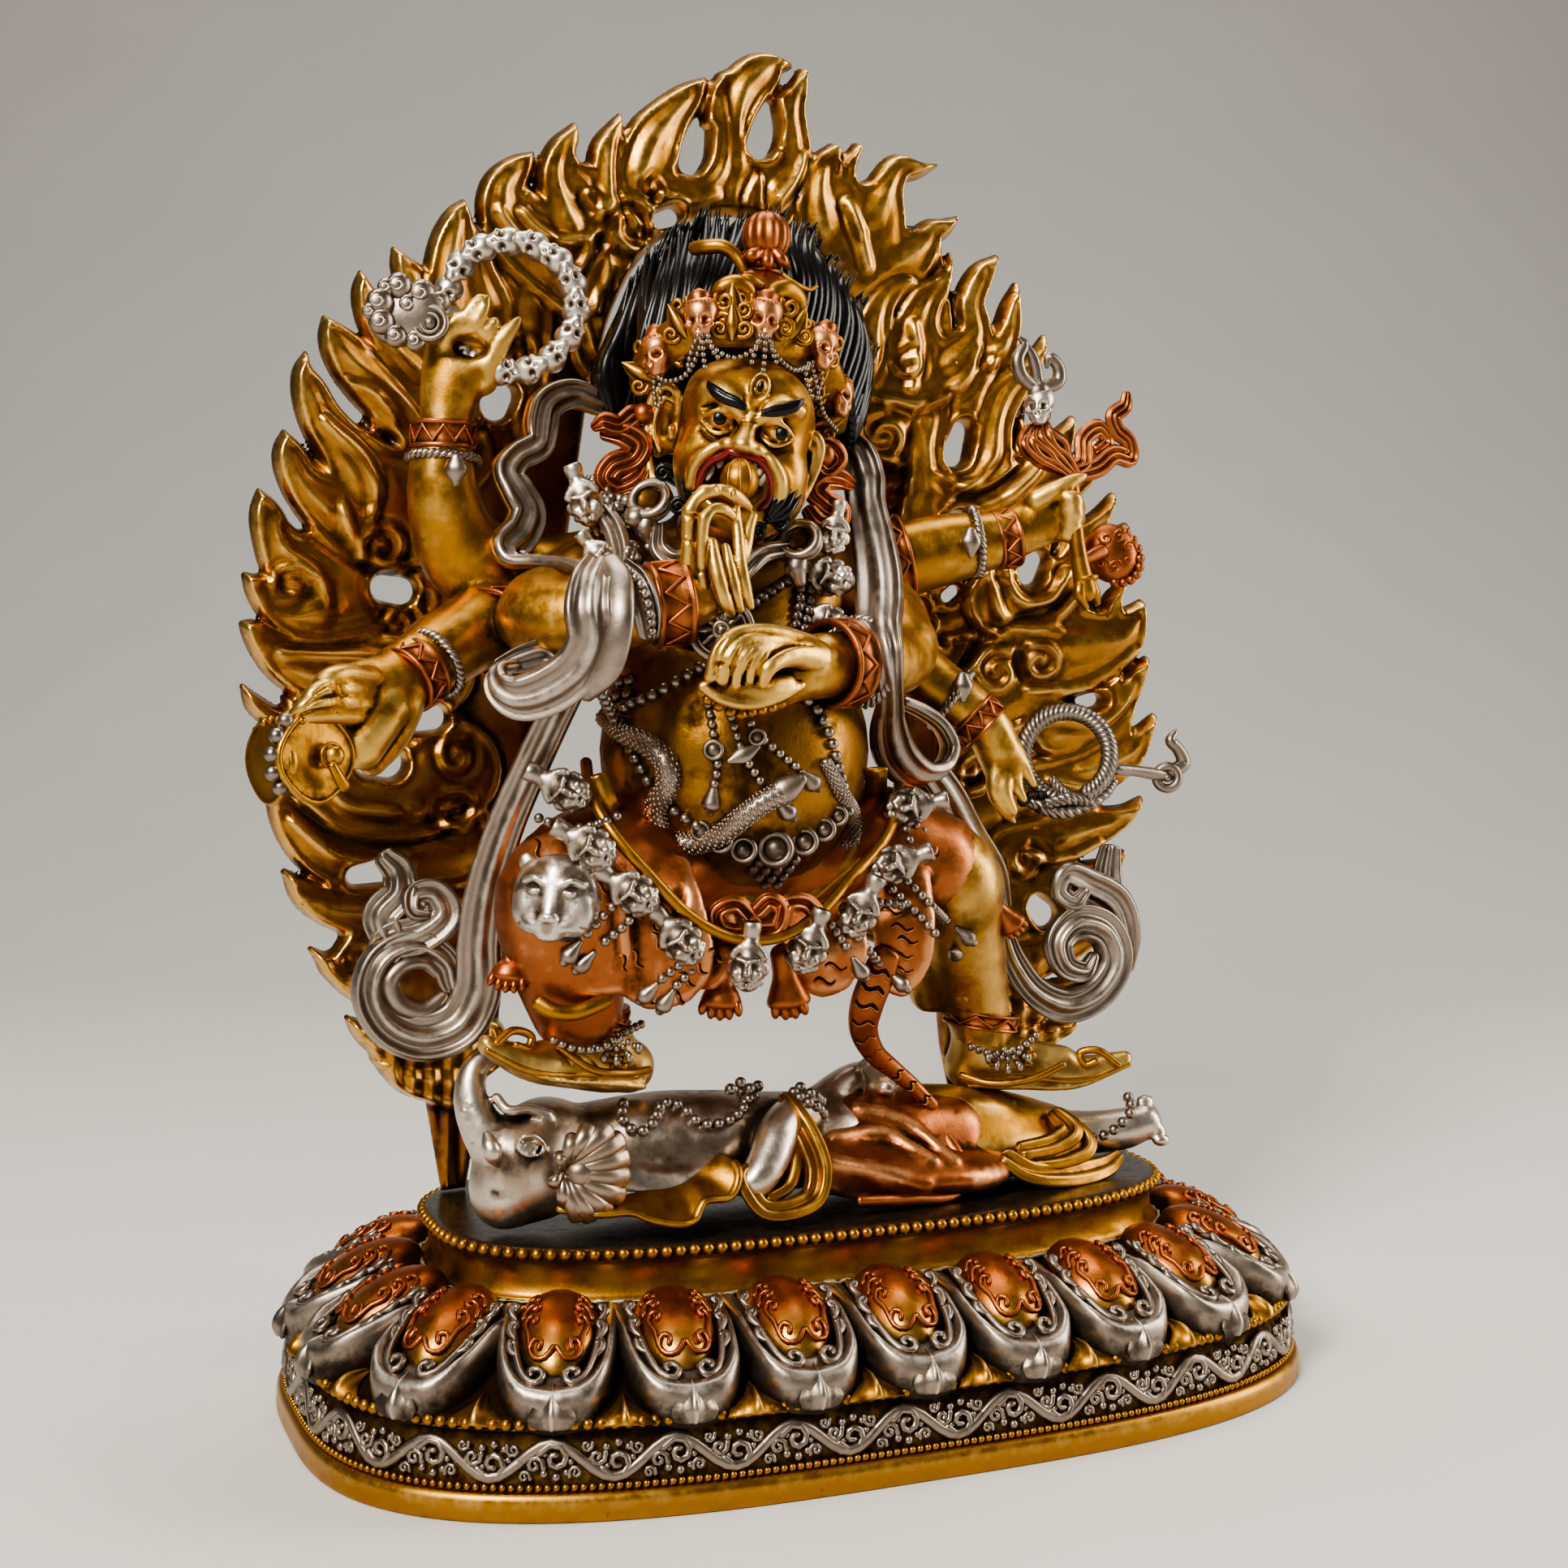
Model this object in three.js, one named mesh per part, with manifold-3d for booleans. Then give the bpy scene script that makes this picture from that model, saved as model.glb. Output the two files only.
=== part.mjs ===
// A six-armed mahakala figure with its trampled elephant-headed figure, pierced flame aureole,
// trident staff, rope noose and lotus plinth. Millimetres, +Z up, +X to the viewer's right,
// -Y towards the viewer. The origin is the centre of the plinth's underside.
import * as THREE from 'three';
import { mergeVertices } from 'three/addons/utils/BufferGeometryUtils.js';
import Module from 'manifold-3d';

const wasm = await Module();
wasm.setup();

// Driving dimensions
const FIGURE_HEIGHT = 232;        // from the deck to the tip of the hair
const DECK_MARGIN = 4.5;          // deck left free round what stands on it
const LOTUS_SPREAD = 33;          // from the deck's edge out to the base rim
const RIM_HEIGHT = 6;             // smooth base rim
const FRIEZE_HEIGHT = 12;         // band of vine scroll
const BEAD_ROW = 2.8;             // bead row above the frieze
const LOTUS_HEIGHT = 14.5;        // slope that carries the petals
const WAIST_HEIGHT = 9;           // plain concave band under the deck
const DECK_BEAD = 2.7;            // bead row round the deck
const PETAL_COUNT = 22;
const PETAL_THICKNESS = 17;
const AUREOLE_SHEET = 4.5;        // thickness of the pierced sheet between the flames
const FLAME_THICKNESS = 9;        // thickness of one flame tongue at its root
const STAFF_DIAMETER = 4;
const ROPE_DIAMETER = 5.2;
const CLEARANCE = 0.35;           // gap between pieces that touch

// The figures are laid out on a canon: this many parts make the height from deck to hair tip,
// and every place and girth of a free form is given in these parts, from the deck's centre.
const CANON_HEIGHT = 232;
const part = FIGURE_HEIGHT / CANON_HEIGHT;
const FOOTPRINT_HALF_LENGTH = 87;
const FOOTPRINT_HALF_DEPTH = 37.5;

// Sizes worked out from the driving dimensions
const deckHalfLength = FOOTPRINT_HALF_LENGTH * part + DECK_MARGIN;
const deckHalfDepth = FOOTPRINT_HALF_DEPTH * part + DECK_MARGIN;
const baseHalfLength = deckHalfLength + LOTUS_SPREAD;
const baseHalfDepth = deckHalfDepth + LOTUS_SPREAD;
const friezeTop = RIM_HEIGHT + FRIEZE_HEIGHT;
const lotusFoot = friezeTop + BEAD_ROW;
const waistFoot = lotusFoot + LOTUS_HEIGHT;
const waistTop = waistFoot + WAIST_HEIGHT;
const deckTop = waistTop + DECK_BEAD;

// Helpers: points, closed forms and joins
const DEGREE = Math.PI / 180;
const FRONT = new THREE.Vector3(0, -1, 0);
const UP = new THREE.Vector3(0, 0, 1);

function at([x, y, z]) {
  return new THREE.Vector3(x, y, z).multiplyScalar(part);
}

function solid(geometry) {
  geometry.deleteAttribute('normal');
  geometry.deleteAttribute('uv');
  const merged = mergeVertices(geometry, 1e-4);
  return new wasm.Manifold(new wasm.Mesh({
    numProp: 3,
    vertProperties: new Float32Array(merged.attributes.position.array),
    triVerts: new Uint32Array(merged.index.array),
  }));
}

function join(solids) {
  return solids.reduce((whole, piece) => whole.add(piece));
}

function geometryOf(manifold) {
  const mesh = manifold.getMesh();
  const geometry = new THREE.BufferGeometry();
  geometry.setAttribute('position', new THREE.BufferAttribute(new Float32Array(mesh.vertProperties), 3));
  geometry.setIndex(new THREE.BufferAttribute(new Uint32Array(mesh.triVerts), 1));
  return geometry;
}

// A rounded mass: centre and half-sizes in parts, turned by degrees about X, Y and Z. A small one
// has no mesh counts and is an icosahedron.
function blob(centre, radii, { turn = [0, 0, 0], mesh = null, grow = 0 } = {}) {
  const geometry = mesh ? new THREE.SphereGeometry(1, ...mesh) : new THREE.IcosahedronGeometry(1.08, 0);
  geometry.rotateX(Math.PI / 2);
  geometry.scale(...radii.map((radius) => radius * part + grow));
  geometry.applyMatrix4(new THREE.Matrix4().makeRotationFromEuler(
    new THREE.Euler(...turn.map((angle) => angle * DEGREE))));
  const place = at(centre);
  geometry.translate(place.x, place.y, place.z);
  return solid(geometry);
}

// A closed skin over rings of points, each ring running anticlockwise about the way forward
function skin(rings) {
  const sides = rings[0].length;
  const positions = rings.flat().flatMap((point) => point.toArray());
  const faces = [];
  for (let ring = 0; ring < rings.length - 1; ring += 1) {
    for (let side = 0; side < sides; side += 1) {
      const next = (side + 1) % sides;
      const near = ring * sides;
      const far = near + sides;
      faces.push(near + side, near + next, far + next, near + side, far + next, far + side);
    }
  }
  const last = (rings.length - 1) * sides;
  for (let side = 1; side < sides - 1; side += 1) {
    faces.push(0, side + 1, side, last, last + side, last + side + 1);
  }
  const geometry = new THREE.BufferGeometry();
  geometry.setAttribute('position', new THREE.Float32BufferAttribute(positions, 3));
  geometry.setIndex(faces);
  return solid(geometry);
}

// A limb, lock, ribbon or flame: a section swept along a smooth curve through the given points.
// Each girth is a half-width, or a pair of half-width and half-depth, in parts. The section's
// depth faces one way all along, or is carried round the bends from where it starts.
function sweep(points, girths, {
  sides = 8, steps = 2 * (points.length - 1), facing = FRONT, carried = false, grow = 0,
} = {}) {
  const curve = new THREE.CatmullRomCurve3(points.map(at), false, 'centripetal');
  const even = girths.length === 1 ? [girths[0], girths[0]] : girths;
  const halves = even.map((girth) => (Array.isArray(girth) ? girth : [girth, girth]));
  const rings = [];
  let front = facing;
  for (let step = 0; step <= steps; step += 1) {
    const share = step / steps;
    const centre = curve.getPoint(share);
    const along = curve.getTangent(share);
    const seen = facing.clone().addScaledVector(along, -facing.dot(along));
    const turned = front.clone().addScaledVector(along, -front.dot(along));
    front = (seen.length() < 0.35 || (carried && step > 0) ? turned : seen).normalize();
    const side = new THREE.Vector3().crossVectors(front, along);
    const place = share * (halves.length - 1);
    const before = Math.min(Math.floor(place), halves.length - 2);
    const [width, depth] = [0, 1].map((axis) => part * THREE.MathUtils.lerp(
      halves[before][axis], halves[before + 1][axis], place - before) + grow);
    const ring = [];
    for (let corner = 0; corner < sides; corner += 1) {
      const angle = (corner / sides) * 2 * Math.PI;
      ring.push(centre.clone()
        .addScaledVector(side, Math.cos(angle) * width)
        .addScaledVector(front, Math.sin(angle) * depth));
    }
    rings.push(ring);
  }
  return skin(rings);
}

// Points on a spiral that winds inwards, seen from the front
function spiral(centre, radius, turns, startAngle, { count = 7, core = 0.25 } = {}) {
  return Array.from({ length: count }, (_, index) => {
    const share = index / (count - 1);
    const angle = (startAngle + turns * 360 * share) * DEGREE;
    const reach = radius * THREE.MathUtils.lerp(1, core, share);
    return [centre[0] + reach * Math.cos(angle), centre[1], centre[2] + reach * Math.sin(angle)];
  });
}

// Plinth: rings of a squared oval plan, petals on the slope
const PLAN_SQUARENESS = 3;
const PETAL_SPREAD = 0.4;          // where round the slope the petals are counted off evenly

function planPoint(spread, angle) {
  const halfLength = THREE.MathUtils.lerp(baseHalfLength, deckHalfLength, spread);
  const halfDepth = THREE.MathUtils.lerp(baseHalfDepth, deckHalfDepth, spread);
  const bend = (value) => Math.sign(value) * Math.abs(value) ** (2 / PLAN_SQUARENESS);
  return new THREE.Vector2(halfLength * bend(Math.cos(angle)), halfDepth * bend(Math.sin(angle)));
}

// Angles whose plan points stand evenly along the outline
function evenAngles(count, spread) {
  const fine = 720;
  const lengths = [0];
  for (let step = 1; step <= fine; step += 1) {
    const before = planPoint(spread, ((step - 1) / fine) * 2 * Math.PI);
    const after = planPoint(spread, (step / fine) * 2 * Math.PI);
    lengths.push(lengths[step - 1] + before.distanceTo(after));
  }
  return Array.from({ length: count }, (_, index) => {
    const wanted = (index / count) * lengths[fine];
    return (lengths.findIndex((length) => length >= wanted) / fine) * 2 * Math.PI;
  });
}

const planCorners = evenAngles(PETAL_COUNT * 2, PETAL_SPREAD);

function plinthBody() {
  const shoulder = 1.6;
  // Each row is a share of the way from the base rim in to the deck's edge, and a height
  const profile = [
    [0, 0], [0, RIM_HEIGHT - shoulder], [0.06, RIM_HEIGHT],
    [0.13, friezeTop], [0.1, friezeTop + BEAD_ROW / 2], [0.14, lotusFoot],
    [1, waistFoot], [1.03, (waistFoot + waistTop) / 2], [1, waistTop],
    [0.975, waistTop + DECK_BEAD / 2], [1.01, deckTop],
  ];
  return skin(profile.map(([spread, height]) => planCorners.map((angle) => {
    const point = planPoint(spread, angle);
    return new THREE.Vector3(point.x, point.y, height);
  })));
}

// Petals stand on every second of the plan's corners, one of them in the middle of the front, so
// that each spans two facets of the slope
function plinthPetals() {
  const middleSpread = 0.56;
  const petalShare = 0.47;         // half of a petal against the room it has, along and across
  const sunk = 0.12;               // of its thickness
  const slope = Math.atan2(LOTUS_HEIGHT, LOTUS_SPREAD);
  const halfLength = petalShare * Math.hypot(LOTUS_HEIGHT, LOTUS_SPREAD);
  const middle = THREE.MathUtils.lerp(lotusFoot, waistFoot, middleSpread) - PETAL_THICKNESS * sunk;
  const places = planCorners.map((angle) => planPoint(middleSpread, angle));
  const petals = Array.from({ length: PETAL_COUNT }, (_, index) => {
    const corner = 2 * index + 1;
    const point = places[corner];
    const rim = planPoint(0, planCorners[corner]);
    const room = places[corner - 1].distanceTo(places[(corner + 1) % places.length]);
    const petal = new THREE.OctahedronGeometry(1, 1);
    petal.scale(halfLength, room * petalShare, PETAL_THICKNESS / 2);
    petal.rotateY(slope);
    petal.rotateZ(Math.atan2(rim.y - point.y, rim.x - point.x));
    petal.translate(point.x, point.y, middle);
    return solid(petal);
  });
  return join(petals);
}

function lotusPlinth() {
  return plinthBody().add(plinthPetals());
}

// Aureole: a cupped, pierced sheet of flames standing on two stems behind the figure. It is laid
// out flat about its own centre and then bent towards the viewer at its sides and its top.
const AUREOLE_CENTRE = [-11.5, 28, 0];   // on the deck
const WREATH_HALF_WIDTH = 117;
const WREATH_MIDDLE = 120;         // height of the widest place
const WREATH_RISE = 0.3;           // how much further the top reaches than the sides
const CUP_SIDES = 14;
const CUP_TOP = 9;
const STEM_SPREAD = 69.5;
const STEM_HALF_WIDTH = 3.5;
const ARCH_HALF_WIDTH = 36;        // opening behind the figure's head
const ARCH_SPRING = 190;
const ARCH_REACH = 0.7627;         // how far its top reaches, as a share of the wreath there
// Clumps of flames round the wreath: angle of the middle, number of tongues, how far they fan out
const CLUMPS = [
  [-38, 2, 9], [-24, 2, 10], [-9, 2, 10], [7, 2, 8], [23, 3, 14], [47, 4, 22], [66, 3, 14],
  [87, 3, 13], [108, 3, 16], [121, 2, 6], [133, 2, 9], [144, 2, 7], [156, 2, 9], [168, 2, 8],
  [182, 2, 8], [197, 2, 11], [211, 2, 10],
];
const TONGUE_STAGGER = 0.03;       // every second tongue of a clump is this share shorter
// Openings through the sheet: angle, share of the reach there, then half-width and half-height as
// shares of the wreath's half-width
const OPENINGS = [
  [129, 0.70, 0.043, 0.051], [163, 0.71, 0.051, 0.034], [-179, 0.68, 0.051, 0.030],
  [-170, 0.74, 0.051, 0.034], [-152, 0.77, 0.051, 0.026], [51, 0.61, 0.034, 0.077],
  [23, 0.70, 0.043, 0.043], [-36, 0.74, 0.043, 0.043],
];

function wreathReach(angle) {
  return WREATH_HALF_WIDTH * (1 + WREATH_RISE * Math.max(0, Math.sin(angle)) ** 3.5);
}

function onWreath(degrees, share, lift = 0) {
  const angle = degrees * DEGREE;
  const reach = wreathReach(angle) * share;
  return [reach * Math.cos(angle), -lift, WREATH_MIDDLE + reach * Math.sin(angle)];
}

function clumpTips([middle, count, fan]) {
  return Array.from({ length: count }, (_, index) => ({
    angle: middle + (index / (count - 1) - 0.5) * fan,
    reach: 1 - TONGUE_STAGGER * (index % 2),
    first: index === 0,
  }));
}

// The flames' outline: every tongue swells on its lower flank and is hollow under its tip, which
// so hooks upwards
function flameOutline() {
  const swell = { way: 0.5, reach: 0.93 };     // way from the tip to the next valley
  const hollow = { way: 0.12, reach: 0.9 };
  const valley = { clump: 0.78, tongue: 0.85 };
  const endGap = 4;                            // half-gap in degrees outside the first and last tip
  const tips = CLUMPS.flatMap(clumpTips);
  return tips.flatMap((tip, index) => {
    const before = index > 0 ? (tip.angle - tips[index - 1].angle) / 2 : endGap;
    const after = index < tips.length - 1 ? (tips[index + 1].angle - tip.angle) / 2 : endGap;
    const [first, second] = Math.cos(tip.angle * DEGREE) >= 0 ? [swell, hollow] : [hollow, swell];
    return [
      onWreath(tip.angle - before, tip.first ? valley.clump : valley.tongue),
      onWreath(tip.angle - first.way * before, first.reach),
      onWreath(tip.angle, tip.reach),
      onWreath(tip.angle + second.way * after, second.reach),
    ];
  });
}

function traced(target, points) {
  points.forEach(([x, z], index) => {
    if (index === 0) target.moveTo(x * part, z * part);
    else target.lineTo(x * part, z * part);
  });
  return target;
}

function wreathSheet() {
  const foot = CLEARANCE / part;
  const stem = [[STEM_SPREAD + 8, 26], [STEM_SPREAD + STEM_HALF_WIDTH, foot],
    [STEM_SPREAD - STEM_HALF_WIDTH, foot], [STEM_SPREAD - 10, 26], [52, 90], [43, 140]];
  const archSteps = 8;
  const [, , archTop] = onWreath(90, ARCH_REACH);
  const arch = Array.from({ length: archSteps + 1 }, (_, step) => {
    const angle = (Math.PI * step) / archSteps;
    return [ARCH_HALF_WIDTH * Math.cos(angle), ARCH_SPRING + (archTop - ARCH_SPRING) * Math.sin(angle)];
  });
  const outline = [
    ...flameOutline().map(([x, , z]) => [x, z]),
    ...stem.map(([x, z]) => [-x, z]),
    ...arch.reverse(),
    ...stem.slice().reverse(),
  ];
  const shape = traced(new THREE.Shape(), outline);
  const corners = 5;
  OPENINGS.forEach(([degrees, share, halfWidth, halfHeight]) => {
    const [x, , z] = onWreath(degrees, share);
    const ring = Array.from({ length: corners }, (_, corner) => {
      const angle = (corner / corners) * 2 * Math.PI;
      return [x + WREATH_HALF_WIDTH * halfWidth * Math.cos(angle),
        z + WREATH_HALF_WIDTH * halfHeight * Math.sin(angle)];
    });
    shape.holes.push(traced(new THREE.Path(), ring));
  });
  const sheet = new THREE.ExtrudeGeometry(shape, { depth: AUREOLE_SHEET, bevelEnabled: false, steps: 1 });
  sheet.translate(0, 0, -AUREOLE_SHEET / 2);
  sheet.rotateX(Math.PI / 2);
  return solid(sheet);
}

// The raised body of a clump licks up from the sheet, swings out and turns towards its tips
function flameBody([middle, count]) {
  const side = Math.cos(middle * DEGREE) < 0 ? -1 : 1;
  const upright = Math.abs(Math.cos(middle * DEGREE));
  const root = onWreath(middle - side * 20 * upright, 0.66, 1.6);
  const belly = onWreath(middle - side * 10 * upright, 0.76, 3.6);
  const tip = onWreath(middle + side * 2, 0.95, 1.6);
  const depth = FLAME_THICKNESS / 2 / part;
  return sweep([root, belly, tip], [[3, 1], [3.5 + 2.5 * count, depth], [1, 0.8]], { sides: 4, steps: 2 });
}

function curl([middle]) {
  const side = Math.cos(middle * DEGREE) < 0 ? -1 : 1;
  const [x, , z] = onWreath(middle, 0.65);
  const turns = spiral([x, -3, z], 8, side * 0.85, side > 0 ? 100 : 80, { count: 5 });
  return sweep(turns, [[1, 1], [2.6, 2.4], [1.8, 2]], { sides: 3, steps: 4 });
}

function flameAureole() {
  const atTheSides = ([middle], index) => index % 2 === 0 && Math.abs(Math.cos(middle * DEGREE)) > 0.5;
  const curls = CLUMPS.filter(atTheSides).map(curl);
  return bent(geometryOf(join([wreathSheet(), ...CLUMPS.map(flameBody), ...curls])));
}

// Bends the flat wreath into its cup
function bent(geometry) {
  const position = geometry.attributes.position;
  const top = (WREATH_MIDDLE + WREATH_HALF_WIDTH * (1 + WREATH_RISE)) * part;
  const reach = WREATH_HALF_WIDTH * part;
  for (let index = 0; index < position.count; index += 1) {
    const sides = (position.getX(index) / reach) ** 2;
    const height = Math.max(0, position.getZ(index) / top) ** 2;
    position.setY(index, position.getY(index) - (CUP_SIDES * sides + CUP_TOP * height) * part);
  }
  return geometry;
}

// Mahakala: one casting, from the boots up. Right and left are the figure's own, so its right
// arm is on the viewer's left.
const STAFF_LINE = [[60, -6, 190], [63.5, -8, 176], [67, -9, 161], [73, -10, 142]];
const NOOSE_CENTRE = [65, -15, 104];
const NOOSE_RADIUS = 10.5;

// Boot soles: heel, ball and curled toe. The trampled figure is cut to the same soles.
const RIGHT_BOOT = [[-49, -14, 35], [-62, -19, 37.5], [-76, -25, 40], [-86, -28, 45.5]];
const LEFT_BOOT = [[43, -5, 27], [54, -10, 26.5], [67, -15, 25.5], [79, -20, 29]];
const BOOT_GIRTHS = [[5.6, 5.6], [6.6, 6.4], [6, 4.6], [2, 1.8]];

function boots(grow = 0) {
  return [RIGHT_BOOT, LEFT_BOOT].map((line) => sweep(line, BOOT_GIRTHS, { facing: UP, steps: 4, grow }));
}

function trunkAndHead() {
  const torso = [[-20, -6, 66], [-21, -8, 80], [-23, -13, 93], [-24, -15, 108], [-24, -12, 123],
    [-22, -7, 136], [-21, -4, 148], [-22, -5, 158], [-25, -9, 170]];
  const torsoGirths = [[22, 15], [29, 22], [31, 27], [31, 28], [28, 23], [27, 18], [26, 15], [18, 12],
    [12, 11]];
  return [
    sweep(torso, torsoGirths, { sides: 9, steps: torso.length - 1 }),
    blob([-25, -17, 180], [17, 17, 20], { turn: [0, 14, 0], mesh: [8, 6] }),
    blob([-28, -30, 171], [8, 6, 7]),
    blob([-41, -11, 172], [3, 4, 9], { turn: [0, 10, 0] }),
    blob([-10, -11, 171], [4, 4, 9], { turn: [0, 10, 0] }),
  ];
}

// Hair: a flame-like mass swept up behind the crown, with pointed locks round its edge
function hair() {
  const locks = [
    [[-42, 2, 182], [-49, 1, 190], [-47, 0, 205]], [[-34, 3, 204], [-41, 1, 214], [-36, 0, 227]],
    [[-18, 3, 214], [-19, 1, 225], [-11, 0, 232]], [[0, 3, 210], [6, 1, 221], [5, 0, 229]],
    [[14, 3, 192], [20, 1, 202], [21, 0, 214]], [[14, 3, 174], [19, 1, 182], [22, 0, 194]],
  ];
  return [
    blob([-14, 3, 196], [30, 14, 33], { turn: [0, 8, 0], mesh: [8, 5] }),
    ...locks.map((lock) => sweep(lock, [[9, 7], [6, 5], [0.8, 0.8]], { sides: 4, steps: 2 })),
  ];
}

function crown() {
  const skulls = [[-42, -18, 196], [-35, -25, 203], [-22, -27, 204], [-6, -22, 202], [1, -12, 191]];
  return [
    blob([-20, -11, 193], [24, 20, 13], { turn: [0, 14, 0], mesh: [9, 5] }),
    stringOf(skulls, [6, 4.4], [3, 3], -4),
    sweep([[-21, -18, 203], [-18, -15, 214], [-15.5, -13, 218], [-14, -13, 224], [-12.5, -13, 229]],
      [[7, 5], [6, 5], [3, 3], [5.5, 5], [1, 1]], { sides: 5, steps: 4 }),
    sweep([[-19, -13, 216], [-25, -12, 222], [-31, -11, 221]], [[1.8, 1.8]], { sides: 4, steps: 2 }),
  ];
}

// Swellings on one string, for a row of skulls or heads
function stringOf(centres, swell, neck, lift = 0) {
  const stations = centres.flatMap((centre, index) => {
    if (index === 0) return [[centre, swell]];
    const middle = centre.map((value, axis) => (value + centres[index - 1][axis]) / 2);
    return [[[middle[0], middle[1], middle[2] + lift], neck], [centre, swell]];
  });
  return sweep(stations.map(([point]) => point), stations.map(([, girth]) => girth),
    { sides: 5, steps: stations.length - 1 });
}

// An arm is one sweep from the shoulder, over the elbow and the wrist's cuff, to the fingertips
function arm(stations) {
  const line = stations.map(([x, y, z]) => [x, y, z]);
  const girths = stations.map(([, , , girth]) => girth);
  return sweep(line, girths, { sides: 7, steps: line.length - 1, carried: true });
}

function arms() {
  return [
    // The front right hand lifts a morsel to the mouth
    arm([[-44, -4, 148, 13], [-60, -14, 142, 12], [-71, -28, 137, 10.5], [-61, -38, 138.5, 9.5],
      [-50, -39.5, 140.5, 9], [-43, -40, 143, 7], [-35, -40, 150, 7.5], [-32, -38, 159, 6.5],
      [-30, -36, 168, 3.5]]),
    // The raised right hand turns the rosary
    arm([[-46, 0, 148, 12], [-66, 3, 146, 10.5], [-82, 1, 151, 10.5], [-87, -3, 163, 9.4],
      [-89, -5, 172, 9], [-89, -5, 180, 8.6], [-87, -6, 184, 7], [-84, -8, 195, 8], [-79, -10, 207, 2]]),
    // The lower right hand holds the hand drum
    arm([[-44, 2, 143, 11], [-66, 2, 141, 10.5], [-80, -8, 136, 10], [-94, -17, 128.5, 9.4],
      [-101, -20.5, 124.5, 9], [-106, -23, 123, 8], [-116, -28, 119, 9.5], [-124, -30, 112, 5]]),
    // The front left hand lies palm up before the chest
    arm([[6, -3, 148, 12], [17, -12, 138, 11], [14, -24, 128, 10.5], [2, -34, 128, 10],
      [-9, -39, 127.5, 9.4], [-15, -41.5, 127, 9], [-20, -43, 125.5, 7.5], [-31, -45.5, 125, 8],
      [-43, -46, 131, 3]]),
    // The raised left hand holds the trident staff
    arm([[6, 3, 148, 12], [22, 3, 151, 10.5], [38, -1, 155, 9.6], [48, -3.5, 157, 9],
      [54, -4.5, 158.5, 8.8], [58, -5.5, 161, 7.5], [66, -8.5, 165, 8], [70, -9, 171, 3.5]]),
    // The lower left hand lets the rope noose hang
    arm([[6, 1, 143, 11], [20, -1, 132, 9.5], [31, -5, 122, 8.6], [39, -9, 116, 8.2],
      [44, -11.5, 112, 7.8], [47, -12.5, 107, 5.5], [49, -13.5, 99, 5], [51, -14, 89, 1.6]]),
  ];
}

function attributes() {
  const rosary = new THREE.TorusGeometry(12.8 * part, 2.7 * part, 5, 12);
  rosary.rotateX(Math.PI / 2);
  rosary.rotateZ(-8 * DEGREE);
  const ring = at([-74.5, -10, 206]);
  rosary.translate(ring.x, ring.y, ring.z);
  return [
    solid(rosary),
    blob([-95, -7, 204], [10, 3.5, 8], { turn: [0, -20, 0], mesh: [6, 4] }),
    // Hand drum: two bowls mouth outwards
    sweep([[-116, -31, 107.5], [-121, -30.5, 108], [-126, -29.5, 108.5], [-131, -28.5, 109],
      [-136, -27.5, 109.5]], [9.4, 8.8, 5, 8.8, 9.4], { sides: 8, steps: 4 }),
    // Morsel at the mouth, wheel behind the left palm
    blob([-29, -38, 171], [5, 4, 4.5]),
    blob([-40, -47, 136], [5.5, 3, 5.5], { mesh: [8, 3] }),
  ];
}

// The tail hangs free below the tiger skin, into the trampled figure's hand
function tail(grow = 0) {
  return sweep([[6, -24, 64], [13, -21, 56], [10, -19, 42], [12, -18, 33], [19, -16, 29]],
    [[5, 2.4], [5, 2.4], [3.4, 2.2], [3.2, 2.2], [3, 2]], { sides: 4, steps: 5, grow });
}

function leg(stations) {
  const line = stations.map(([x, y, z]) => [x, y, z]);
  const girths = stations.map(([, , , girth]) => girth);
  return sweep(line, girths, { sides: 7, steps: line.length - 1, carried: true });
}

function legsAndSkirt() {
  return [
    leg([[-34, -8, 84, 17], [-52, -18, 81, 17], [-69, -27, 75, 14.5], [-67, -25, 62, 12.5],
      [-62, -20, 48, 9.5], [-60, -18.5, 38, 9.5]]),
    leg([[-4, -4, 84, 16], [16, -10, 81, 15], [33, -14, 75, 13], [38, -11, 60, 12],
      [44, -7, 42, 8.5], [46, -7, 31, 8.5]]),
    ...boots(),
    // Tiger skin: a swag round the hips that hangs over both thighs, with two paws and the tail
    sweep([[-57, -26, 70], [-44, -31, 62], [-22, -31, 64], [2, -28, 63], [22, -20, 70]],
      [[9, 5], [11, 4], [7, 4], [10, 4], [9, 4]], { sides: 6, steps: 4 }),
    sweep([[-40, 8, 76], [-18, 16, 66], [8, 12, 76]], [[9, 5], [17, 5], [9, 5]], { sides: 6, steps: 2 }),
    ...[[-31, -31, 60], [-14, -29, 61]].map(([x, y, z]) => (
      sweep([[x, y, z], [x - 1, y - 1, z - 8], [x, y - 2, z - 13]], [[3, 2], [3, 2.4], [5, 2.6]],
        { sides: 4, steps: 2 }))),
    tail(),
    // Bow at the belt and the animal mask on the knee
    blob([-26, -34, 69], [8, 4, 4]),
    blob([-73, -37, 78], [9, 6, 9.5], { turn: [0, 10, 0], mesh: [7, 5] }),
  ];
}

// Garland of severed heads on a cord, in front from thigh to thigh
function garland() {
  const heads = [[-66, -25, 100], [-63, -35, 88], [-54, -40, 78], [-43, -39, 67], [-28, -38, 62],
    [-14, -37, 63], [0, -33, 70], [15, -26, 81], [22, -14, 94]];
  return [
    stringOf(heads, [5.2, 4.2], [1.4, 1.4], 3),
    sweep([[-40, -38, 91], [-31, -41, 87], [-24, -41, 86], [-16, -39, 88], [-4, -31, 93]],
      [[2.6, 1.8]], { sides: 4, steps: 4 }),
  ];
}

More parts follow.
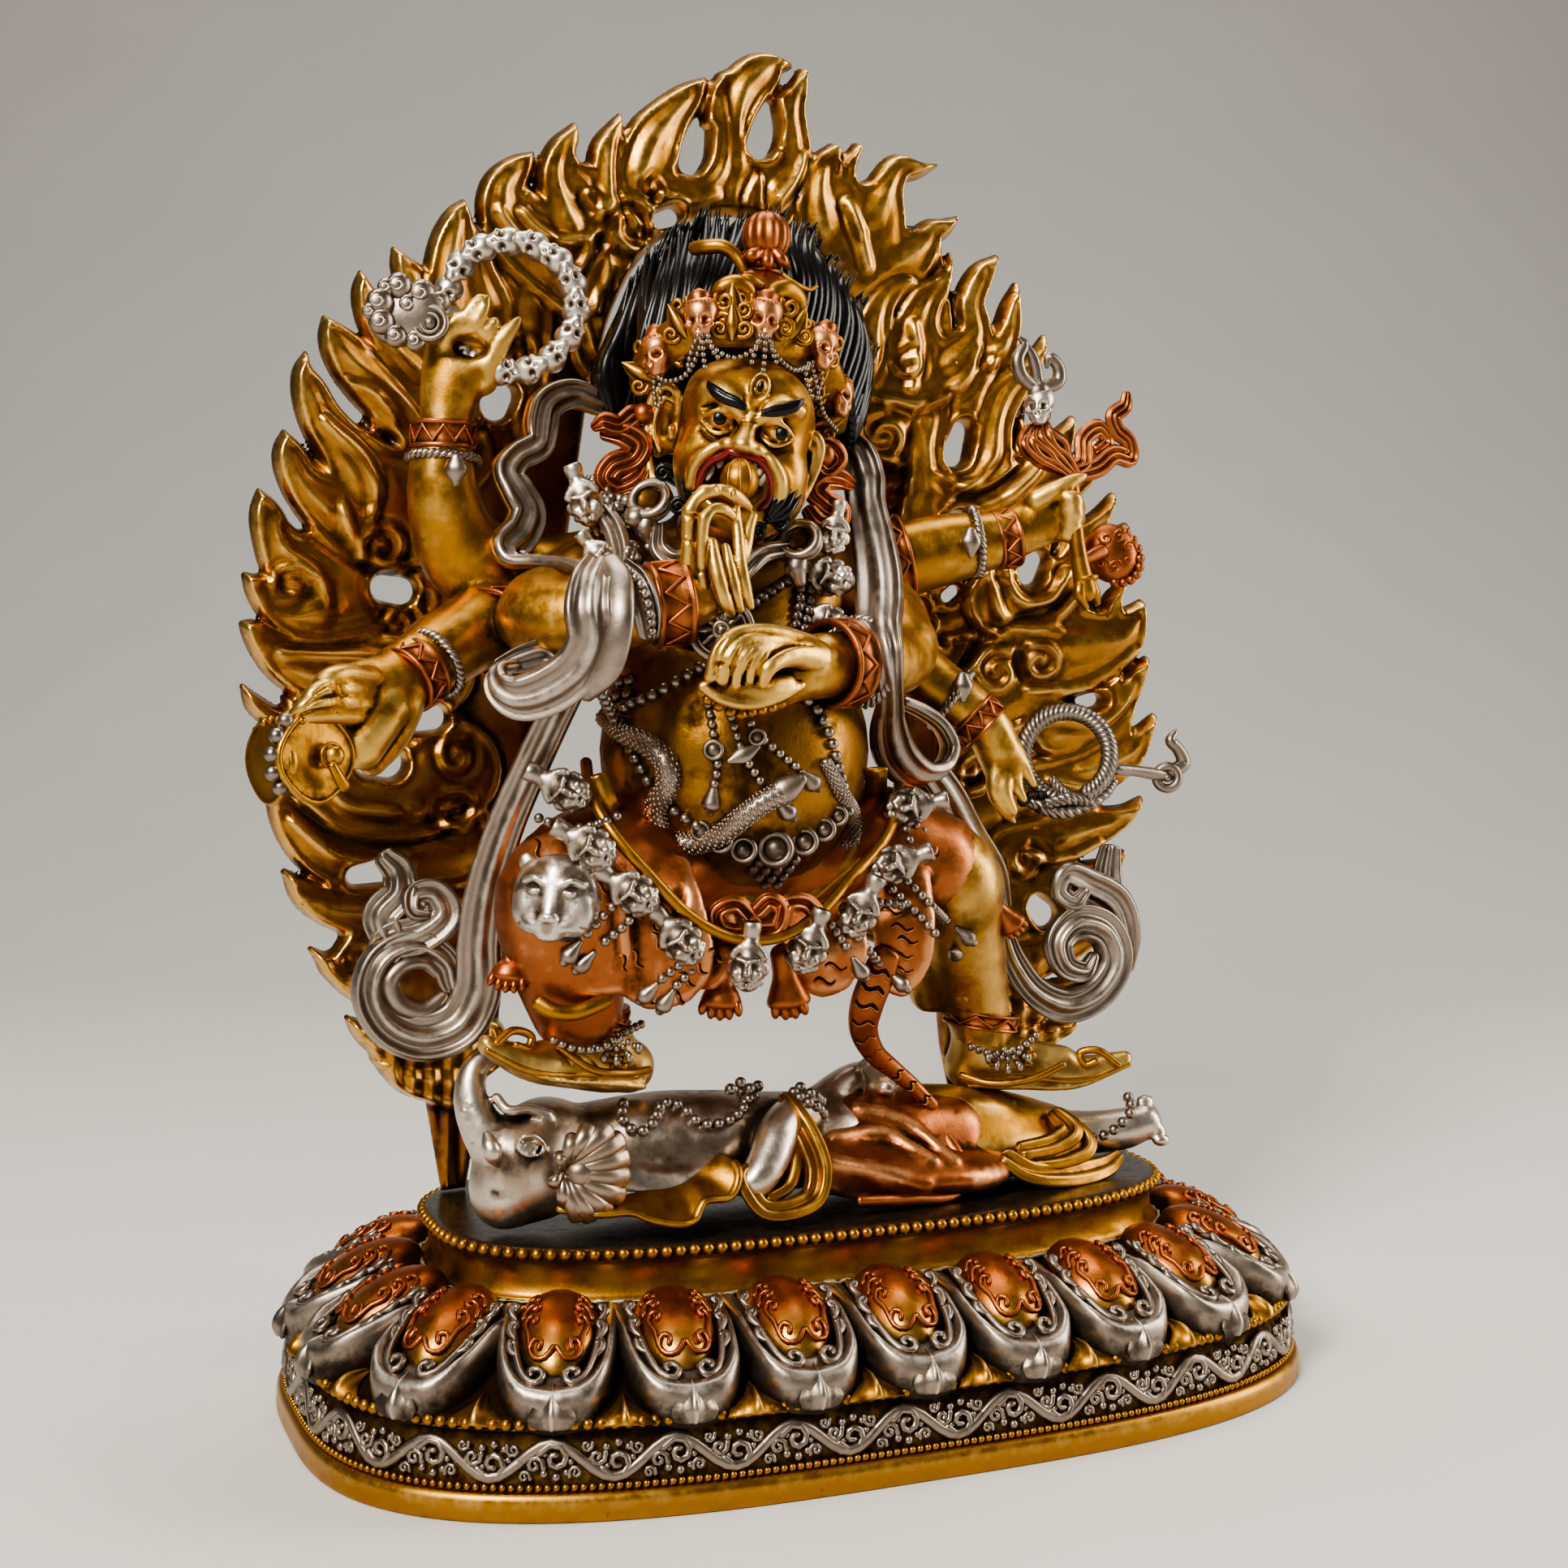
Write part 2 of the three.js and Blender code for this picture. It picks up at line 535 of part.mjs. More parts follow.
// The scarf: two ribbons from behind the head, looped over the forearms and ending in coils
function scarf() {
  const ribbon = (points, girths, steps = points.length) => (
    sweep(points, girths, { sides: 4, steps }));
  return [
    ribbon([[-46, 8, 188], [-60, 5, 187], [-68, 0, 177], [-72, -4, 166], [-72, -9, 156], [-77, -13, 149],
      [-70, -22, 145], [-61, -35, 141]],
    [[4, 2], [4, 2], [5, 2], [5, 2], [5, 2], [5.5, 2], [6, 2.5], [7, 3]]),
    ribbon([[-61, -38, 146], [-64, -42, 134], [-70, -42, 125], [-79, -36, 120], [-83, -26, 124]],
      [[6, 3], [7.5, 3], [6, 3], [5, 2.5], [3, 2]]),
    ribbon([[-64, -26, 124], [-68, -19, 112], [-73, -16, 97], [-78, -14, 80], [-82, -12, 66],
      [-84, -12, 54], [-89, -12, 46], [-99, -11, 44], [-107, -9, 52], [-104, -8, 63], [-94, -8, 65],
      [-89, -9, 57], [-95, -10, 51]],
    [[4, 3], [5, 3], [5, 3], [5, 3], [5, 3], [5, 3], [5, 4], [4.5, 4], [4, 4], [3.5, 4], [3, 4],
      [3, 3], [2, 2]], 13),
    ribbon([[-105, -8, 61], [-108, -7, 72], [-98, -7, 76], [-92, -7, 75], [-97, -7, 82], [-101, -6, 87]],
      [[4, 3], [5, 3], [6, 3], [6, 3], [4, 2.5], [1.5, 1.5]]),
    ribbon([[6, 10, 186], [15, 8, 181], [20, 4, 171], [21, 0, 159], [17, -6, 146], [12, -18, 136],
      [13, -26, 126]],
    [[3, 2], [4.5, 2], [5, 2], [5, 2], [5.5, 2], [6, 3], [6, 3]]),
    ribbon([[13, -27, 128], [16, -19, 114], [20, -15, 105], [28, -13, 100], [32, -11, 107], [26, -12, 112]],
      [[5, 3], [5, 2.5], [6, 2.5], [5, 2.5], [4, 2.5], [3, 2]]),
    ribbon([[27, -13, 103], [33, -12, 99], [40, -10, 88], [48, -8, 73], [54, -6, 62]],
      [[4, 2.5], [4.5, 2.5], [4.5, 2.5], [4, 2.5], [3, 2]]),
    ribbon([[52, -6, 66], [56, -5, 54], [63, -5, 45], [74, -6, 41], [85, -6, 47], [87, -5, 57],
      [79, -4, 63], [71, -4, 58], [73, -4, 51]],
    [[2, 2], [3.5, 3], [4, 3.5], [4.5, 4], [4.5, 4], [4, 4], [3.5, 4], [3, 3], [2, 2]], 9),
    ribbon([[86, -5, 58], [88, -4, 69], [81, -4, 71], [80, -4, 80]], [[4, 3], [5, 3], [5, 3], [1.5, 1.5]]),
  ];
}

// Shoulder ornaments: bead ruffs and the ribbon bows beside the ears
function ornaments() {
  return [
    sweep([[-43, -8, 160], [-38, -16, 152], [-22, -19, 147], [-4, -14, 153], [0, -6, 161]],
      [[3.5, 3]], { sides: 4, steps: 4 }),
    blob([-52, -4, 160], [8, 7, 7]),
    blob([9, -3, 160], [7, 7, 7]),
    sweep([[-52, -1, 183], [-50, -3, 177], [-45, -6, 170], [-47, -7, 166]], [[5, 2], [4, 2], [3.5, 2]],
      { sides: 4, steps: 4 }),
    sweep([[-1, -5, 182], [6, -4, 175], [9, -4, 168], [11, -4, 161]], [[4, 2], [4, 2], [3, 2]],
      { sides: 4, steps: 4 }),
  ];
}

function staffHole() {
  return sweep(STAFF_LINE, [STAFF_DIAMETER / 2 / part], { sides: 6, steps: 3, grow: CLEARANCE });
}

function mahakala() {
  const whole = join([
    ...trunkAndHead(), ...hair(), ...crown(), ...arms(), ...attributes(), ...legsAndSkirt(),
    ...garland(), ...scarf(), ...ornaments(),
  ]);
  return whole.subtract(staffHole()).subtract(nooseRope(CLEARANCE));
}

// Trident staff: held through the raised left hand, with a skull, hair and ribbons under its prongs
function tridentStaff() {
  const radius = STAFF_DIAMETER / 2 / part;
  return join([
    sweep(STAFF_LINE, [radius], { sides: 6, steps: 3 }),
    sweep([[60, -6, 184], [60, -6, 190], [60, -6, 196]], [[3.4, 3.4], [4.6, 4], [2.2, 2.2]],
      { sides: 6, steps: 2 }),
    ...[[[60, -6, 195], [55, -6, 199], [53, -6, 206], [55.5, -6, 212]],
      [[60, -6, 195], [65, -6, 198], [67, -6, 203], [65, -6, 209]],
      [[60, -6, 195], [60, -6, 203], [58.5, -6, 208]]].map((prong) => (
      sweep(prong, [[1.7, 1.7], [1.5, 1.5], [0.5, 0.5]], { sides: 4, steps: 3 }))),
    sweep([[60.5, -6, 187], [62, -8, 181], [64.5, -8.5, 175]], [[4.2, 4], [5.4, 4.6], [3, 3]],
      { sides: 6, steps: 2 }),
    sweep([[65, -8, 176], [73, -7, 180], [80, -6, 176], [84, -6, 184], [82, -6, 191]],
      [[3, 2], [3.5, 1.6], [3, 1.6], [2.5, 1.6], [1.5, 1.2]], { sides: 4, steps: 6 }),
    blob([81, -6, 155], [8, 5, 7.5], { turn: [0, 20, 0], mesh: [7, 4] }),
    sweep([[70, -9.5, 152], [80, -7, 154]], [[2, 2]], { sides: 4, steps: 1 }),
  ]);
}

// Rope noose: a ring of twisted rope with one end run out to a hook
function nooseRope(grow) {
  const count = 12;
  const loop = Array.from({ length: count + 1 }, (_, index) => {
    const angle = (-60 + (index / count) * 318) * DEGREE;
    return [NOOSE_CENTRE[0] + NOOSE_RADIUS * Math.cos(angle), NOOSE_CENTRE[1],
      NOOSE_CENTRE[2] + NOOSE_RADIUS * Math.sin(angle)];
  });
  return sweep(loop, [ROPE_DIAMETER / 2 / part], { sides: 6, steps: count, grow });
}

function noose() {
  const [x, y, z] = NOOSE_CENTRE;
  return join([
    nooseRope(0),
    blob([x - 2, y, z - NOOSE_RADIUS], [6, 3, 3.5], { mesh: [6, 4] }),
    sweep([[x + 8, y, z - 3], [x + 17, y, z - 1], [x + 26, y, z - 3]], [[2.4, 2.4], [2, 2], [3, 2.4]],
      { sides: 5, steps: 3 }),
    sweep([[x + 26, y, z - 3], [x + 31, y, z], [x + 28.5, y, z + 5], [x + 31, y, z + 8]],
      [[2, 2], [1.6, 1.6], [1.5, 1.5], [1, 1]], { sides: 5, steps: 4 }),
  ]);
}

// The trampled figure: on its back, elephant head to the viewer's left, feet to the right
function trampledFigure() {
  const body = join([
    sweep([[-63, -11, 15], [-40, -11, 15], [-18, -11, 14], [2, -10, 13.5], [24, -10, 11]],
      [[14, 11], [16, 13.5], [14, 12.5], [16, 12.5], [14, 10]], { steps: 4 }),
    sweep([[18, -12, 11], [38, -9, 11.5], [56, -7, 10], [72, -10, 7]],
      [[14, 10.5], [10, 9.5], [8, 8], [5, 5]], { steps: 3 }),
    sweep([[68, -9, 7], [77, -12, 6.5], [88, -15, 8]], [[5, 5], [5, 4], [2.5, 3]], { sides: 6, steps: 3 }),
    blob([-72, -17, 15.5], [13, 14, 13.5], { mesh: [8, 6] }),
    sweep([[-78, -18, 20], [-83, -17, 27], [-85, -15, 34], [-82, -14, 38]],
      [[5, 5], [3.6, 3.6], [2.6, 2.6], [2, 2]], { sides: 5, steps: 3 }),
    blob([-61, -30, 16], [9.5, 3.4, 11], { turn: [0, 20, 0], mesh: [8, 4] }),
    sweep([[-60, -28, 8], [-56, -32, 4.5], [-44, -34, 4], [-31, -35, 8], [-26, -33, 14]],
      [[5, 3.5], [6, 3.5], [6, 3.5], [5, 3], [3, 3]], { sides: 6, steps: 5 }),
    sweep([[-12, -20, 21], [-20, -28, 14], [-17, -32, 7], [-10, -30, 9]],
      [[6, 6], [5.5, 5.5], [5, 5], [4, 4]], { sides: 6, steps: 4 }),
    sweep([[-10, -26, 24], [-2, -30, 16], [-4, -34, 7], [-16, -35, 4]], [[3, 2.5], [4, 3], [4, 3], [3, 3]],
      { sides: 4, steps: 4 }),
    sweep([[-2, -10, 18], [7, -7, 25], [16, -5, 27], [24, -5, 26]], [[5, 5], [4.5, 4.5], [4, 3], [2, 2]],
      { sides: 6, steps: 4 }),
    sweep([[-4, -22, 6], [14, -26, 4], [34, -25, 4.5], [44, -18, 5]], [[8, 4], [9, 4], [8, 4], [4, 3]],
      { sides: 6, steps: 4 }),
    sweep([[48, -16, 6], [62, -19, 4], [78, -18, 4]], [[5, 3.5], [6, 3.5], [4, 3]], { sides: 6, steps: 3 }),
  ]);
  // Everything that would sink into the deck is cut off flat, a clearance above it
  const size = 4 * deckHalfLength;
  const below = new THREE.BoxGeometry(size, size, size);
  below.translate(0, 0, -size / 2 + CLEARANCE);
  return [...boots(CLEARANCE), tail(CLEARANCE)].reduce((whole, hole) => whole.subtract(hole), body)
    .subtract(solid(below));
}

const group = new THREE.Group();

function place(name, geometry, material, [x, y, z]) {
  const mesh = new THREE.Mesh(geometry, material);
  mesh.name = name;
  mesh.position.set(x, y, z);
  group.add(mesh);
}

const gold = new THREE.MeshStandardMaterial({ color: 0xb8862f, roughness: 0.35, metalness: 0.9 });
const silver = new THREE.MeshStandardMaterial({ color: 0xb9b3aa, roughness: 0.35, metalness: 0.9 });
const onDeck = [0, 0, deckTop];
place('lotus_plinth', geometryOf(lotusPlinth()), gold, [0, 0, 0]);
place('flame_aureole', flameAureole(), gold, at(AUREOLE_CENTRE).setZ(deckTop).toArray());
place('mahakala', geometryOf(mahakala()), gold, onDeck);
place('trampled_figure', geometryOf(trampledFigure()), silver, onDeck);
place('trident_staff', geometryOf(tridentStaff()), silver, onDeck);
place('noose', geometryOf(noose()), silver, onDeck);

export default group;
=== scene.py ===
"""A six-armed mahakala figure before its flame aureole, on a lotus plinth.

The carved detail that stands for the CAD solids. Lengths are in millimetres from the centre of the
deck, as in the CAD model, until a piece is made. +X is the viewer's right and -Y is towards them.
"""
import math

import bpy
import numpy as np
import openvdb
from mathutils import Matrix, Vector


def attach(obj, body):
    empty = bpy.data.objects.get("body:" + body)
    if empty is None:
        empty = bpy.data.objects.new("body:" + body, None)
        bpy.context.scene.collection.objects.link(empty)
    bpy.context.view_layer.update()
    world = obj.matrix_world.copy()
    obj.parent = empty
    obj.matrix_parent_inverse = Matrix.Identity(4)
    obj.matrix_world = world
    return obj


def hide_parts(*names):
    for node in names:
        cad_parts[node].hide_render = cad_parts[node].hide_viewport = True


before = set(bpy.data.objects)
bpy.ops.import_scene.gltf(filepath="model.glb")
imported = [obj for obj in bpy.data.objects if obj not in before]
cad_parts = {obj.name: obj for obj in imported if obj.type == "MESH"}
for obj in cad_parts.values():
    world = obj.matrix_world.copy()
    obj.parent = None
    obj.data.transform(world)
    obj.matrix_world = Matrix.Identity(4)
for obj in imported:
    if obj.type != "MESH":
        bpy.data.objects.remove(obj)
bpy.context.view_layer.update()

MILLIMETRE = 0.001
DECK = 47.0                      # height of the deck over the floor
FRONT = np.array([0.0, -1.0, 0.0])
UP = np.array([0.0, 0.0, 1.0])
random = np.random.default_rng(7)


# Vectors and curves

def unit(vector):
    return vector / max(float(np.linalg.norm(vector)), 1e-9)


def units(vectors):
    return vectors / np.maximum(np.linalg.norm(vectors, axis=-1, keepdims=True), 1e-9)


def smooth_rows(rows, per=6):
    """Rows of x, y, z and any further values, passed through by one smooth curve."""
    rows = np.asarray(rows, float)
    if len(rows) == 2:
        share = np.linspace(0, 1, per + 1)[:, None]
        return rows[0] * (1 - share) + rows[1] * share
    ends = np.vstack([2 * rows[0] - rows[1], rows, 2 * rows[-1] - rows[-2]])
    knots = np.cumsum(np.r_[0, np.sqrt(np.linalg.norm(np.diff(ends[:, :3], axis=0), axis=1)) + 1e-6])
    out = []
    for index in range(1, len(ends) - 2):
        p0, p1, p2, p3 = ends[index - 1:index + 3]
        t0, t1, t2, t3 = knots[index - 1:index + 3]
        t = np.linspace(t1, t2, per, endpoint=False)[:, None]
        a1 = (t1 - t) / (t1 - t0) * p0 + (t - t0) / (t1 - t0) * p1
        a2 = (t2 - t) / (t2 - t1) * p1 + (t - t1) / (t2 - t1) * p2
        a3 = (t3 - t) / (t3 - t2) * p2 + (t - t2) / (t3 - t2) * p3
        b1 = (t2 - t) / (t2 - t0) * a1 + (t - t0) / (t2 - t0) * a2
        b2 = (t3 - t) / (t3 - t1) * a2 + (t - t1) / (t3 - t1) * a3
        out.append((t2 - t) / (t2 - t1) * b1 + (t - t1) / (t2 - t1) * b2)
    out.append(ends[-2][None])
    return np.vstack(out)


def even_points(points, spacing):
    """Points at one spacing along a polyline, fitted so that both ends are met."""
    points = np.asarray(points, float)
    lengths = np.r_[0, np.cumsum(np.linalg.norm(np.diff(points, axis=0), axis=1))]
    count = max(2, int(round(lengths[-1] / spacing)) + 1)
    wanted = np.linspace(0, lengths[-1], count)
    return np.stack([np.interp(wanted, lengths, points[:, axis]) for axis in range(points.shape[1])], 1)


def turned(points, degrees, axis):
    matrix = np.array(Matrix.Rotation(math.radians(degrees), 3, axis))
    return np.asarray(points, float) @ matrix.T


def frames_along(points, facing=FRONT, carried=False):
    """Tangent, side and face directions along a polyline."""
    tangents = units(np.gradient(points, axis=0))
    sides = np.zeros_like(points)
    faces = np.zeros_like(points)
    face = np.asarray(facing, float)
    for index, tangent in enumerate(tangents):
        seen = facing - tangent * np.dot(facing, tangent)
        kept = face - tangent * np.dot(face, tangent)
        face = unit(kept if (carried and index) or np.linalg.norm(seen) < 0.35 else seen)
        faces[index] = face
        sides[index] = np.cross(face, tangent)
    return tangents, sides, faces


# Meshes are gathered as (points, faces, darkness, tint): the darkness is how dark a point is painted, the
# figure's own dark wash together with painted shade in hollows, and below zero brighter metal, wear
# together with painted highlight on edges; tint is how much of the material's second colour it has

# How far out of a loft's end, in half-depths, and how large its last rings are
ROUND_END = ((0.95, 0.3), (0.7, 0.72), (0.3, 0.95))
LEAST_HALF_WIDTH = 0.05


def ring_faces(rings, sides, closed_ring=True, closed_run=False):
    ring = np.arange(rings if closed_run else rings - 1)[:, None]
    side = np.arange(sides if closed_ring else sides - 1)[None, :]
    after = (ring + 1) % rings
    right = (side + 1) % sides
    quads = np.stack([ring * sides + side, ring * sides + right, after * sides + right,
                      after * sides + side], -1)
    return quads.reshape(-1, 4)


def loft(rows, section=None, per=6, facing=FRONT, carried=False, sides=10, wash=None,
         round_ends=True):
    """A section swept along rows of x, y, z, half-width, half-depth. The section is an array of
    (across, deep, darkness) for a unit half-width and half-depth; the darkness is wash and painted shade."""
    rows = np.asarray(rows, float)
    if rows.shape[1] == 4:
        rows = np.hstack([rows, rows[:, 3:4]])
    line = smooth_rows(rows, per)
    points = line[:, :3]
    widths = np.maximum(line[:, 3], LEAST_HALF_WIDTH)
    depths = np.maximum(line[:, 4], LEAST_HALF_WIDTH)
    if section is None:
        angle = np.linspace(0, 2 * math.pi, sides, endpoint=False)
        section = np.stack([np.cos(angle), np.sin(angle), np.zeros(sides)], 1)
    if round_ends:
        tangent = unit(points[1] - points[0])
        last = unit(points[-1] - points[-2])
        head = [(points[0] - tangent * depths[0] * out, widths[0] * size, depths[0] * size)
                for out, size in ROUND_END]
        tail = [(points[-1] + last * depths[-1] * out, widths[-1] * size, depths[-1] * size)
                for out, size in ROUND_END[::-1]]
        points = np.vstack([[p for p, _, _ in head], points, [p for p, _, _ in tail]])
        widths = np.r_[[w for _, w, _ in head], widths, [w for _, w, _ in tail]]
        depths = np.r_[[d for _, _, d in head], depths, [d for _, _, d in tail]]
    _, side, face = frames_along(points, np.asarray(facing, float), carried)
    count, sides = len(points), len(section)
    across = section[None, :, 0] * widths[:, None]
    deep = section[None, :, 1] * depths[:, None]
    verts = (points[:, None] + side[:, None] * across[..., None] + face[:, None] * deep[..., None])
    stain_and_shade = np.broadcast_to(section[None, :, 2], (count, sides)).copy()
    if wash is not None:
        stain_and_shade += np.interp(np.linspace(0, 1, count), np.linspace(0, 1, len(wash)), wash)[:, None]
    faces = [tuple(face) for face in ring_faces(count, sides)]
    faces.append(tuple(range(sides))[::-1])
    faces.append(tuple(range((count - 1) * sides, count * sides)))
    return verts.reshape(-1, 3), faces, stain_and_shade.reshape(-1), np.zeros(count * sides)


def unit_sphere(segments=8, rings=6):
    tilt = np.linspace(0, math.pi, rings + 1)[1:-1]
    turn = np.linspace(0, 2 * math.pi, segments, endpoint=False)
    body = np.stack([np.outer(np.sin(tilt), np.cos(turn)), np.outer(np.sin(tilt), np.sin(turn)),
                     np.outer(np.cos(tilt), np.ones(segments))], -1).reshape(-1, 3)
    points = np.vstack([[0, 0, 1], body, [0, 0, -1]])
    faces = [(0, 1 + s, 1 + (s + 1) % segments) for s in range(segments)]
    for ring in range(rings - 2):
        base = 1 + ring * segments
        faces += [(base + s, base + segments + s, base + segments + (s + 1) % segments,
                   base + (s + 1) % segments) for s in range(segments)]
    base = 1 + (rings - 2) * segments
    faces += [(base + s, len(points) - 1, base + (s + 1) % segments) for s in range(segments)]
    return points, faces


def copies(base, places):
    """Real copies of (points, faces, darkness from wash and painted shade) by 3 x 4 matrices, as one mesh.
    """
    points, faces, wash = base
    places = np.asarray(places, float)
    verts = np.einsum("nij,vj->nvi", places[:, :, :3], points) + places[:, None, :, 3]
    all_faces = [tuple(corner + index * len(points) for corner in face)
                 for index in range(len(places)) for face in faces]
    stain_and_shade = np.tile(wash, len(places))
    return verts.reshape(-1, 3), all_faces, stain_and_shade, np.zeros(len(stain_and_shade))


def spheres(centres, radii, segments=8, rings=6):
    points, faces = unit_sphere(segments, rings)
    centres = np.asarray(centres, float)
    radii = np.broadcast_to(np.asarray(radii, float), (len(centres),))
    places = np.zeros((len(centres), 3, 4))
    places[:, [0, 1, 2], [0, 1, 2]] = radii[:, None]
    places[:, :, 3] = centres
    return copies((points, faces, np.zeros(len(points))), places)


def ellipsoid(centre, radii, turn=(0, 0, 0), segments=16, rings=10):
    points, faces = unit_sphere(segments, rings)
    points = points * np.asarray(radii, float)
    for angle, axis in zip(turn, "XYZ"):
        points = turned(points, angle, axis)
    return points + np.asarray(centre, float), faces, np.zeros(len(points)), np.zeros(len(points))


def bead_string(rows, radius, gap=0.15, segments=8, rings=6):
    """Beads side by side along a curve, with a gap between them"""
    centres = even_points(smooth_rows(rows)[:, :3], 2 * radius + gap)
    return spheres(centres, radius, segments, rings)


def ring_band(centre, axis, radius, half_width, half_depth, segments=28, section_sides=8, shape=None,
              across=None):
    """A ring about an axis: radius to the middle of its section."""
    axis = unit(np.asarray(axis, float))
    first = unit(np.cross(axis, across if across is not None else (0.3, 0.2, 1.0)))
    second = np.cross(axis, first)
    turn = np.linspace(0, 2 * math.pi, segments, endpoint=False)
    if shape is None:
        angle = np.linspace(0, 2 * math.pi, section_sides, endpoint=False)
        shape = np.stack([np.cos(angle), np.sin(angle), np.zeros(section_sides)], 1)
    out = first * np.cos(turn)[:, None] + second * np.sin(turn)[:, None]
    reach = radius + shape[None, :, 1] * half_depth
    verts = (np.asarray(centre, float) + out[:, None] * reach[..., None]
             + axis * (shape[None, :, 0] * half_width)[..., None])
    faces = [tuple(face) for face in ring_faces(segments, len(shape), True, True)]
    stain_and_shade = np.broadcast_to(shape[None, :, 2], verts.shape[:2]).reshape(-1).copy()
    return verts.reshape(-1, 3), faces, stain_and_shade, np.zeros(len(stain_and_shade))


class Piece:
    """Gathers meshes with their materials and makes one object of them."""

    def __init__(self, name, nodes, slot):
        self.name, self.nodes, self.slot = name, nodes, slot
        self.points, self.faces, self.wash, self.tint, self.slots = [], [], [], [], []
        self.materials, self.total = [], 0

    def add(self, mesh, material, wash=0.0):
        points, faces, stain_and_shade, tint = mesh
        if material not in self.materials:
            self.materials.append(material)
        self.slots += [self.materials.index(material)] * len(faces)
        start = self.total
        self.faces += [tuple(corner + start for corner in face) for face in faces]
        self.points.append(np.asarray(points, float))
        self.wash.append(np.asarray(stain_and_shade, float) + wash)
        self.tint.append(np.asarray(tint, float))
        self.total += len(points)
        return self

    def make(self, lift=DECK):
        points = np.vstack(self.points) + np.array([0, 0, lift])
        mesh = bpy.data.meshes.new(self.name)
        flat = np.fromiter((corner for face in self.faces for corner in face), np.int32)
        sizes = np.fromiter((len(face) for face in self.faces), np.int32)
        mesh.vertices.add(len(points))
        mesh.vertices.foreach_set("co", (points * MILLIMETRE).ravel())
        mesh.loops.add(len(flat))
        mesh.loops.foreach_set("vertex_index", flat)
        mesh.polygons.add(len(sizes))
        mesh.polygons.foreach_set("loop_start", np.r_[0, np.cumsum(sizes)[:-1]].astype(np.int32))
        mesh.polygons.foreach_set("material_index", np.array(self.slots, np.int32))
        mesh.polygons.foreach_set("use_smooth", np.ones(len(sizes), bool))
        for name, values in (("wash", self.wash), ("tint", self.tint)):
            attribute = mesh.attributes.new(name, "FLOAT", "POINT")
            attribute.data.foreach_set("value", np.concatenate(values))
        for material in self.materials:
            mesh.materials.append(material)
        mesh.update(calc_edges=True)
        mesh.validate()
        piece = bpy.data.objects.new(self.name, mesh)
        bpy.context.scene.collection.objects.link(piece)
        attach(piece, "root")
        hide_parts(*self.nodes)
        return piece


STEPS_PER_RIDGE = 6
STRIP_EDGE = 0.35                # height of a strip's front at its edges, in half-depths


def ridge_section(points=14, ridges=3):
    """A round section with ridges along it, painted darker between them and lighter on them: wash with
    painted shade and highlight
    """
    angle = np.linspace(0, 2 * math.pi, points * 2, endpoint=False)
    proud = 1 + 0.12 * np.cos(angle * ridges * 2)
    return np.stack([np.cos(angle) * proud, np.sin(angle) * proud,
                     np.clip(0.55 - 4 * (proud - 0.9), -0.3, 0.6)], 1)


def flat_section(ridges=3):
    """A strip's section: ridges and grooves in front, plain behind. The grooves are painted darker and the
    ridges lighter: wash with painted shade and highlight
    """
    across = np.linspace(-1, 1, ridges * STEPS_PER_RIDGE + 1)
    phase = (across + 1) / 2 * ridges * 2 * math.pi
    ridge = 0.5 - 0.5 * np.cos(phase)
    edge = np.clip((1 - np.abs(across)) * 6, 0, 1)
    front = np.stack([across, STRIP_EDGE + (ridge - 0.5) * 0.9 * edge + 0.25 * edge,
                      0.42 * (1 - ridge) ** 2 * edge - 0.24 * ridge], 1)
    back = np.stack([[1.0, 0.5, 0.0, -0.5, -1.0], [-0.35, -0.6, -0.65, -0.6, -0.35], [0.1] * 5], 1)
    return np.vstack([front, back])


# Section of a scarf: rolled edges, two hollows and an off-centre fold between them
FOLD_SHAPE = ((-1.0, 0.02), (-0.95, 0.50), (-0.86, 0.76), (-0.74, 0.78), (-0.60, 0.60), (-0.46, 0.44),
              (-0.30, 0.48), (-0.14, 0.78), (0.02, 1.02), (0.16, 1.04), (0.30, 0.82), (0.42, 0.48),
              (0.56, 0.36), (0.68, 0.46), (0.79, 0.72), (0.88, 0.80), (0.95, 0.52), (1.0, 0.05))
FOLD_BACK = ((0.97, -0.5), (0.5, -0.72), (0.0, -0.75), (-0.5, -0.72), (-0.97, -0.5))


def scarf_section():
    # Lower places are painted darker and higher ones lighter: painted shade and highlight with the wash
    front = [(across, height, 0.16 - 0.38 * height if abs(across) < 0.9 else -0.1)
             for across, height in FOLD_SHAPE]
    back = [(across, depth, 0.12) for across, depth in FOLD_BACK]
    return np.array(front + back)


def ribbon(rows, ridges=3, per=7, facing=FRONT, carried=False):
    return loft(rows, flat_section(ridges), per, facing, carried)


STEPS_PER_TURN = 10


def placed(mesh, origin, axes, scale=1.0):
    """A mesh set on its own axes, given as columns"""
    points, faces, stain_and_shade, tint = mesh
    return np.asarray(points) * scale @ np.asarray(axes).T + origin, faces, stain_and_shade, tint


def spiral_rows(centre, across, up, start, turns, from_radius, to_radius, width, lift=None):
    """Rows of a volute in the plane of across and up; lift moves its inner end"""
    rows = []
    count = max(6, int(abs(turns) * STEPS_PER_TURN))
    for index in range(count + 1):
        share = index / count
        angle = math.radians(start) + turns * 2 * math.pi * share
        reach = from_radius + (to_radius - from_radius) * share
        point = centre + (across * math.cos(angle) + up * math.sin(angle)) * reach
        if lift is not None:
            point = point + lift * share
        rows.append((*point, width * (1 - 0.35 * share), width * (1 - 0.35 * share)))
    return rows


# Clay: a distance field on a grid, built up with strokes and lumps and cut with others

FAR = 6.0                        # the largest distance that a field holds
OWN_SHARE = 0.4                  # share of the unsmoothed field in the one that is meshed
WASH_AND_SHADE_GAIN = 3.2                  # how fast the dark wash and painted shade grow with the depth of a hollow
LEAST_WASH_AND_SHADE = -0.5                # on the sharpest edges, where metal is painted brighter: wear and painted highlight
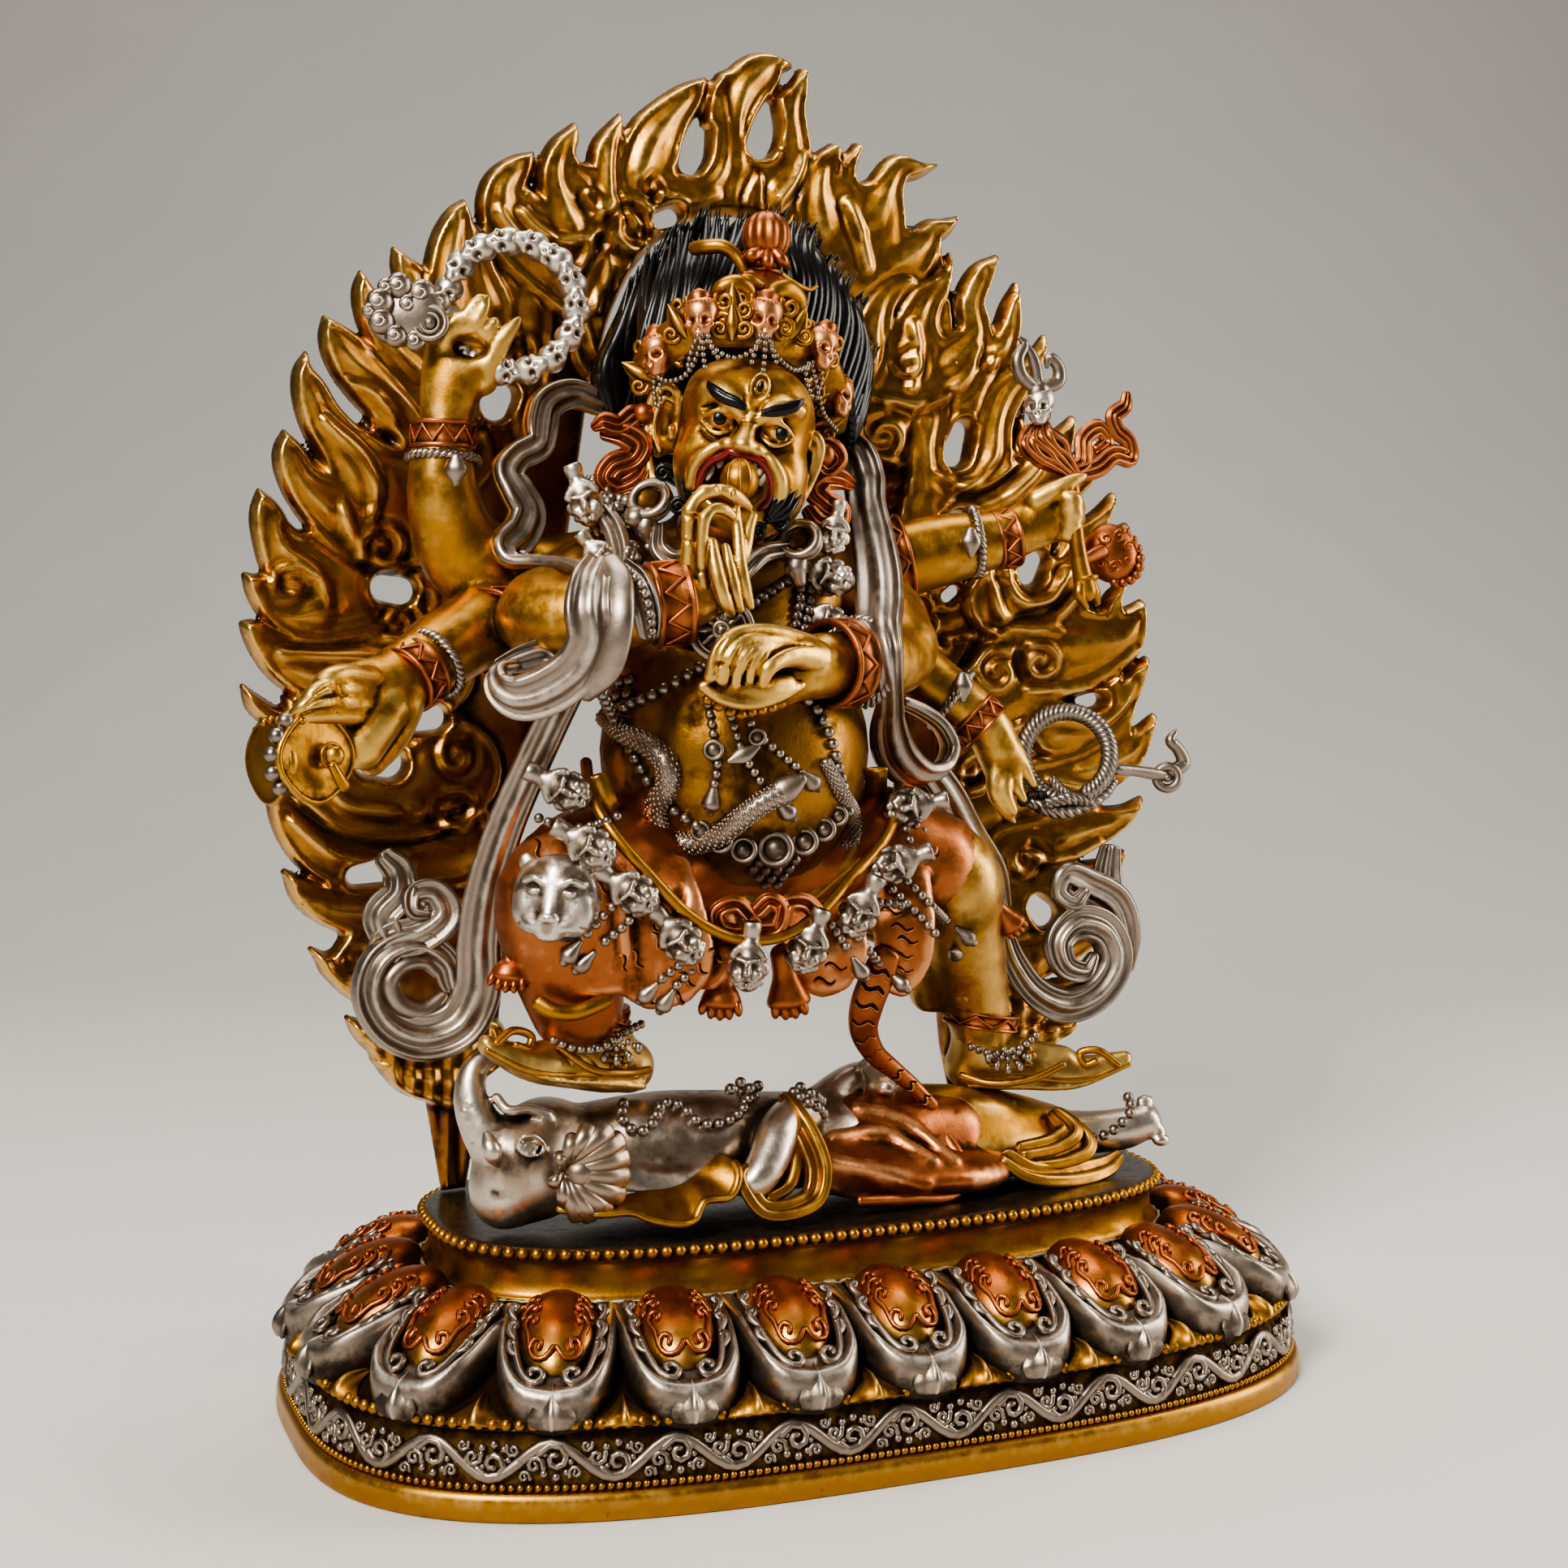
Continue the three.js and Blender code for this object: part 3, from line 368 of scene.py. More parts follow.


class Clay:
    """A field with its grid's low and high corners and step, in millimetres"""

    def __init__(self, low, high, voxel):
        self.low, self.voxel = np.asarray(low, float), voxel
        self.shape = tuple(np.ceil((np.asarray(high, float) - self.low) / voxel).astype(int) + 1)
        self.high = self.low + self.voxel * (np.array(self.shape) - 1)
        self.field = np.full(self.shape, FAR, np.float32)

    def window(self, low, high):
        first = np.clip(np.floor((low - self.low) / self.voxel).astype(int), 0, self.shape)
        last = np.clip(np.ceil((high - self.low) / self.voxel).astype(int) + 1, 0, self.shape)
        if np.any(last <= first):
            return None, None
        axes = [(self.low[axis] + self.voxel * np.arange(first[axis], last[axis])).astype(np.float32)
                for axis in range(3)]
        grid = (axes[0][:, None, None], axes[1][None, :, None], axes[2][None, None, :])
        return tuple(slice(a, b) for a, b in zip(first, last)), grid

    def blend_in(self, window, field, blend, cut):
        old = self.field[window]
        if cut:
            self.field[window] = -smooth_min(-old, field, blend)
        else:
            self.field[window] = smooth_min(old, field, blend)

    def lump(self, centre, radii, turn=(0, 0, 0), blend=1.0, cut=False):
        centre = np.asarray(centre, float)
        radii = np.broadcast_to(np.asarray(radii, float), (3,))
        matrix = np.array(Matrix.Rotation(math.radians(turn[2]), 3, "Z")
                          @ Matrix.Rotation(math.radians(turn[1]), 3, "Y")
                          @ Matrix.Rotation(math.radians(turn[0]), 3, "X"))
        half = np.sqrt((matrix ** 2) @ (radii ** 2)) + blend + 2 * self.voxel
        window, grid = self.window(centre - half, centre + half)
        if window is None:
            return self
        moved = [grid[axis] - np.float32(centre[axis]) for axis in range(3)]
        local = [sum(moved[row] * np.float32(matrix[row, axis]) for row in range(3)) for axis in range(3)]
        first = sum((local[axis] / np.float32(radii[axis])) ** 2 for axis in range(3))
        second = sum((local[axis] / np.float32(radii[axis] ** 2)) ** 2 for axis in range(3))
        first = np.sqrt(first)
        field = first * (first - 1) / np.maximum(np.sqrt(second), 1e-6)
        self.blend_in(window, field, blend, cut)
        return self

    def stroke(self, rows, blend=1.0, per=5, facing=None, cut=False, carried=False):
        """rows of x, y, z, radius, or of x, y, z, half-width, half-depth with a facing"""
        line = smooth_rows(rows, per)
        flat = line.shape[1] > 4
        reach = line[:, 3:].max() + blend + 2 * self.voxel
        window, _ = self.window(line[:, :3].min(0) - reach, line[:, :3].max(0) + reach)
        if window is None:
            return self
        field = np.full(tuple(s.stop - s.start for s in window), FAR, np.float32)
        if flat:
            _, sides, faces = frames_along(line[:, :3], np.asarray(facing, float), carried)
        for index in range(len(line) - 1):
            a, b = line[index], line[index + 1]
            near = max(a[3:].max(), b[3:].max()) + blend + 2 * self.voxel
            inner, local = self.window(np.minimum(a[:3], b[:3]) - near, np.maximum(a[:3], b[:3]) + near)
            if inner is None:
                continue
            run = b[:3] - a[:3]
            length = float(run @ run) + 1e-9
            moved = [local[axis] - np.float32(a[axis]) for axis in range(3)]
            share = np.clip(sum(moved[axis] * np.float32(run[axis] / length) for axis in range(3)), 0, 1)
            away = [moved[axis] - share * np.float32(run[axis]) for axis in range(3)]
            radius = np.float32(a[3]) + share * np.float32(b[3] - a[3])
            if flat:
                depth = np.float32(a[4]) + share * np.float32(b[4] - a[4])
                side = sum(away[axis] * np.float32(sides[index][axis]) for axis in range(3))
                face = sum(away[axis] * np.float32(faces[index][axis]) for axis in range(3))
                rest = sum(away[axis] ** 2 for axis in range(3)) - side ** 2 - face ** 2
                least = np.minimum(radius, depth)
                size = np.sqrt((side / radius) ** 2 + (face / depth) ** 2
                               + np.maximum(rest, 0) / least ** 2)
                slope = np.sqrt((side / radius ** 2) ** 2 + (face / depth ** 2) ** 2
                                + np.maximum(rest, 0) / least ** 4)
                distance = size * (size - 1) / np.maximum(slope, 1e-6)
                # near its middle the ellipse's own distance isn't reliable
                distance = np.where(size < 0.3, -0.7 * least, distance)
            else:
                distance = np.sqrt(sum(away[axis] ** 2 for axis in range(3))) - radius
            place = tuple(slice(i.start - w.start, i.stop - w.start) for i, w in zip(inner, window))
            np.minimum(field[place], distance, out=field[place])
        self.blend_in(window, field, blend, cut)
        return self

    def mesh(self, adaptivity=0.0, cavity=2.2, strength=1.0):
        """(points, faces, darkness, tint) of the surface. Its darkness comes from how hollow a place is,
        compared with its surroundings cavity millimetres wide: painted shade in hollows along with the dark
        wash, and brighter metal on edges."""
        grid = openvdb.FloatGrid(FAR)
        band = np.clip(self.field, -FAR, FAR)
        band = OWN_SHARE * band + (1 - OWN_SHARE) * box_blur(band, 1)
        grid.copyFromArray(band)
        points, triangles, quads = grid.convertToPolygons(isovalue=0.0, adaptivity=adaptivity)
        reach = max(1, int(round(cavity / self.voxel)))
        narrow = np.clip(band, -2 * cavity, 2 * cavity)
        soft = box_blur(box_blur(narrow, reach), reach)
        # Painted shade with the dark wash: the more hollow a place, the darker it is painted
        hollow = -sampled(soft, points) / cavity
        wash = np.clip(hollow * WASH_AND_SHADE_GAIN * strength, LEAST_WASH_AND_SHADE, 1.0)
        faces = [tuple(face) for face in triangles[:, ::-1].tolist()]
        faces += [tuple(face) for face in quads[:, ::-1].tolist()]
        points = points * self.voxel + self.low
        return points, faces, wash, np.zeros(len(points))


def smooth_min(a, b, blend):
    """The lesser of two fields, with the crease between them rounded over blend"""
    if blend <= 0:
        return np.minimum(a, b)
    overlap = np.maximum(blend - np.abs(a - b), 0) / np.float32(blend)
    return np.minimum(a, b) - overlap * overlap * np.float32(blend * 0.25)


def box_blur(field, reach):
    """The mean of a field over reach steps to either side, along every axis"""
    for axis in range(field.ndim):
        pad = [(0, 0)] * field.ndim
        pad[axis] = (reach + 1, reach)
        total = np.cumsum(np.pad(field, pad, mode="edge"), axis=axis, dtype=np.float32)
        width = 2 * reach + 1
        high = np.take(total, np.arange(width, total.shape[axis]), axis=axis)
        low = np.take(total, np.arange(0, total.shape[axis] - width), axis=axis)
        field = (high - low) / width
    return field


def sampled(field, points):
    """Values of a field at points given in its own steps, straight between neighbours."""
    points = np.asarray(points, float)
    limits = np.array(field.shape) - 1.001
    place = np.clip(points, 0, limits)
    base = place.astype(int)
    part = place - base
    total = np.zeros(len(points))
    for corner in np.ndindex(*(2,) * field.ndim):
        weight = np.prod([part[:, axis] if bit else 1 - part[:, axis]
                          for axis, bit in enumerate(corner)], axis=0)
        total += weight * field[tuple(base[:, axis] + bit for axis, bit in enumerate(corner))]
    return total


# The photograph's camera. It also places what is drawn from the photograph: rows named in pixels
# hold px, py and the depth y in millimetres at which the ray is met
FOCAL_PIXELS, PHOTO_PIXELS = 2699.0, 1932.0
CAMERA_AT = (-205.14, -485.85, 136.88)          # from the deck's height
CAMERA_AZIMUTH, CAMERA_ELEVATION, CAMERA_ROLL = -22.38, 4.25, 0.35
RAY_FROM, RAY_STEP, RAY_STEPS = 420, 0.4, 500   # where along a ray a surface is looked for
LARGEST_DROP = 12                # a draped line doesn't jump further than this in depth


def camera_axes():
    """Right, up and back of the camera; back points from the figure to the viewer"""
    azimuth = math.radians(CAMERA_AZIMUTH)
    elevation = math.radians(CAMERA_ELEVATION)
    roll = math.radians(CAMERA_ROLL)
    back = np.array([math.sin(azimuth) * math.cos(elevation), -math.cos(azimuth) * math.cos(elevation),
                     math.sin(elevation)])
    right = np.array([math.cos(azimuth), math.sin(azimuth), 0.0])
    up = np.cross(back, right)
    return (right * math.cos(roll) + up * math.sin(roll), up * math.cos(roll) - right * math.sin(roll),
            back)


ACROSS, UPRIGHT, BACK = camera_axes()
EYE = np.array(CAMERA_AT)


def ray_to(px, py):
    middle = PHOTO_PIXELS / 2
    return ACROSS * (px - middle) / FOCAL_PIXELS + UPRIGHT * (middle - py) / FOCAL_PIXELS - BACK


def seen(px, py, y):
    """The place at depth y that the photograph shows at a pixel"""
    ray = ray_to(px, py)
    return EYE + ray * (y - EYE[1]) / ray[1]


def seen_rows(rows):
    """Rows of px, py, y and any widths, as rows of x, y, z and the widths"""
    return [(*seen(*row[:3]), *row[3:]) for row in rows]


def met(clays, px, py, proud=0.0):
    """Where the ray of a pixel first meets a clay, or one of several, moved proud millimetres
    towards the camera"""
    ray = unit(ray_to(px, py))
    length = RAY_FROM + RAY_STEP * np.arange(RAY_STEPS)
    points = EYE + ray * length[:, None]
    hit = np.zeros(len(points), bool)
    for clay in clays if isinstance(clays, tuple) else (clays,):
        field = sampled(clay.field, (points - clay.low) / clay.voxel)
        hit |= (field < 0) & ~np.any((points < clay.low) | (points > clay.high), axis=1)
    inside = np.nonzero(hit)[0]
    if len(inside) == 0:
        return None
    return points[inside[0]] - ray * proud


def draped(clay, pixels, proud, default=-30.0):
    """Points over the clay's surface through a list of pixels"""
    rows = []
    last = default
    for px, py in pixels:
        point = met(clay, px, py, proud)
        if point is None or (rows and abs(point[1] - last) > LARGEST_DROP):
            point = seen(px, py, last)
        last = point[1]
        rows.append(point)
    return rows


# Materials: painted cast metal with a dark wash and painted shade in its hollows, brighter metal on its
# edges from wear and painted highlight, and casting grain.
# Noise scales are in repeats per metre, heights in metres.

CLOUD_SCALE, PATCH_SCALE, PIT_SCALE, SAND_SCALE = 55, 240, 620, 1500
BRUSH_SCALE, DUST_SCALE = 300, 900
FULL_STAIN_AND_SHADE_AT = 0.7              # the darkness at which the stain and painted shade are full
COAT_ROUGHNESS = 0.16
GRAIN_HEIGHT, BRUSH_HEIGHT = 0.0006, 0.0005
BRUSH_RELIEF = 0.05


def new_material(name):
    material = bpy.data.materials.new(name)
    material.use_nodes = True
    nodes, links = material.node_tree.nodes, material.node_tree.links
    return material, nodes, links, nodes["Principled BSDF"]


def noise_node(nodes, links, coordinates, scale, detail, roughness):
    node = nodes.new("ShaderNodeTexNoise")
    node.inputs["Scale"].default_value = scale
    node.inputs["Detail"].default_value = detail
    node.inputs["Roughness"].default_value = roughness
    links.new(coordinates, node.inputs["Vector"])
    return node.outputs["Fac"]


def ranged(nodes, links, value, low, high, to_low=0.0, to_high=1.0):
    node = nodes.new("ShaderNodeMapRange")
    node.interpolation_type = "SMOOTHSTEP"
    limits = (low, high, to_low, to_high)
    for socket, amount in zip(("From Min", "From Max", "To Min", "To Max"), limits):
        node.inputs[socket].default_value = amount
    links.new(value, node.inputs["Value"])
    return node.outputs["Result"]


def mixed(nodes, links, share, first, second):
    node = nodes.new("ShaderNodeMix")
    node.data_type = "RGBA"
    for socket, value in (("Factor", share), ("A", first), ("B", second)):
        target = next(s for s in node.inputs if s.name == socket and s.enabled)
        if isinstance(value, bpy.types.NodeSocket):
            links.new(value, target)
        elif socket == "Factor":
            target.default_value = value
        else:
            target.default_value = (*value, 1.0)
    return next(s for s in node.outputs if s.enabled)


def calculated(nodes, links, operation, first, second):
    node = nodes.new("ShaderNodeMath")
    node.operation = operation
    for index, value in enumerate((first, second)):
        if isinstance(value, bpy.types.NodeSocket):
            links.new(value, node.inputs[index])
        else:
            node.inputs[index].default_value = value
    return node.outputs[0]


def attribute_of(nodes, name):
    node = nodes.new("ShaderNodeAttribute")
    node.attribute_type = "GEOMETRY"
    node.attribute_name = name
    return node.outputs["Fac"]


def cast_metal(name, colour, second, stain_and_shade, bright, roughness=(0.3, 0.46), grain=0.10, coat=0.0,
               stain_and_shade_from=0.06, speck=0.35, murk=0.12):
    """colour and second are the paint's two tones, the third tone the dark wash together with painted shade
    in hollows, bright the brighter metal of edges, worn and painted as highlight. grain is the relief of
    the casting, coat the varnish, speck how dark the pits are and murk how much of the wash lies on open
    places."""
    material, nodes, links, shader = new_material(name)
    place = nodes.new("ShaderNodeTexCoord").outputs["Object"]
    wash = attribute_of(nodes, "wash")
    tint = attribute_of(nodes, "tint")
    cloud = noise_node(nodes, links, place, CLOUD_SCALE, 5, 0.6)
    patch = noise_node(nodes, links, place, PATCH_SCALE, 5, 0.65)
    sand = noise_node(nodes, links, place, SAND_SCALE, 3, 0.7)
    # The paint's own colour, uneven from spot to spot
    tinted = calculated(nodes, links, "ADD", tint,
                        ranged(nodes, links, cloud, 0.35, 0.7, -0.12, 0.16))
    base = mixed(nodes, links, ranged(nodes, links, tinted, 0.0, 1.0), colour, second)
    base = mixed(nodes, links, ranged(nodes, links, patch, 0.38, 0.72, 0.0, 0.28), base,
                 tuple(channel * 0.55 for channel in colour))
    # Edges and ridges show brighter metal: wear together with painted highlight
    worn_and_highlit = calculated(nodes, links, "ADD", calculated(nodes, links, "MULTIPLY", wash, -1.0),
                      ranged(nodes, links, patch, 0.3, 0.7, -0.08, 0.08))
    base = mixed(nodes, links, ranged(nodes, links, worn_and_highlit, 0.08, 0.42, 0.0, 0.65), base, bright)
    # Dark stain and painted shade lie in the hollows, with a ragged edge
    ragged = calculated(nodes, links, "ADD", wash, ranged(nodes, links, patch, 0.3, 0.75, -0.14, 0.16))
    # A thin film of it darkens whole areas too
    ragged = calculated(nodes, links, "ADD", ragged, ranged(nodes, links, cloud, 0.38, 0.68, 0.0, murk))
    stained_and_shaded = ranged(nodes, links, ragged, stain_and_shade_from, FULL_STAIN_AND_SHADE_AT, 0.0, 0.94)
    holes = noise_node(nodes, links, place, PIT_SCALE, 2, 0.5)
    pits = ranged(nodes, links, holes, 0.70, 0.78, 0.0, speck)
    base = mixed(nodes, links, calculated(nodes, links, "MAXIMUM", stained_and_shaded, pits), base, stain_and_shade)
    links.new(base, shader.inputs["Base Color"])
    shader.inputs["Metallic"].default_value = 1.0
    rough = ranged(nodes, links, patch, 0.3, 0.7, *roughness)
    rough = calculated(nodes, links, "ADD", rough, ranged(nodes, links, stained_and_shaded, 0.0, 1.0, 0.0, 0.22))
    links.new(rough, shader.inputs["Roughness"])
    shader.inputs["Coat Weight"].default_value = coat
    shader.inputs["Coat Roughness"].default_value = COAT_ROUGHNESS
    height = calculated(nodes, links, "ADD", calculated(nodes, links, "MULTIPLY", sand, 0.35),
                        calculated(nodes, links, "MULTIPLY", patch, 0.65))
    bump = nodes.new("ShaderNodeBump")
    bump.inputs["Strength"].default_value = grain
    bump.inputs["Distance"].default_value = GRAIN_HEIGHT
    links.new(height, bump.inputs["Height"])
    links.new(bump.outputs["Normal"], shader.inputs["Normal"])
    return material


def lacquer(name, colour, roughness, second=None, shine=0.5):
    """Glossy paint, a little uneven from the brush, with dust in spots and painted shade darkening the
    hollows
    """
    material, nodes, links, shader = new_material(name)
    place = nodes.new("ShaderNodeTexCoord").outputs["Object"]
    wash = attribute_of(nodes, "wash")
    patch = noise_node(nodes, links, place, BRUSH_SCALE, 5, 0.6)
    specks = noise_node(nodes, links, place, DUST_SCALE, 6, 0.8)
    dust = ranged(nodes, links, specks, 0.6, 0.85, 0.0, 0.25)
    other = second or tuple(channel * 0.5 for channel in colour)
    base = mixed(nodes, links, ranged(nodes, links, patch, 0.3, 0.7), colour, other)
    base = mixed(nodes, links, dust, base, tuple(0.6 * channel + 0.03 for channel in colour))
    # Painted shade: darker in the hollows
    base = mixed(nodes, links, ranged(nodes, links, wash, 0.2, 0.9, 0.0, 0.8), base,
                 tuple(channel * 0.25 for channel in colour))
    links.new(base, shader.inputs["Base Color"])
    shader.inputs["Metallic"].default_value = 0.0
    shader.inputs["Specular IOR Level"].default_value = shine
    uneven = ranged(nodes, links, patch, 0.3, 0.75, roughness, roughness + 0.14)
    links.new(calculated(nodes, links, "ADD", uneven, dust), shader.inputs["Roughness"])
    bump = nodes.new("ShaderNodeBump")
    bump.inputs["Strength"].default_value = BRUSH_RELIEF
    bump.inputs["Distance"].default_value = BRUSH_HEIGHT
    links.new(patch, bump.inputs["Height"])
    links.new(bump.outputs["Normal"], shader.inputs["Normal"])
    return material


UMBER = (0.020, 0.010, 0.004)
GOLD = cast_metal("gold", (0.38, 0.180, 0.024), (0.21, 0.074, 0.009), UMBER, (0.80, 0.52, 0.16),
                  roughness=(0.31, 0.46), grain=0.15)
SKIN = cast_metal("skin_gold", (0.31, 0.148, 0.024), (0.16, 0.062, 0.011), (0.028, 0.014, 0.006),
                  (0.72, 0.46, 0.15), roughness=(0.32, 0.46), grain=0.24, stain_and_shade_from=0.0,
                  murk=0.52, speck=0.7)
FLAME_GOLD = cast_metal("flame_gold", (0.38, 0.170, 0.021), (0.18, 0.044, 0.005), UMBER,
                        (0.80, 0.50, 0.15), roughness=(0.27, 0.40), coat=0.3, murk=0.24)
OLD_GOLD = cast_metal("old_gold", (0.28, 0.138, 0.022), (0.14, 0.054, 0.010), UMBER,
                      (0.66, 0.45, 0.16), roughness=(0.34, 0.5))
GROUND_BRONZE = cast_metal("ground_bronze", (0.19, 0.105, 0.028), (0.12, 0.055, 0.012), UMBER,
                           (0.5, 0.33, 0.11), roughness=(0.4, 0.6), grain=0.3)
SILVER = cast_metal("silver", (0.31, 0.250, 0.200), (0.18, 0.116, 0.072), (0.024, 0.015, 0.009),
                    (0.76, 0.69, 0.60), roughness=(0.30, 0.45), grain=0.15, murk=0.2)
PEWTER = cast_metal("pewter", (0.27, 0.225, 0.185), (0.18, 0.120, 0.080), (0.022, 0.014, 0.010),
                    (0.62, 0.56, 0.50), roughness=(0.29, 0.43), murk=0.2)
ASH_SILVER = cast_metal("ash_silver", (0.36, 0.275, 0.205), (0.20, 0.120, 0.070), (0.024, 0.013, 0.007),
                        (0.74, 0.66, 0.56), roughness=(0.28, 0.42), grain=0.16, stain_and_shade_from=0.02,
                        murk=0.38)
COPPER = cast_metal("copper", (0.35, 0.112, 0.038), (0.19, 0.056, 0.018), UMBER,
                    (0.74, 0.36, 0.16), roughness=(0.32, 0.47), grain=0.18)
PETAL_COPPER = cast_metal("petal_copper", (0.42, 0.115, 0.026), (0.50, 0.27, 0.06), UMBER,
                          (0.78, 0.42, 0.16), roughness=(0.27, 0.42), grain=0.16)
BLACK = lacquer("black_lacquer", (0.006, 0.005, 0.0045), roughness=0.2, shine=0.3)
DECK_BLACK = lacquer("deck_black", (0.010, 0.008, 0.006), roughness=0.2, second=(0.018, 0.011, 0.006))
RED = lacquer("lip_red", (0.17, 0.010, 0.008), roughness=0.2)
IVORY = lacquer("ivory", (0.62, 0.56, 0.44), roughness=0.25)
SEAM = cast_metal("seam_paste", (0.52, 0.42, 0.26), (0.40, 0.30, 0.17), (0.10, 0.06, 0.03),
                  (0.7, 0.62, 0.45), roughness=(0.5, 0.7), grain=0.4)


# Plinth: rings of a squared oval plan, from the floor up. Its heights are from the floor.

BASE_HALF, DECK_HALF = (124.5, 75.0), (91.5, 42.0)
SQUARENESS = 3.0
RIM_TOP, LOTUS_FOOT, WAIST_FOOT = 6.0, 20.8, 35.3
RING_POINTS = 300                # round each band of the plinth
PETALS = 22
PETAL_WIDTH = 26.4               # of the petal as drawn; it is scaled to the room round the plinth
SLOPE_RUN = 31.0                 # horizontal length of the slope that the petals lie on
FRIEZE_LEAN = 0.16               # how far the frieze leans in, per millimetre of height
CURL_PROUD = 0.35                # of the copper curls over a petal's dome
SEAM_POINTS, SEAM_RUN = 420, 42  # round the glued seam, and in each piece of it


def plan_ring(spread, count, turn=0.0):
    """count points evenly along the oval, with their outward directions. spread 0 is the base's
    edge, 1 the deck's; turn is in steps between points, counted from the +X end."""
    angle = np.linspace(0, 2 * math.pi, 2880, endpoint=False)
    half = [BASE_HALF[axis] + (DECK_HALF[axis] - BASE_HALF[axis]) * spread for axis in range(2)]
    bend = 2 / SQUARENESS
    points = np.stack([half[0] * np.sign(np.cos(angle)) * np.abs(np.cos(angle)) ** bend,
                       half[1] * np.sign(np.sin(angle)) * np.abs(np.sin(angle)) ** bend], 1)
    closed = np.vstack([points, points[:1]])
    lengths = np.r_[0, np.cumsum(np.linalg.norm(np.diff(closed, axis=0), axis=1))]
    wanted = ((np.arange(count) + turn) / count * lengths[-1]) % lengths[-1]
    place = np.stack([np.interp(wanted, lengths, closed[:, axis]) for axis in range(2)], 1)
    ahead = np.stack([np.interp((wanted + 0.6) % lengths[-1], lengths, closed[:, axis])
                      for axis in range(2)], 1)
    behind = np.stack([np.interp((wanted - 0.6) % lengths[-1], lengths, closed[:, axis])
                       for axis in range(2)], 1)
    along = units(ahead - behind)
    return place, np.stack([along[:, 1], -along[:, 0]], 1), lengths[-1]


def plinth_band(profile):
    """A closed-round surface from rows of (spread, height, darkness); the darkness is wash and painted
    shade
    """
    verts, stain_and_shade = [], []
    for spread, height, dark in profile:
        place, _, _ = plan_ring(spread, RING_POINTS)
        verts.append(np.hstack([place, np.full((RING_POINTS, 1), height)]))
        stain_and_shade.append(np.full(RING_POINTS, dark))
    faces = [tuple(face) for face in ring_faces(len(profile), RING_POINTS)]
    return np.vstack(verts), faces, np.concatenate(stain_and_shade), np.zeros(RING_POINTS * len(profile))


def cap(spread, height, upward):
    """A flat end of the plinth: triangles about its middle"""
    count = RING_POINTS
    place, _, _ = plan_ring(spread, count)
    verts = np.vstack([np.hstack([place, np.full((count, 1), height)]), [[0, 0, height]]])
    faces = [(index, (index + 1) % count, count) if upward else ((index + 1) % count, index, count)
             for index in range(count)]
    return verts, faces, np.zeros(count + 1), np.zeros(count + 1)


def curve_rows(points):
    """Rounded steps between profile rows of (spread, height, darkness)"""
    rows = smooth_rows([(a, 0.0, b / 100, c) for a, b, c in points], 4)
    return [(row[0], row[2] * 100, row[3]) for row in rows]


def on_band(place, outward, height, out, lean=0.0):
    """A point on the frieze: out millimetres proud of it"""
    return np.array([*(place + outward * (out - lean)), height])


def plinth_vine():
    """A wavy stem round the frieze with curling leaves in each half-wave, silver on dark gold"""
    meshes = []
    waves, per_wave = 26, 12
    count = waves * per_wave
    place, outward, _ = plan_ring(0.075, count)
    middle, swing = 12.3, 3.5
    phase = 2 * math.pi * np.arange(count) / per_wave
    lean = (np.sin(phase) * swing + middle - RIM_TOP) * FRIEZE_LEAN
    stem = [on_band(place[i], outward[i], middle + swing * math.sin(phase[i]), 1.25, lean[i])
            for i in range(count)]
    # In runs of overlapping arcs, so that the stem can be one thickness all round
    for start in range(0, count, per_wave):
        run = [stem[(start + step) % count] for step in range(per_wave + 1)]
        out = np.append(outward[start], 0)
        meshes.append(loft([(*p, 1.3, 0.95) for p in run], per=1, facing=out, sides=6))
    for half in range(2 * waves):
        index = int((half + 0.5) * per_wave / 2) % count
        along = np.array([-outward[index][1], outward[index][0], 0])
        out = np.append(outward[index], 0)
        flip = -1 if half % 2 == 0 else 1
        base = on_band(place[index], outward[index], middle, 1.0, (middle - RIM_TOP) * FRIEZE_LEAN)

        def spot(across, up, proud=0.0):
            return base + along * across + UP * up - out * (FRIEZE_LEAN * up - proud)

        for turn_way, radius, at, start, thick in ((1, 3.3, (0.7, -0.6), 200, 1.0),
                                                   (-1, 1.9, (-3.5, 0.7), 20, 0.72),
                                                   (1, 1.5, (4.9, 2.3), 150, 0.55),
                                                   (-1, 1.3, (-5.6, 3.0), 20, 0.5)):
            curl = []
            for step in range(10):
                share = step / 9
                angle = math.radians(start + turn_way * 430 * share)
                reach = radius * (1 - 0.8 * share)
                curl.append((*spot(at[0] + reach * math.cos(angle),
                                   flip * (at[1] + reach * math.sin(angle)), 0.3),
                             thick * (1 - 0.3 * share), thick))
            meshes.append(loft(curl, per=1, facing=out, sides=5))
        for across, up, radius in ((-1.6, 2.5, 0.95), (0.9, 3.2, 1.0), (3.0, 2.3, 0.85), (3.9, 0.2, 0.75),
                                   (-1.4, -1.3, 0.7)):
            meshes.append(spheres([spot(across, flip * up, 0.15)], [radius], 7, 5))
    return meshes


def lip_section():
    """A section with one ridge over two hollow flanks, as rows of across, height and darkness: painted
    shade and wash in the flanks, painted highlight on the ridge
    """
    return np.array([(-1.0, -1.0, 0.6), (-1.0, -0.2, 0.3), (-0.5, -0.28, 0.35), (-0.16, 0.55, -0.05),
                     (0.0, 1.0, -0.35), (0.16, 0.55, -0.05), (0.5, -0.28, 0.35), (1.0, -0.2, 0.3),
                     (1.0, -1.0, 0.6), (0.0, -1.2, 0.6)])[::-1]


DOME_CENTRE, DOME_RADII = (0, -5.2, 2.0), (9.6, 14.0, 7.4)
PETAL_START, PETAL_TIP = -17.5, 17.5       # along the slope from the petal's middle


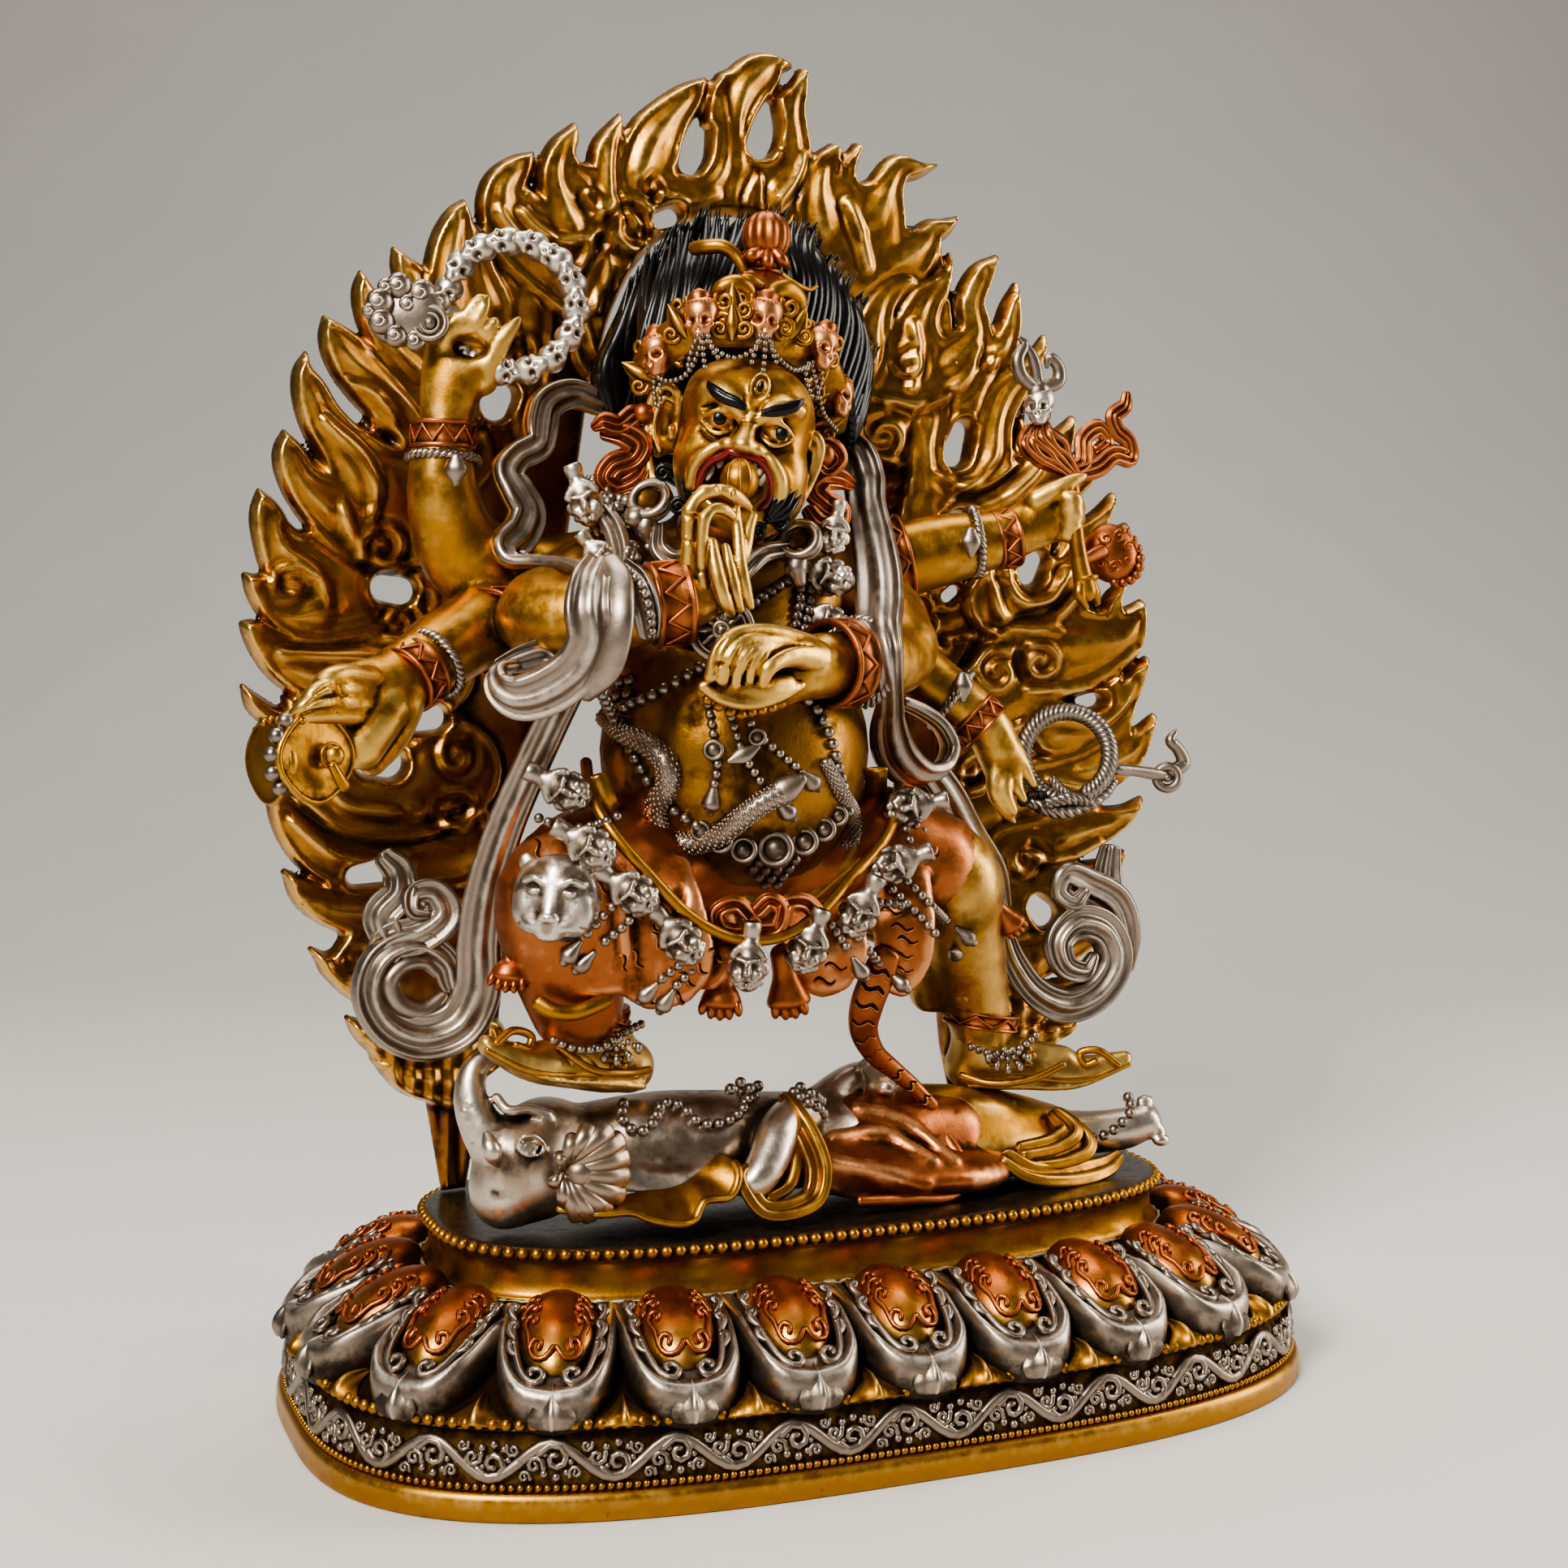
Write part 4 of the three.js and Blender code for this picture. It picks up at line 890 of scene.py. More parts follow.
def u_curve(half_top, half_belly, tip, steps):
    """From the waist down one side, round the tip and up the other side"""
    side = smooth_rows([(half_top, PETAL_START, 0, 0), (half_belly, -8, 0, 0), (half_belly * 0.99, 0, 0, 0),
                        (half_belly * 0.88, tip * 0.52, 0, 0), (half_belly * 0.56, tip * 0.88, 0, 0),
                        (0, tip, 0, 0)], 8)[:, :2]
    pace = np.r_[0, np.cumsum(np.hypot(*np.diff(side, axis=0).T))]
    even = np.linspace(0, pace[-1], steps)
    side = np.stack([np.interp(even, pace, side[:, axis]) for axis in range(2)], 1)
    return np.vstack([side * (-1, 1), side[-2::-1]])


def petal_shell():
    """One lotus petal about its own middle: x across, y from the waist out to the tip, z proud.
    Border, dome, copper curls and silver curls as (points, faces, darkness)"""
    steps = 21
    outer, inner = u_curve(13.1, 12.9, PETAL_TIP, steps), u_curve(8.6, 8.6, 7.6, steps)
    spread = [0, 0.02, 0.10, 0.22, 0.36, 0.5, 0.62, 0.74, 0.86, 1.0]
    proud = [-2.5, 1.0, 4.2, 6.1, 6.7, 6.2, 5.3, 4.7, 4.9, 4.3]
    # Painted shade at the low outer edge and where the border meets the dome, painted highlight along its
    # crest, with the wash
    stain_and_shade = [0.7, 0.5, 0.2, -0.15, -0.3, -0.1, 0.15, 0.35, 0.3, 0.6]
    rings = []
    for share, height in zip(spread, proud):
        line = outer * (1 - share) + inner * share
        along = (line[:, 1] - PETAL_START) / (PETAL_TIP - PETAL_START)
        lift = np.interp(along, [0, 0.12, 0.35, 0.7, 0.9, 1.0], [0.22, 0.5, 0.95, 1.08, 0.86, 0.55])
        rings.append(np.column_stack([line, height * np.where(height > 0, lift, 1)]))
    points = np.vstack(rings)
    count = len(outer)
    faces = [tuple(face) for face in ring_faces(len(spread), count, closed_ring=False)]
    shell = (points, faces, np.repeat(stain_and_shade, count))
    dome_points, dome_faces, _, _ = ellipsoid(DOME_CENTRE, DOME_RADII, segments=18, rings=11)
    narrow = np.interp(dome_points[:, 1], [-8, 0, 9], [1.0, 0.98, 0.8])
    dome_points = dome_points * np.column_stack([narrow, np.ones_like(narrow), np.ones_like(narrow)])
    # Darker towards the dome's foot, where it meets the border: painted shade
    dome = (dome_points, dome_faces, np.clip((6.6 - dome_points[:, 2]) * 0.2, -0.1, 0.7))

    def on_dome(x, y):
        inside = 1 - (x / DOME_RADII[0]) ** 2 - ((y - DOME_CENTRE[1]) / DOME_RADII[1]) ** 2
        return x, y, DOME_CENTRE[2] + DOME_RADII[2] * math.sqrt(max(inside, 0.02)) + CURL_PROUD

    copper, silver = [], []
    for side in (-1, 1):
        for stroke in ([(0.4, 3.2), (2.0, 5.0), (4.2, 4.6), (5.4, 2.4), (4.4, 0.6), (3.0, 1.4), (3.4, 2.8)],
                       [(5.4, 2.4), (5.8, -1.0), (6.6, -4.0), (5.4, -6.0), (4.2, -5.0), (4.8, -3.8)],
                       [(7.2, -6.4), (6.2, -9.0), (4.6, -9.4), (3.9, -8.2), (4.9, -7.6)],
                       [(6.9, -10.2), (5.6, -12.4), (4.2, -12.0), (4.4, -10.9)]):
            copper.append(loft([(*on_dome(side * x, y), 0.62, 0.7) for x, y in stroke], per=2, facing=UP,
                               sides=5)[:3])
        for stroke in ([(9.9, -12.0, 6.2), (9.4, -6.0, 6.3), (8.8, -1.0, 6.2), (7.9, 4.4, 6.0),
                        (6.2, 9.0, 5.6), (3.6, 10.8, 5.6), (2.2, 9.2, 6.0), (3.2, 7.4, 6.2),
                        (5.0, 7.8, 6.2), (4.7, 9.1, 6.4)],
                       [(8.6, -1.0, 6.4), (10.0, -3.4, 6.6), (9.7, -5.6, 6.8), (8.5, -5.2, 6.9),
                        (8.9, -4.1, 6.9)],
                       [(8.9, -7.0, 6.4), (10.2, -8.8, 6.8), (9.7, -10.8, 6.9), (8.7, -10.2, 6.9),
                        (9.1, -9.3, 6.9)],
                       [(8.0, 3.6, 6.2), (9.6, 1.8, 6.2), (9.6, -0.2, 6.6), (8.5, 0.2, 6.6)]):
            wide = [0.55] + [0.85] * (len(stroke) - 2) + [0.5]
            silver.append(loft([(side * x, y, z, w, w) for (x, y, z), w in zip(stroke, wide)], per=2,
                               facing=UP, sides=5)[:3])
    lip = [(0, 10.6, 4.9, 0.5, 0.6), (0, 13.0, 4.8, 2.3, 1.2), (0, 15.4, 3.9, 3.9, 1.6),
           (0, 17.4, 2.2, 5.0, 1.5), (0, 18.0, 0.6, 4.4, 1.0)]
    silver.append(loft(lip, section=lip_section(), per=3, facing=UP)[:3])
    return shell, dome, copper, silver


def petal_places(turn, spread, sink=0.0):
    """3 x 4 matrices that stand a petal on the slope at each place round it"""
    inner, _, _ = plan_ring(spread, PETALS, turn)
    _, outward, _ = plan_ring(0.5, PETALS, turn)
    _, _, length = plan_ring(0.45, 1)
    room = length / PETALS
    slope = math.atan2(WAIST_FOOT - LOTUS_FOOT, SLOPE_RUN)
    places = []
    for point, out in zip(inner, outward):
        away = np.array([out[0] * math.cos(slope), out[1] * math.cos(slope), -math.sin(slope)])
        normal = np.array([out[0] * math.sin(slope), out[1] * math.sin(slope), math.cos(slope)])
        side = np.cross(away, normal)
        height = LOTUS_FOOT + (WAIST_FOOT - LOTUS_FOOT) * (spread - 0.12) / 0.88 - sink
        matrix = np.zeros((3, 4))
        matrix[:, 0] = side * room / PETAL_WIDTH
        matrix[:, 1] = away
        matrix[:, 2] = normal
        matrix[:, 3] = (point[0], point[1], height)
        places.append(matrix)
    return places


def make_plinth():
    body = Piece("plinth_body", ["lotus_plinth"], "lotus_plinth")
    # The third value of each row is how dark a band is painted: most at steps and under overhangs, painted
    # shade there together with the wash
    rim = curve_rows([(0.012, 0.0, 0.2), (-0.005, 0.5, 0.0), (-0.004, 2.5, -0.1), (0.0, 4.4, -0.2),
                      (0.018, 5.6, -0.1), (0.05, 6.0, 0.3), (0.06, 6.2, 0.8)])
    body.add(plinth_band(rim), GOLD)
    frieze = [(0.06, 6.2, 0.9), (0.07, 7.4, 0.55), (0.085, 9.5, 0.3), (0.1, 12, 0.22), (0.115, 15, 0.3),
              (0.125, 17.2, 0.6), (0.12, 17.8, 0.9), (0.10, 18.0, 0.6), (0.10, 18.3, 0.4),
              (0.125, 18.6, 0.9), (0.14, 20.6, 0.9)]
    body.add(plinth_band(frieze), GROUND_BRONZE)
    slope = [(0.14, 20.6, 0.9), (0.3, 22.6, 0.75), (0.6, 27.5, 0.7), (0.9, 33.0, 0.8), (1.0, 35.0, 0.7)]
    body.add(plinth_band(slope), GROUND_BRONZE)
    waist = curve_rows([(1.0, 35.0, 0.5), (0.985, 35.6, 0.15), (1.01, 36.6, 0.1), (1.03, 39.0, 0.0),
                        (1.03, 41.5, 0.0), (1.012, 43.4, -0.05), (0.985, 44.2, 0.0), (0.975, 44.6, 0.5)])
    body.add(plinth_band(waist), GOLD)
    collar = [(0.975, 44.6, 0.9), (1.0, 44.9, 0.9), (1.0, 46.4, 0.8), (1.006, 46.8, 0.5)]
    body.add(plinth_band(collar), OLD_GOLD)
    body.add(plinth_band([(1.006, 46.8, 0.0), (1.016, 47.0, 0.0), (1.05, 47.02, 0)]), DECK_BLACK)
    body.add(cap(1.05, 47.02, True), DECK_BLACK)
    body.add(cap(0.012, 0.0, False), OLD_GOLD)
    # A rough pale seam where the waist was glued on
    seam, outward, _ = plan_ring(0.985, SEAM_POINTS)
    jitter = random.normal(0, 0.16, (SEAM_POINTS, 2))
    rows = np.hstack([seam + outward * (0.5 + jitter[:, :1]), (35.5 + jitter[:, 1:]),
                      np.abs(0.42 + 0.16 * random.normal(size=(SEAM_POINTS, 1)))])
    for start in range(0, SEAM_POINTS, SEAM_RUN):
        run = rows[[(start + step) % SEAM_POINTS for step in range(SEAM_RUN + 1)]]
        body.add(loft(run, per=1, facing=(0, 0, 1), sides=5), SEAM)
    body.make(lift=0.0)

    beads = Piece("plinth_beads", ["lotus_plinth"], "lotus_plinth")
    for spread, height, radius in ((0.052, 6.9, 0.85), (0.098, 19.4, 1.32), (0.997, 45.7, 1.5)):
        _, _, length = plan_ring(spread, 1)
        place, _, _ = plan_ring(spread, int(length / (2 * radius + 0.14)))
        centres = np.hstack([place, np.full((len(place), 1), height)])
        beads.add(spheres(centres, radius, 8, 5), GOLD, wash=-0.06)
    for mesh in plinth_vine():
        beads.add(mesh, SILVER)
    beads.make(lift=0.0)

    lotus = Piece("plinth_lotus", ["lotus_plinth"], "lotus_plinth")
    shell, dome, copper, silver = petal_shell()
    places = petal_places(0.5, 0.5)
    lotus.add(copies(shell, places), SILVER)
    golden = np.clip((dome[0][:, 1] + 5) / 11, 0, 1)
    lotus.add((*copies(dome, places)[:3], np.tile(golden, len(places))), PETAL_COPPER)
    for part in copper:
        lotus.add(copies(part, places), COPPER)
    for part in silver:
        lotus.add(copies(part, places), SILVER)
    back_tip = loft([(0, 8.0, 0.2, 0.3, 0.4), (0, 10.5, 0.8, 1.2, 1.2), (0, 13.0, 1.2, 2.8, 1.9),
                     (0, 15.6, 0.8, 5.4, 2.2), (0, 17.0, -0.2, 6.6, 1.6)], section=lip_section(), per=4,
                    facing=UP, round_ends=False)[:3]
    lotus.add(copies(back_tip, petal_places(0.0, 0.5, sink=0.4)), GOLD)
    lotus.make(lift=0.0)


make_plinth()


# Aureole: a relief over a flat sheet, u across and z up from the deck, then bent like the CAD solid.
# Its flames are drawn as clumps of strokes: pixels of the photograph and half-widths in pixels,
# which the camera's rays carry onto the sheet.

SHEET_CENTRE = (-11.5, 28.0)
SHEET_HALF_WIDTH, SHEET_MIDDLE, SHEET_RISE, SHEET_TOP = 117.0, 120.0, 0.3, 272.1
SHEET_CUP_SIDES, SHEET_CUP_TOP = 14.0, 9.0
RELIEF_STEP = 0.5
FLAME_TRIANGLES = 130000
SHEET_PIXELS_PER_MM = 4.85
FULLER, PALM = 3.0, 0.16         # pixels, and a share, added to every half-width but the tips'
FLAME_FACE = 3.0                 # about how far the flames' faces stand out from the sheet
RIM_HEIGHT, WALL_WIDTH = 0.9, 0.8   # of the rolled rim and the steep wall along a clump's outline
HOLE_RIM = 0.8


def sheet_depth(u, z):
    """How far the sheet bends towards the viewer at a place"""
    sideways = SHEET_CUP_SIDES * (u / SHEET_HALF_WIDTH) ** 2
    return sideways + SHEET_CUP_TOP * (np.maximum(z, 0) / SHEET_TOP) ** 2


def on_sheet(px, py):
    """u and z of the place on the sheet that the photograph shows at a pixel"""
    ray, eye = ray_to(px, py), EYE
    u, z = 0.0, SHEET_MIDDLE
    for _ in range(6):
        y = SHEET_CENTRE[1] - sheet_depth(u, z) - FLAME_FACE
        hit = eye + ray * (y - eye[1]) / ray[1]
        u, z = hit[0] - SHEET_CENTRE[0], hit[2]
    return u, z


def sheet_reach(angle):
    """How far the sheet reaches from its middle; it is drawn out at the top"""
    return SHEET_HALF_WIDTH * (1 + SHEET_RISE * np.maximum(0, np.sin(angle)) ** 3.5)


def sheet_point(degrees, share):
    """u and z at a share of the sheet's reach"""
    angle = math.radians(degrees)
    reach = float(sheet_reach(angle)) * share
    return reach * math.cos(angle), SHEET_MIDDLE + reach * math.sin(angle)


class Relief:
    """Heights over the flat sheet, and how far inside its outline each place is."""

    def __init__(self, low, high, step):
        self.low, self.step = np.array(low, float), step
        size = np.ceil((np.array(high, float) - self.low) / step).astype(int) + 1
        self.u = self.low[0] + step * np.arange(size[0])
        self.z = self.low[1] + step * np.arange(size[1])
        self.height = np.zeros(size)
        self.inside = np.full(size, -9.0)
        self.amber = np.zeros(size)

    def reach_of(self, strokes, blend=2.0, margin=3.0):
        """Window and depth inside the joined strokes of u, z, half-width"""
        lines = [smooth_rows([(u, 0.0, z, w) for u, z, w in stroke], 5) for stroke in strokes]
        every = np.vstack(lines)
        low = [every[:, axis].min() - every[:, 3].max() - margin for axis in (0, 2)]
        high = [every[:, axis].max() + every[:, 3].max() + margin for axis in (0, 2)]
        first = np.maximum(((np.array(low) - self.low) / self.step).astype(int), 0)
        last = np.minimum(((np.array(high) - self.low) / self.step).astype(int) + 1, self.height.shape)
        window = (slice(first[0], last[0]), slice(first[1], last[1]))
        u, z = self.u[window[0]][:, None], self.z[window[1]][None, :]
        depth = None
        along = np.zeros((len(u), z.shape[1]))
        for line in lines:
            own = np.full(along.shape, -99.0)
            own_along = np.zeros(along.shape)
            total = len(line) - 1
            for index in range(total):
                a, b = line[index], line[index + 1]
                du, dz = b[0] - a[0], b[2] - a[2]
                share = np.clip(((u - a[0]) * du + (z - a[2]) * dz) / (du * du + dz * dz + 1e-9), 0, 1)
                away = np.hypot(u - a[0] - share * du, z - a[2] - share * dz)
                value = a[3] + share * (b[3] - a[3]) - away
                own_along = np.where(value > own, (index + share) / total, own_along)
                own = np.maximum(own, value)
            along = np.where(own > 0, np.maximum(along, own_along), along) if depth is None else \
                np.where(own > depth, own_along, along)
            depth = own if depth is None else -smooth_min(-depth, -own, blend)
        return window, depth, along

    def flames(self, strokes, base, dome=1.7, blend=2.0, tip_amber=0.8):
        """A clump with a rolled rim along its whole outline"""
        window, depth, along = self.reach_of(strokes, blend)
        inner = np.maximum(depth, 0)
        height = (base + 1.5 * (1 - np.exp(-inner / WALL_WIDTH))
                  + RIM_HEIGHT * np.exp(-((inner - 1.1) / 0.75) ** 2)
                  - 0.5 * RIM_HEIGHT * np.exp(-((inner - 3.1) / 1.2) ** 2)
                  + dome * (1 - np.exp(-(inner / 6.0) ** 2)))
        old = self.height[window]
        # Where this clump meets one laid before, the older one is cut down along the edge and takes the
        # darker amber tone: painted shade in the crevice
        crevice = 1.1 * np.exp(-(np.minimum(depth, 0) / 0.7) ** 2)
        lowered = np.where(self.inside[window] > 0, np.maximum(old - crevice, 0.4), old)
        self.height[window] = np.where(depth > 0, np.maximum(height, old * 0.25 + height * 0.75), lowered)
        amber = np.clip((along - 0.62) / 0.38, 0, 1) * tip_amber
        self.amber[window] = np.where(depth > 0, amber, np.maximum(self.amber[window], 0.5 * crevice))
        self.inside[window] = np.maximum(self.inside[window], depth)
        return self

    def ridge(self, stroke, height=0.9, soft=0.5):
        """A rounded cord or fold laid on what is there"""
        window, depth, _ = self.reach_of([stroke])
        width = max(w for _, _, w in stroke)
        share = np.clip(depth / width, 0, 1)
        lift = share * (2 - share) * height
        groove = soft * np.exp(-((depth + 0.9) / 0.9) ** 2)
        self.height[window] += np.where(self.inside[window] > 0, lift - groove, 0)
        return self

    def volute(self, centre, radius, start, turns, width=1.5, height=1.6):
        """A spiral roll, wound inwards to a knob"""
        count = 14
        stroke = []
        for index in range(count):
            share = index / (count - 1)
            angle = math.radians(start + 360 * turns * share)
            reach = radius * (1 - share) ** 0.85
            stroke.append((centre[0] + reach * math.cos(angle), centre[1] + reach * math.sin(angle),
                           width * (1 - 0.35 * share)))
        window, depth, _ = self.reach_of([stroke], blend=0.0)
        out = np.hypot(self.u[window[0]][:, None] - centre[0], self.z[window[1]][None, :] - centre[1])
        bowl = np.clip(1 - out / (radius + width), 0, 1) ** 0.5
        level = self.height[window]
        ground = np.where(out < radius + width, level - 0.9 * np.minimum(1, 3 * bowl), level)
        rolled = ground + height * np.sqrt(np.clip(depth / width, 0, 1))
        self.height[window] = np.where(self.inside[window] > 0, rolled, level)
        # The roll and the bowl it winds in take the darker amber tone: painted shade
        self.amber[window] = np.where(out < radius, np.maximum(self.amber[window], 0.45),
                                      self.amber[window])
        return self

    def hole(self, stroke):
        """An opening through the sheet, with a rolled rim"""
        window, depth, _ = self.reach_of([stroke], margin=8.0)
        self.inside[window] = np.minimum(self.inside[window], -depth)
        self.height[window] += HOLE_RIM * np.exp(-((-depth - 1.1) / 0.7) ** 2)
        self.height[window] -= 0.5 * HOLE_RIM * np.exp(-((-depth - 2.7) / 0.9) ** 2)
        return self


# Clumps seen in the photograph, from the lower left over the top to the lower right. Each stroke
# runs from its root to its tip: pixel and half-width in pixels.
TRACED_CLUMPS = [
    # lower left, down to the stem
    [[(560, 1330, 26), (510, 1326, 18), (484, 1318, 10), (462, 1307, 3)],
     [(590, 1290, 30), (520, 1292, 26), (470, 1282, 14), (446, 1270, 8), (430, 1256, 3)]],
    [[(560, 1200, 40), (490, 1206, 34), (440, 1202, 20), (408, 1190, 9), (385, 1171, 3)],
     [(520, 1160, 30), (450, 1166, 20), (424, 1178, 11), (410, 1192, 7)],
     [(540, 1110, 36), (470, 1116, 30), (415, 1118, 19), (378, 1102, 12), (353, 1076, 4)],
     [(470, 1110, 26), (436, 1104, 14), (418, 1094, 8), (412, 1083, 3)]],
    [[(560, 1040, 40), (490, 1050, 40), (425, 1046, 36), (385, 1030, 26), (356, 1004, 15), (338, 980, 5)]],
    [[(560, 950, 46), (500, 985, 40), (440, 985, 34), (396, 968, 24), (362, 944, 18), (334, 918, 10),
      (318, 900, 4)]],
    # left, behind the hand drum
    [[(440, 905, 20), (380, 900, 14), (342, 886, 10), (316, 868, 8), (301, 846, 3)],
     [(400, 880, 14), (368, 872, 10), (352, 860, 4)]],
    [[(540, 830, 36), (460, 828, 34), (400, 824, 32), (355, 812, 22), (328, 792, 14), (314, 778, 10),
      (301, 769, 4)]],
    [[(440, 730, 40), (392, 742, 38), (352, 746, 22), (324, 728, 12), (304, 709, 4)],
     [(440, 700, 44), (396, 704, 38), (360, 690, 26), (340, 662, 18), (330, 634, 13), (321, 604, 3)]],
    [[(520, 640, 44), (450, 640, 40), (400, 618, 25), (372, 590, 18), (358, 560, 13), (352, 531, 3)],
     [(520, 620, 44), (456, 590, 34), (425, 552, 24), (398, 515, 19), (384, 482, 15), (376, 458, 9),
      (379, 434, 3)],
     [(560, 560, 36), (520, 510, 34), (476, 478, 29), (438, 446, 22), (416, 418, 14), (402, 390, 3)]],
    [[(560, 500, 30), (520, 460, 22), (480, 420, 17), (460, 385, 14), (450, 358, 10), (447, 334, 3)],
     [(560, 440, 26), (536, 390, 22), (514, 350, 17), (498, 326, 10), (488, 305, 3)]],
    # upper left
    [[(600, 430, 36), (560, 380, 28), (556, 335, 23), (560, 298, 19), (567, 270, 12), (574, 246, 3)],
     [(600, 380, 24), (588, 330, 15), (590, 300, 9), (584, 280, 4)]],
    [[(760, 380, 40), (700, 330, 38), (648, 290, 34), (622, 258, 24), (622, 232, 19), (640, 208, 12),
      (659, 187, 3)],
     [(700, 310, 26), (676, 285, 15), (650, 262, 9), (652, 240, 6), (668, 250, 4)],
     [(760, 350, 40), (715, 295, 32), (694, 250, 20), (685, 215, 16), (694, 184, 12), (706, 166, 8),
      (711, 151, 3)],
     [(760, 330, 38), (746, 280, 26), (728, 238, 19), (716, 214, 10), (706, 196, 5)],
     [(760, 330, 34), (750, 270, 23), (752, 225, 20), (752, 188, 17), (760, 160, 9), (767, 140, 3)]],
    [[(745, 420, 18), (734, 380, 16), (734, 345, 12), (742, 322, 8), (745, 300, 3)]],
    # top
    [[(800, 250, 26), (792, 215, 27), (806, 176, 27), (826, 146, 20), (850, 120, 13), (872, 95, 3)],
     [(796, 230, 24), (836, 246, 22), (876, 232, 20), (893, 200, 17), (892, 160, 18), (890, 125, 15),
      (894, 98, 8)],
     [(900, 240, 16), (912, 196, 16), (909, 150, 17), (918, 112, 22), (938, 92, 20), (956, 80, 11),
      (978, 78, 3)],
     [(910, 200, 12), (935, 206, 11), (960, 200, 12)],
     [(936, 275, 26), (960, 240, 24), (984, 205, 17), (978, 168, 17), (974, 136, 17), (986, 110, 11),
      (993, 90, 5)]],
    [[(930, 280, 10), (926, 250, 10), (932, 226, 6), (932, 208, 3)]],
    # upper right
    [[(1040, 330, 38), (1018, 280, 30), (1010, 240, 21), (1014, 212, 16), (1030, 186, 8)],
     [(1060, 320, 46), (1066, 278, 36), (1048, 238, 15), (1046, 210, 10), (1060, 182, 5)],
     [(1064, 330, 46), (1082, 272, 30), (1094, 232, 18), (1110, 207, 13), (1134, 207, 8), (1158, 202, 3)],
     [(1075, 350, 34), (1108, 326, 28), (1136, 304, 17), (1150, 286, 12), (1166, 280, 9), (1184, 267, 3)],
     [(1090, 300, 20), (1100, 280, 8), (1112, 268, 3)]],
    [[(1080, 500, 24), (1076, 440, 21), (1078, 396, 17), (1092, 364, 12), (1114, 350, 8), (1134, 352, 3)]],
    [[(1110, 520, 44), (1128, 450, 34), (1128, 402, 21), (1142, 368, 15), (1164, 346, 10), (1175, 312, 3)],
     [(1150, 500, 50), (1178, 454, 32), (1202, 414, 17), (1198, 374, 14), (1212, 340, 12), (1232, 316, 4)],
     [(1190, 490, 40), (1226, 444, 20), (1244, 408, 13), (1250, 378, 10), (1256, 349, 3)],
     [(1190, 450, 14), (1206, 424, 12), (1212, 400, 6)]],
    [[(1140, 640, 30), (1144, 592, 22), (1140, 552, 18), (1148, 516, 15), (1162, 490, 6)],
     [(1150, 640, 34), (1190, 604, 22), (1220, 566, 20), (1226, 520, 18), (1238, 488, 18), (1262, 462, 12),
      (1280, 440, 8), (1291, 414, 3)]],
    # right, behind the raised arm
    [[(1200, 660, 40), (1250, 612, 30), (1284, 578, 20), (1310, 545, 12), (1326, 515, 4)],
     [(1240, 640, 30), (1300, 606, 22), (1342, 572, 14), (1350, 540, 4)]],
    [[(1230, 740, 34), (1282, 742, 26), (1318, 706, 20), (1334, 664, 14), (1358, 640, 10), (1376, 610, 4)],
     [(1300, 720, 24), (1350, 690, 18), (1378, 668, 12), (1392, 646, 3)]],
    [[(1220, 860, 40), (1280, 812, 48), (1340, 800, 40), (1380, 790, 26), (1398, 766, 14), (1411, 742, 4)],
     [(1280, 800, 34), (1312, 772, 20), (1322, 748, 12), (1336, 728, 5)],
     [(1360, 800, 26), (1372, 762, 12), (1376, 738, 8), (1390, 716, 4)]],
    [[(1300, 900, 26), (1352, 892, 22), (1380, 872, 16), (1396, 842, 12), (1417, 812, 4)],
     [(1352, 870, 14), (1372, 846, 9), (1380, 826, 4)]],
    # lower right
    [[(1270, 980, 34), (1336, 958, 28), (1386, 932, 20), (1410, 908, 11), (1427, 883, 4)],
     [(1350, 940, 18), (1378, 905, 12), (1390, 884, 7), (1400, 862, 3)]],
    [[(1250, 1060, 40), (1310, 1034, 28), (1358, 1018, 18), (1390, 1004, 10), (1411, 984, 3)],
     [(1300, 1010, 18), (1340, 990, 11), (1362, 976, 6), (1370, 962, 3)]],
    [[(1250, 1120, 34), (1312, 1096, 26), (1352, 1080, 15), (1376, 1066, 8), (1389, 1050, 3)],
     [(1280, 1130, 20), (1330, 1120, 14), (1366, 1110, 8), (1384, 1096, 3)]],
    [[(1240, 1190, 30), (1300, 1172, 20), (1344, 1152, 12), (1370, 1132, 4)]],
    [[(1230, 1250, 26), (1290, 1232, 17), (1330, 1212, 9), (1352, 1192, 3)],
     [(1230, 1290, 20), (1280, 1280, 12), (1316, 1264, 8), (1334, 1246, 3)]],
]
# Volutes at the roots: pixel, radius in mm, where the roll starts and how far it turns
VOLUTES = [
    ((472, 676), 6.0, 200, -1.5), ((490, 768), 4.4, 200, 1.4), ((727, 247), 3.0, -60, 1.2),
    ((776, 282), 7.5, 150, -1.7), ((804, 232), 3.0, -60, 1.2), ((1116, 447), 4.4, 100, 1.3),
    ((1086, 540), 7.5, 90, 1.7), ((1224, 828), 6.5, 60, 1.5), ((1276, 816), 5.6, 120, -1.5),
    ((1204, 955), 6.0, 60, 1.6), ((1100, 612), 3.4, 60, 1.3), ((1218, 446), 3.0, 60, 1.1),
    ((560, 1000), 6.0, 120, -1.4), ((560, 930), 5.0, 60, 1.3), ((356, 722), 5.0, 20, 1.4),
    ((1262, 1060), 5.0, 100, 1.3), ((640, 440), 6.0, 160, -1.4), ((1168, 790), 4.0, 60, 1.3),
    ((1162, 738), 3.6, 60, 1.2), ((560, 705), 4.0, 200, -1.2), ((430, 1180), 3.6, 60, 1.2),
]
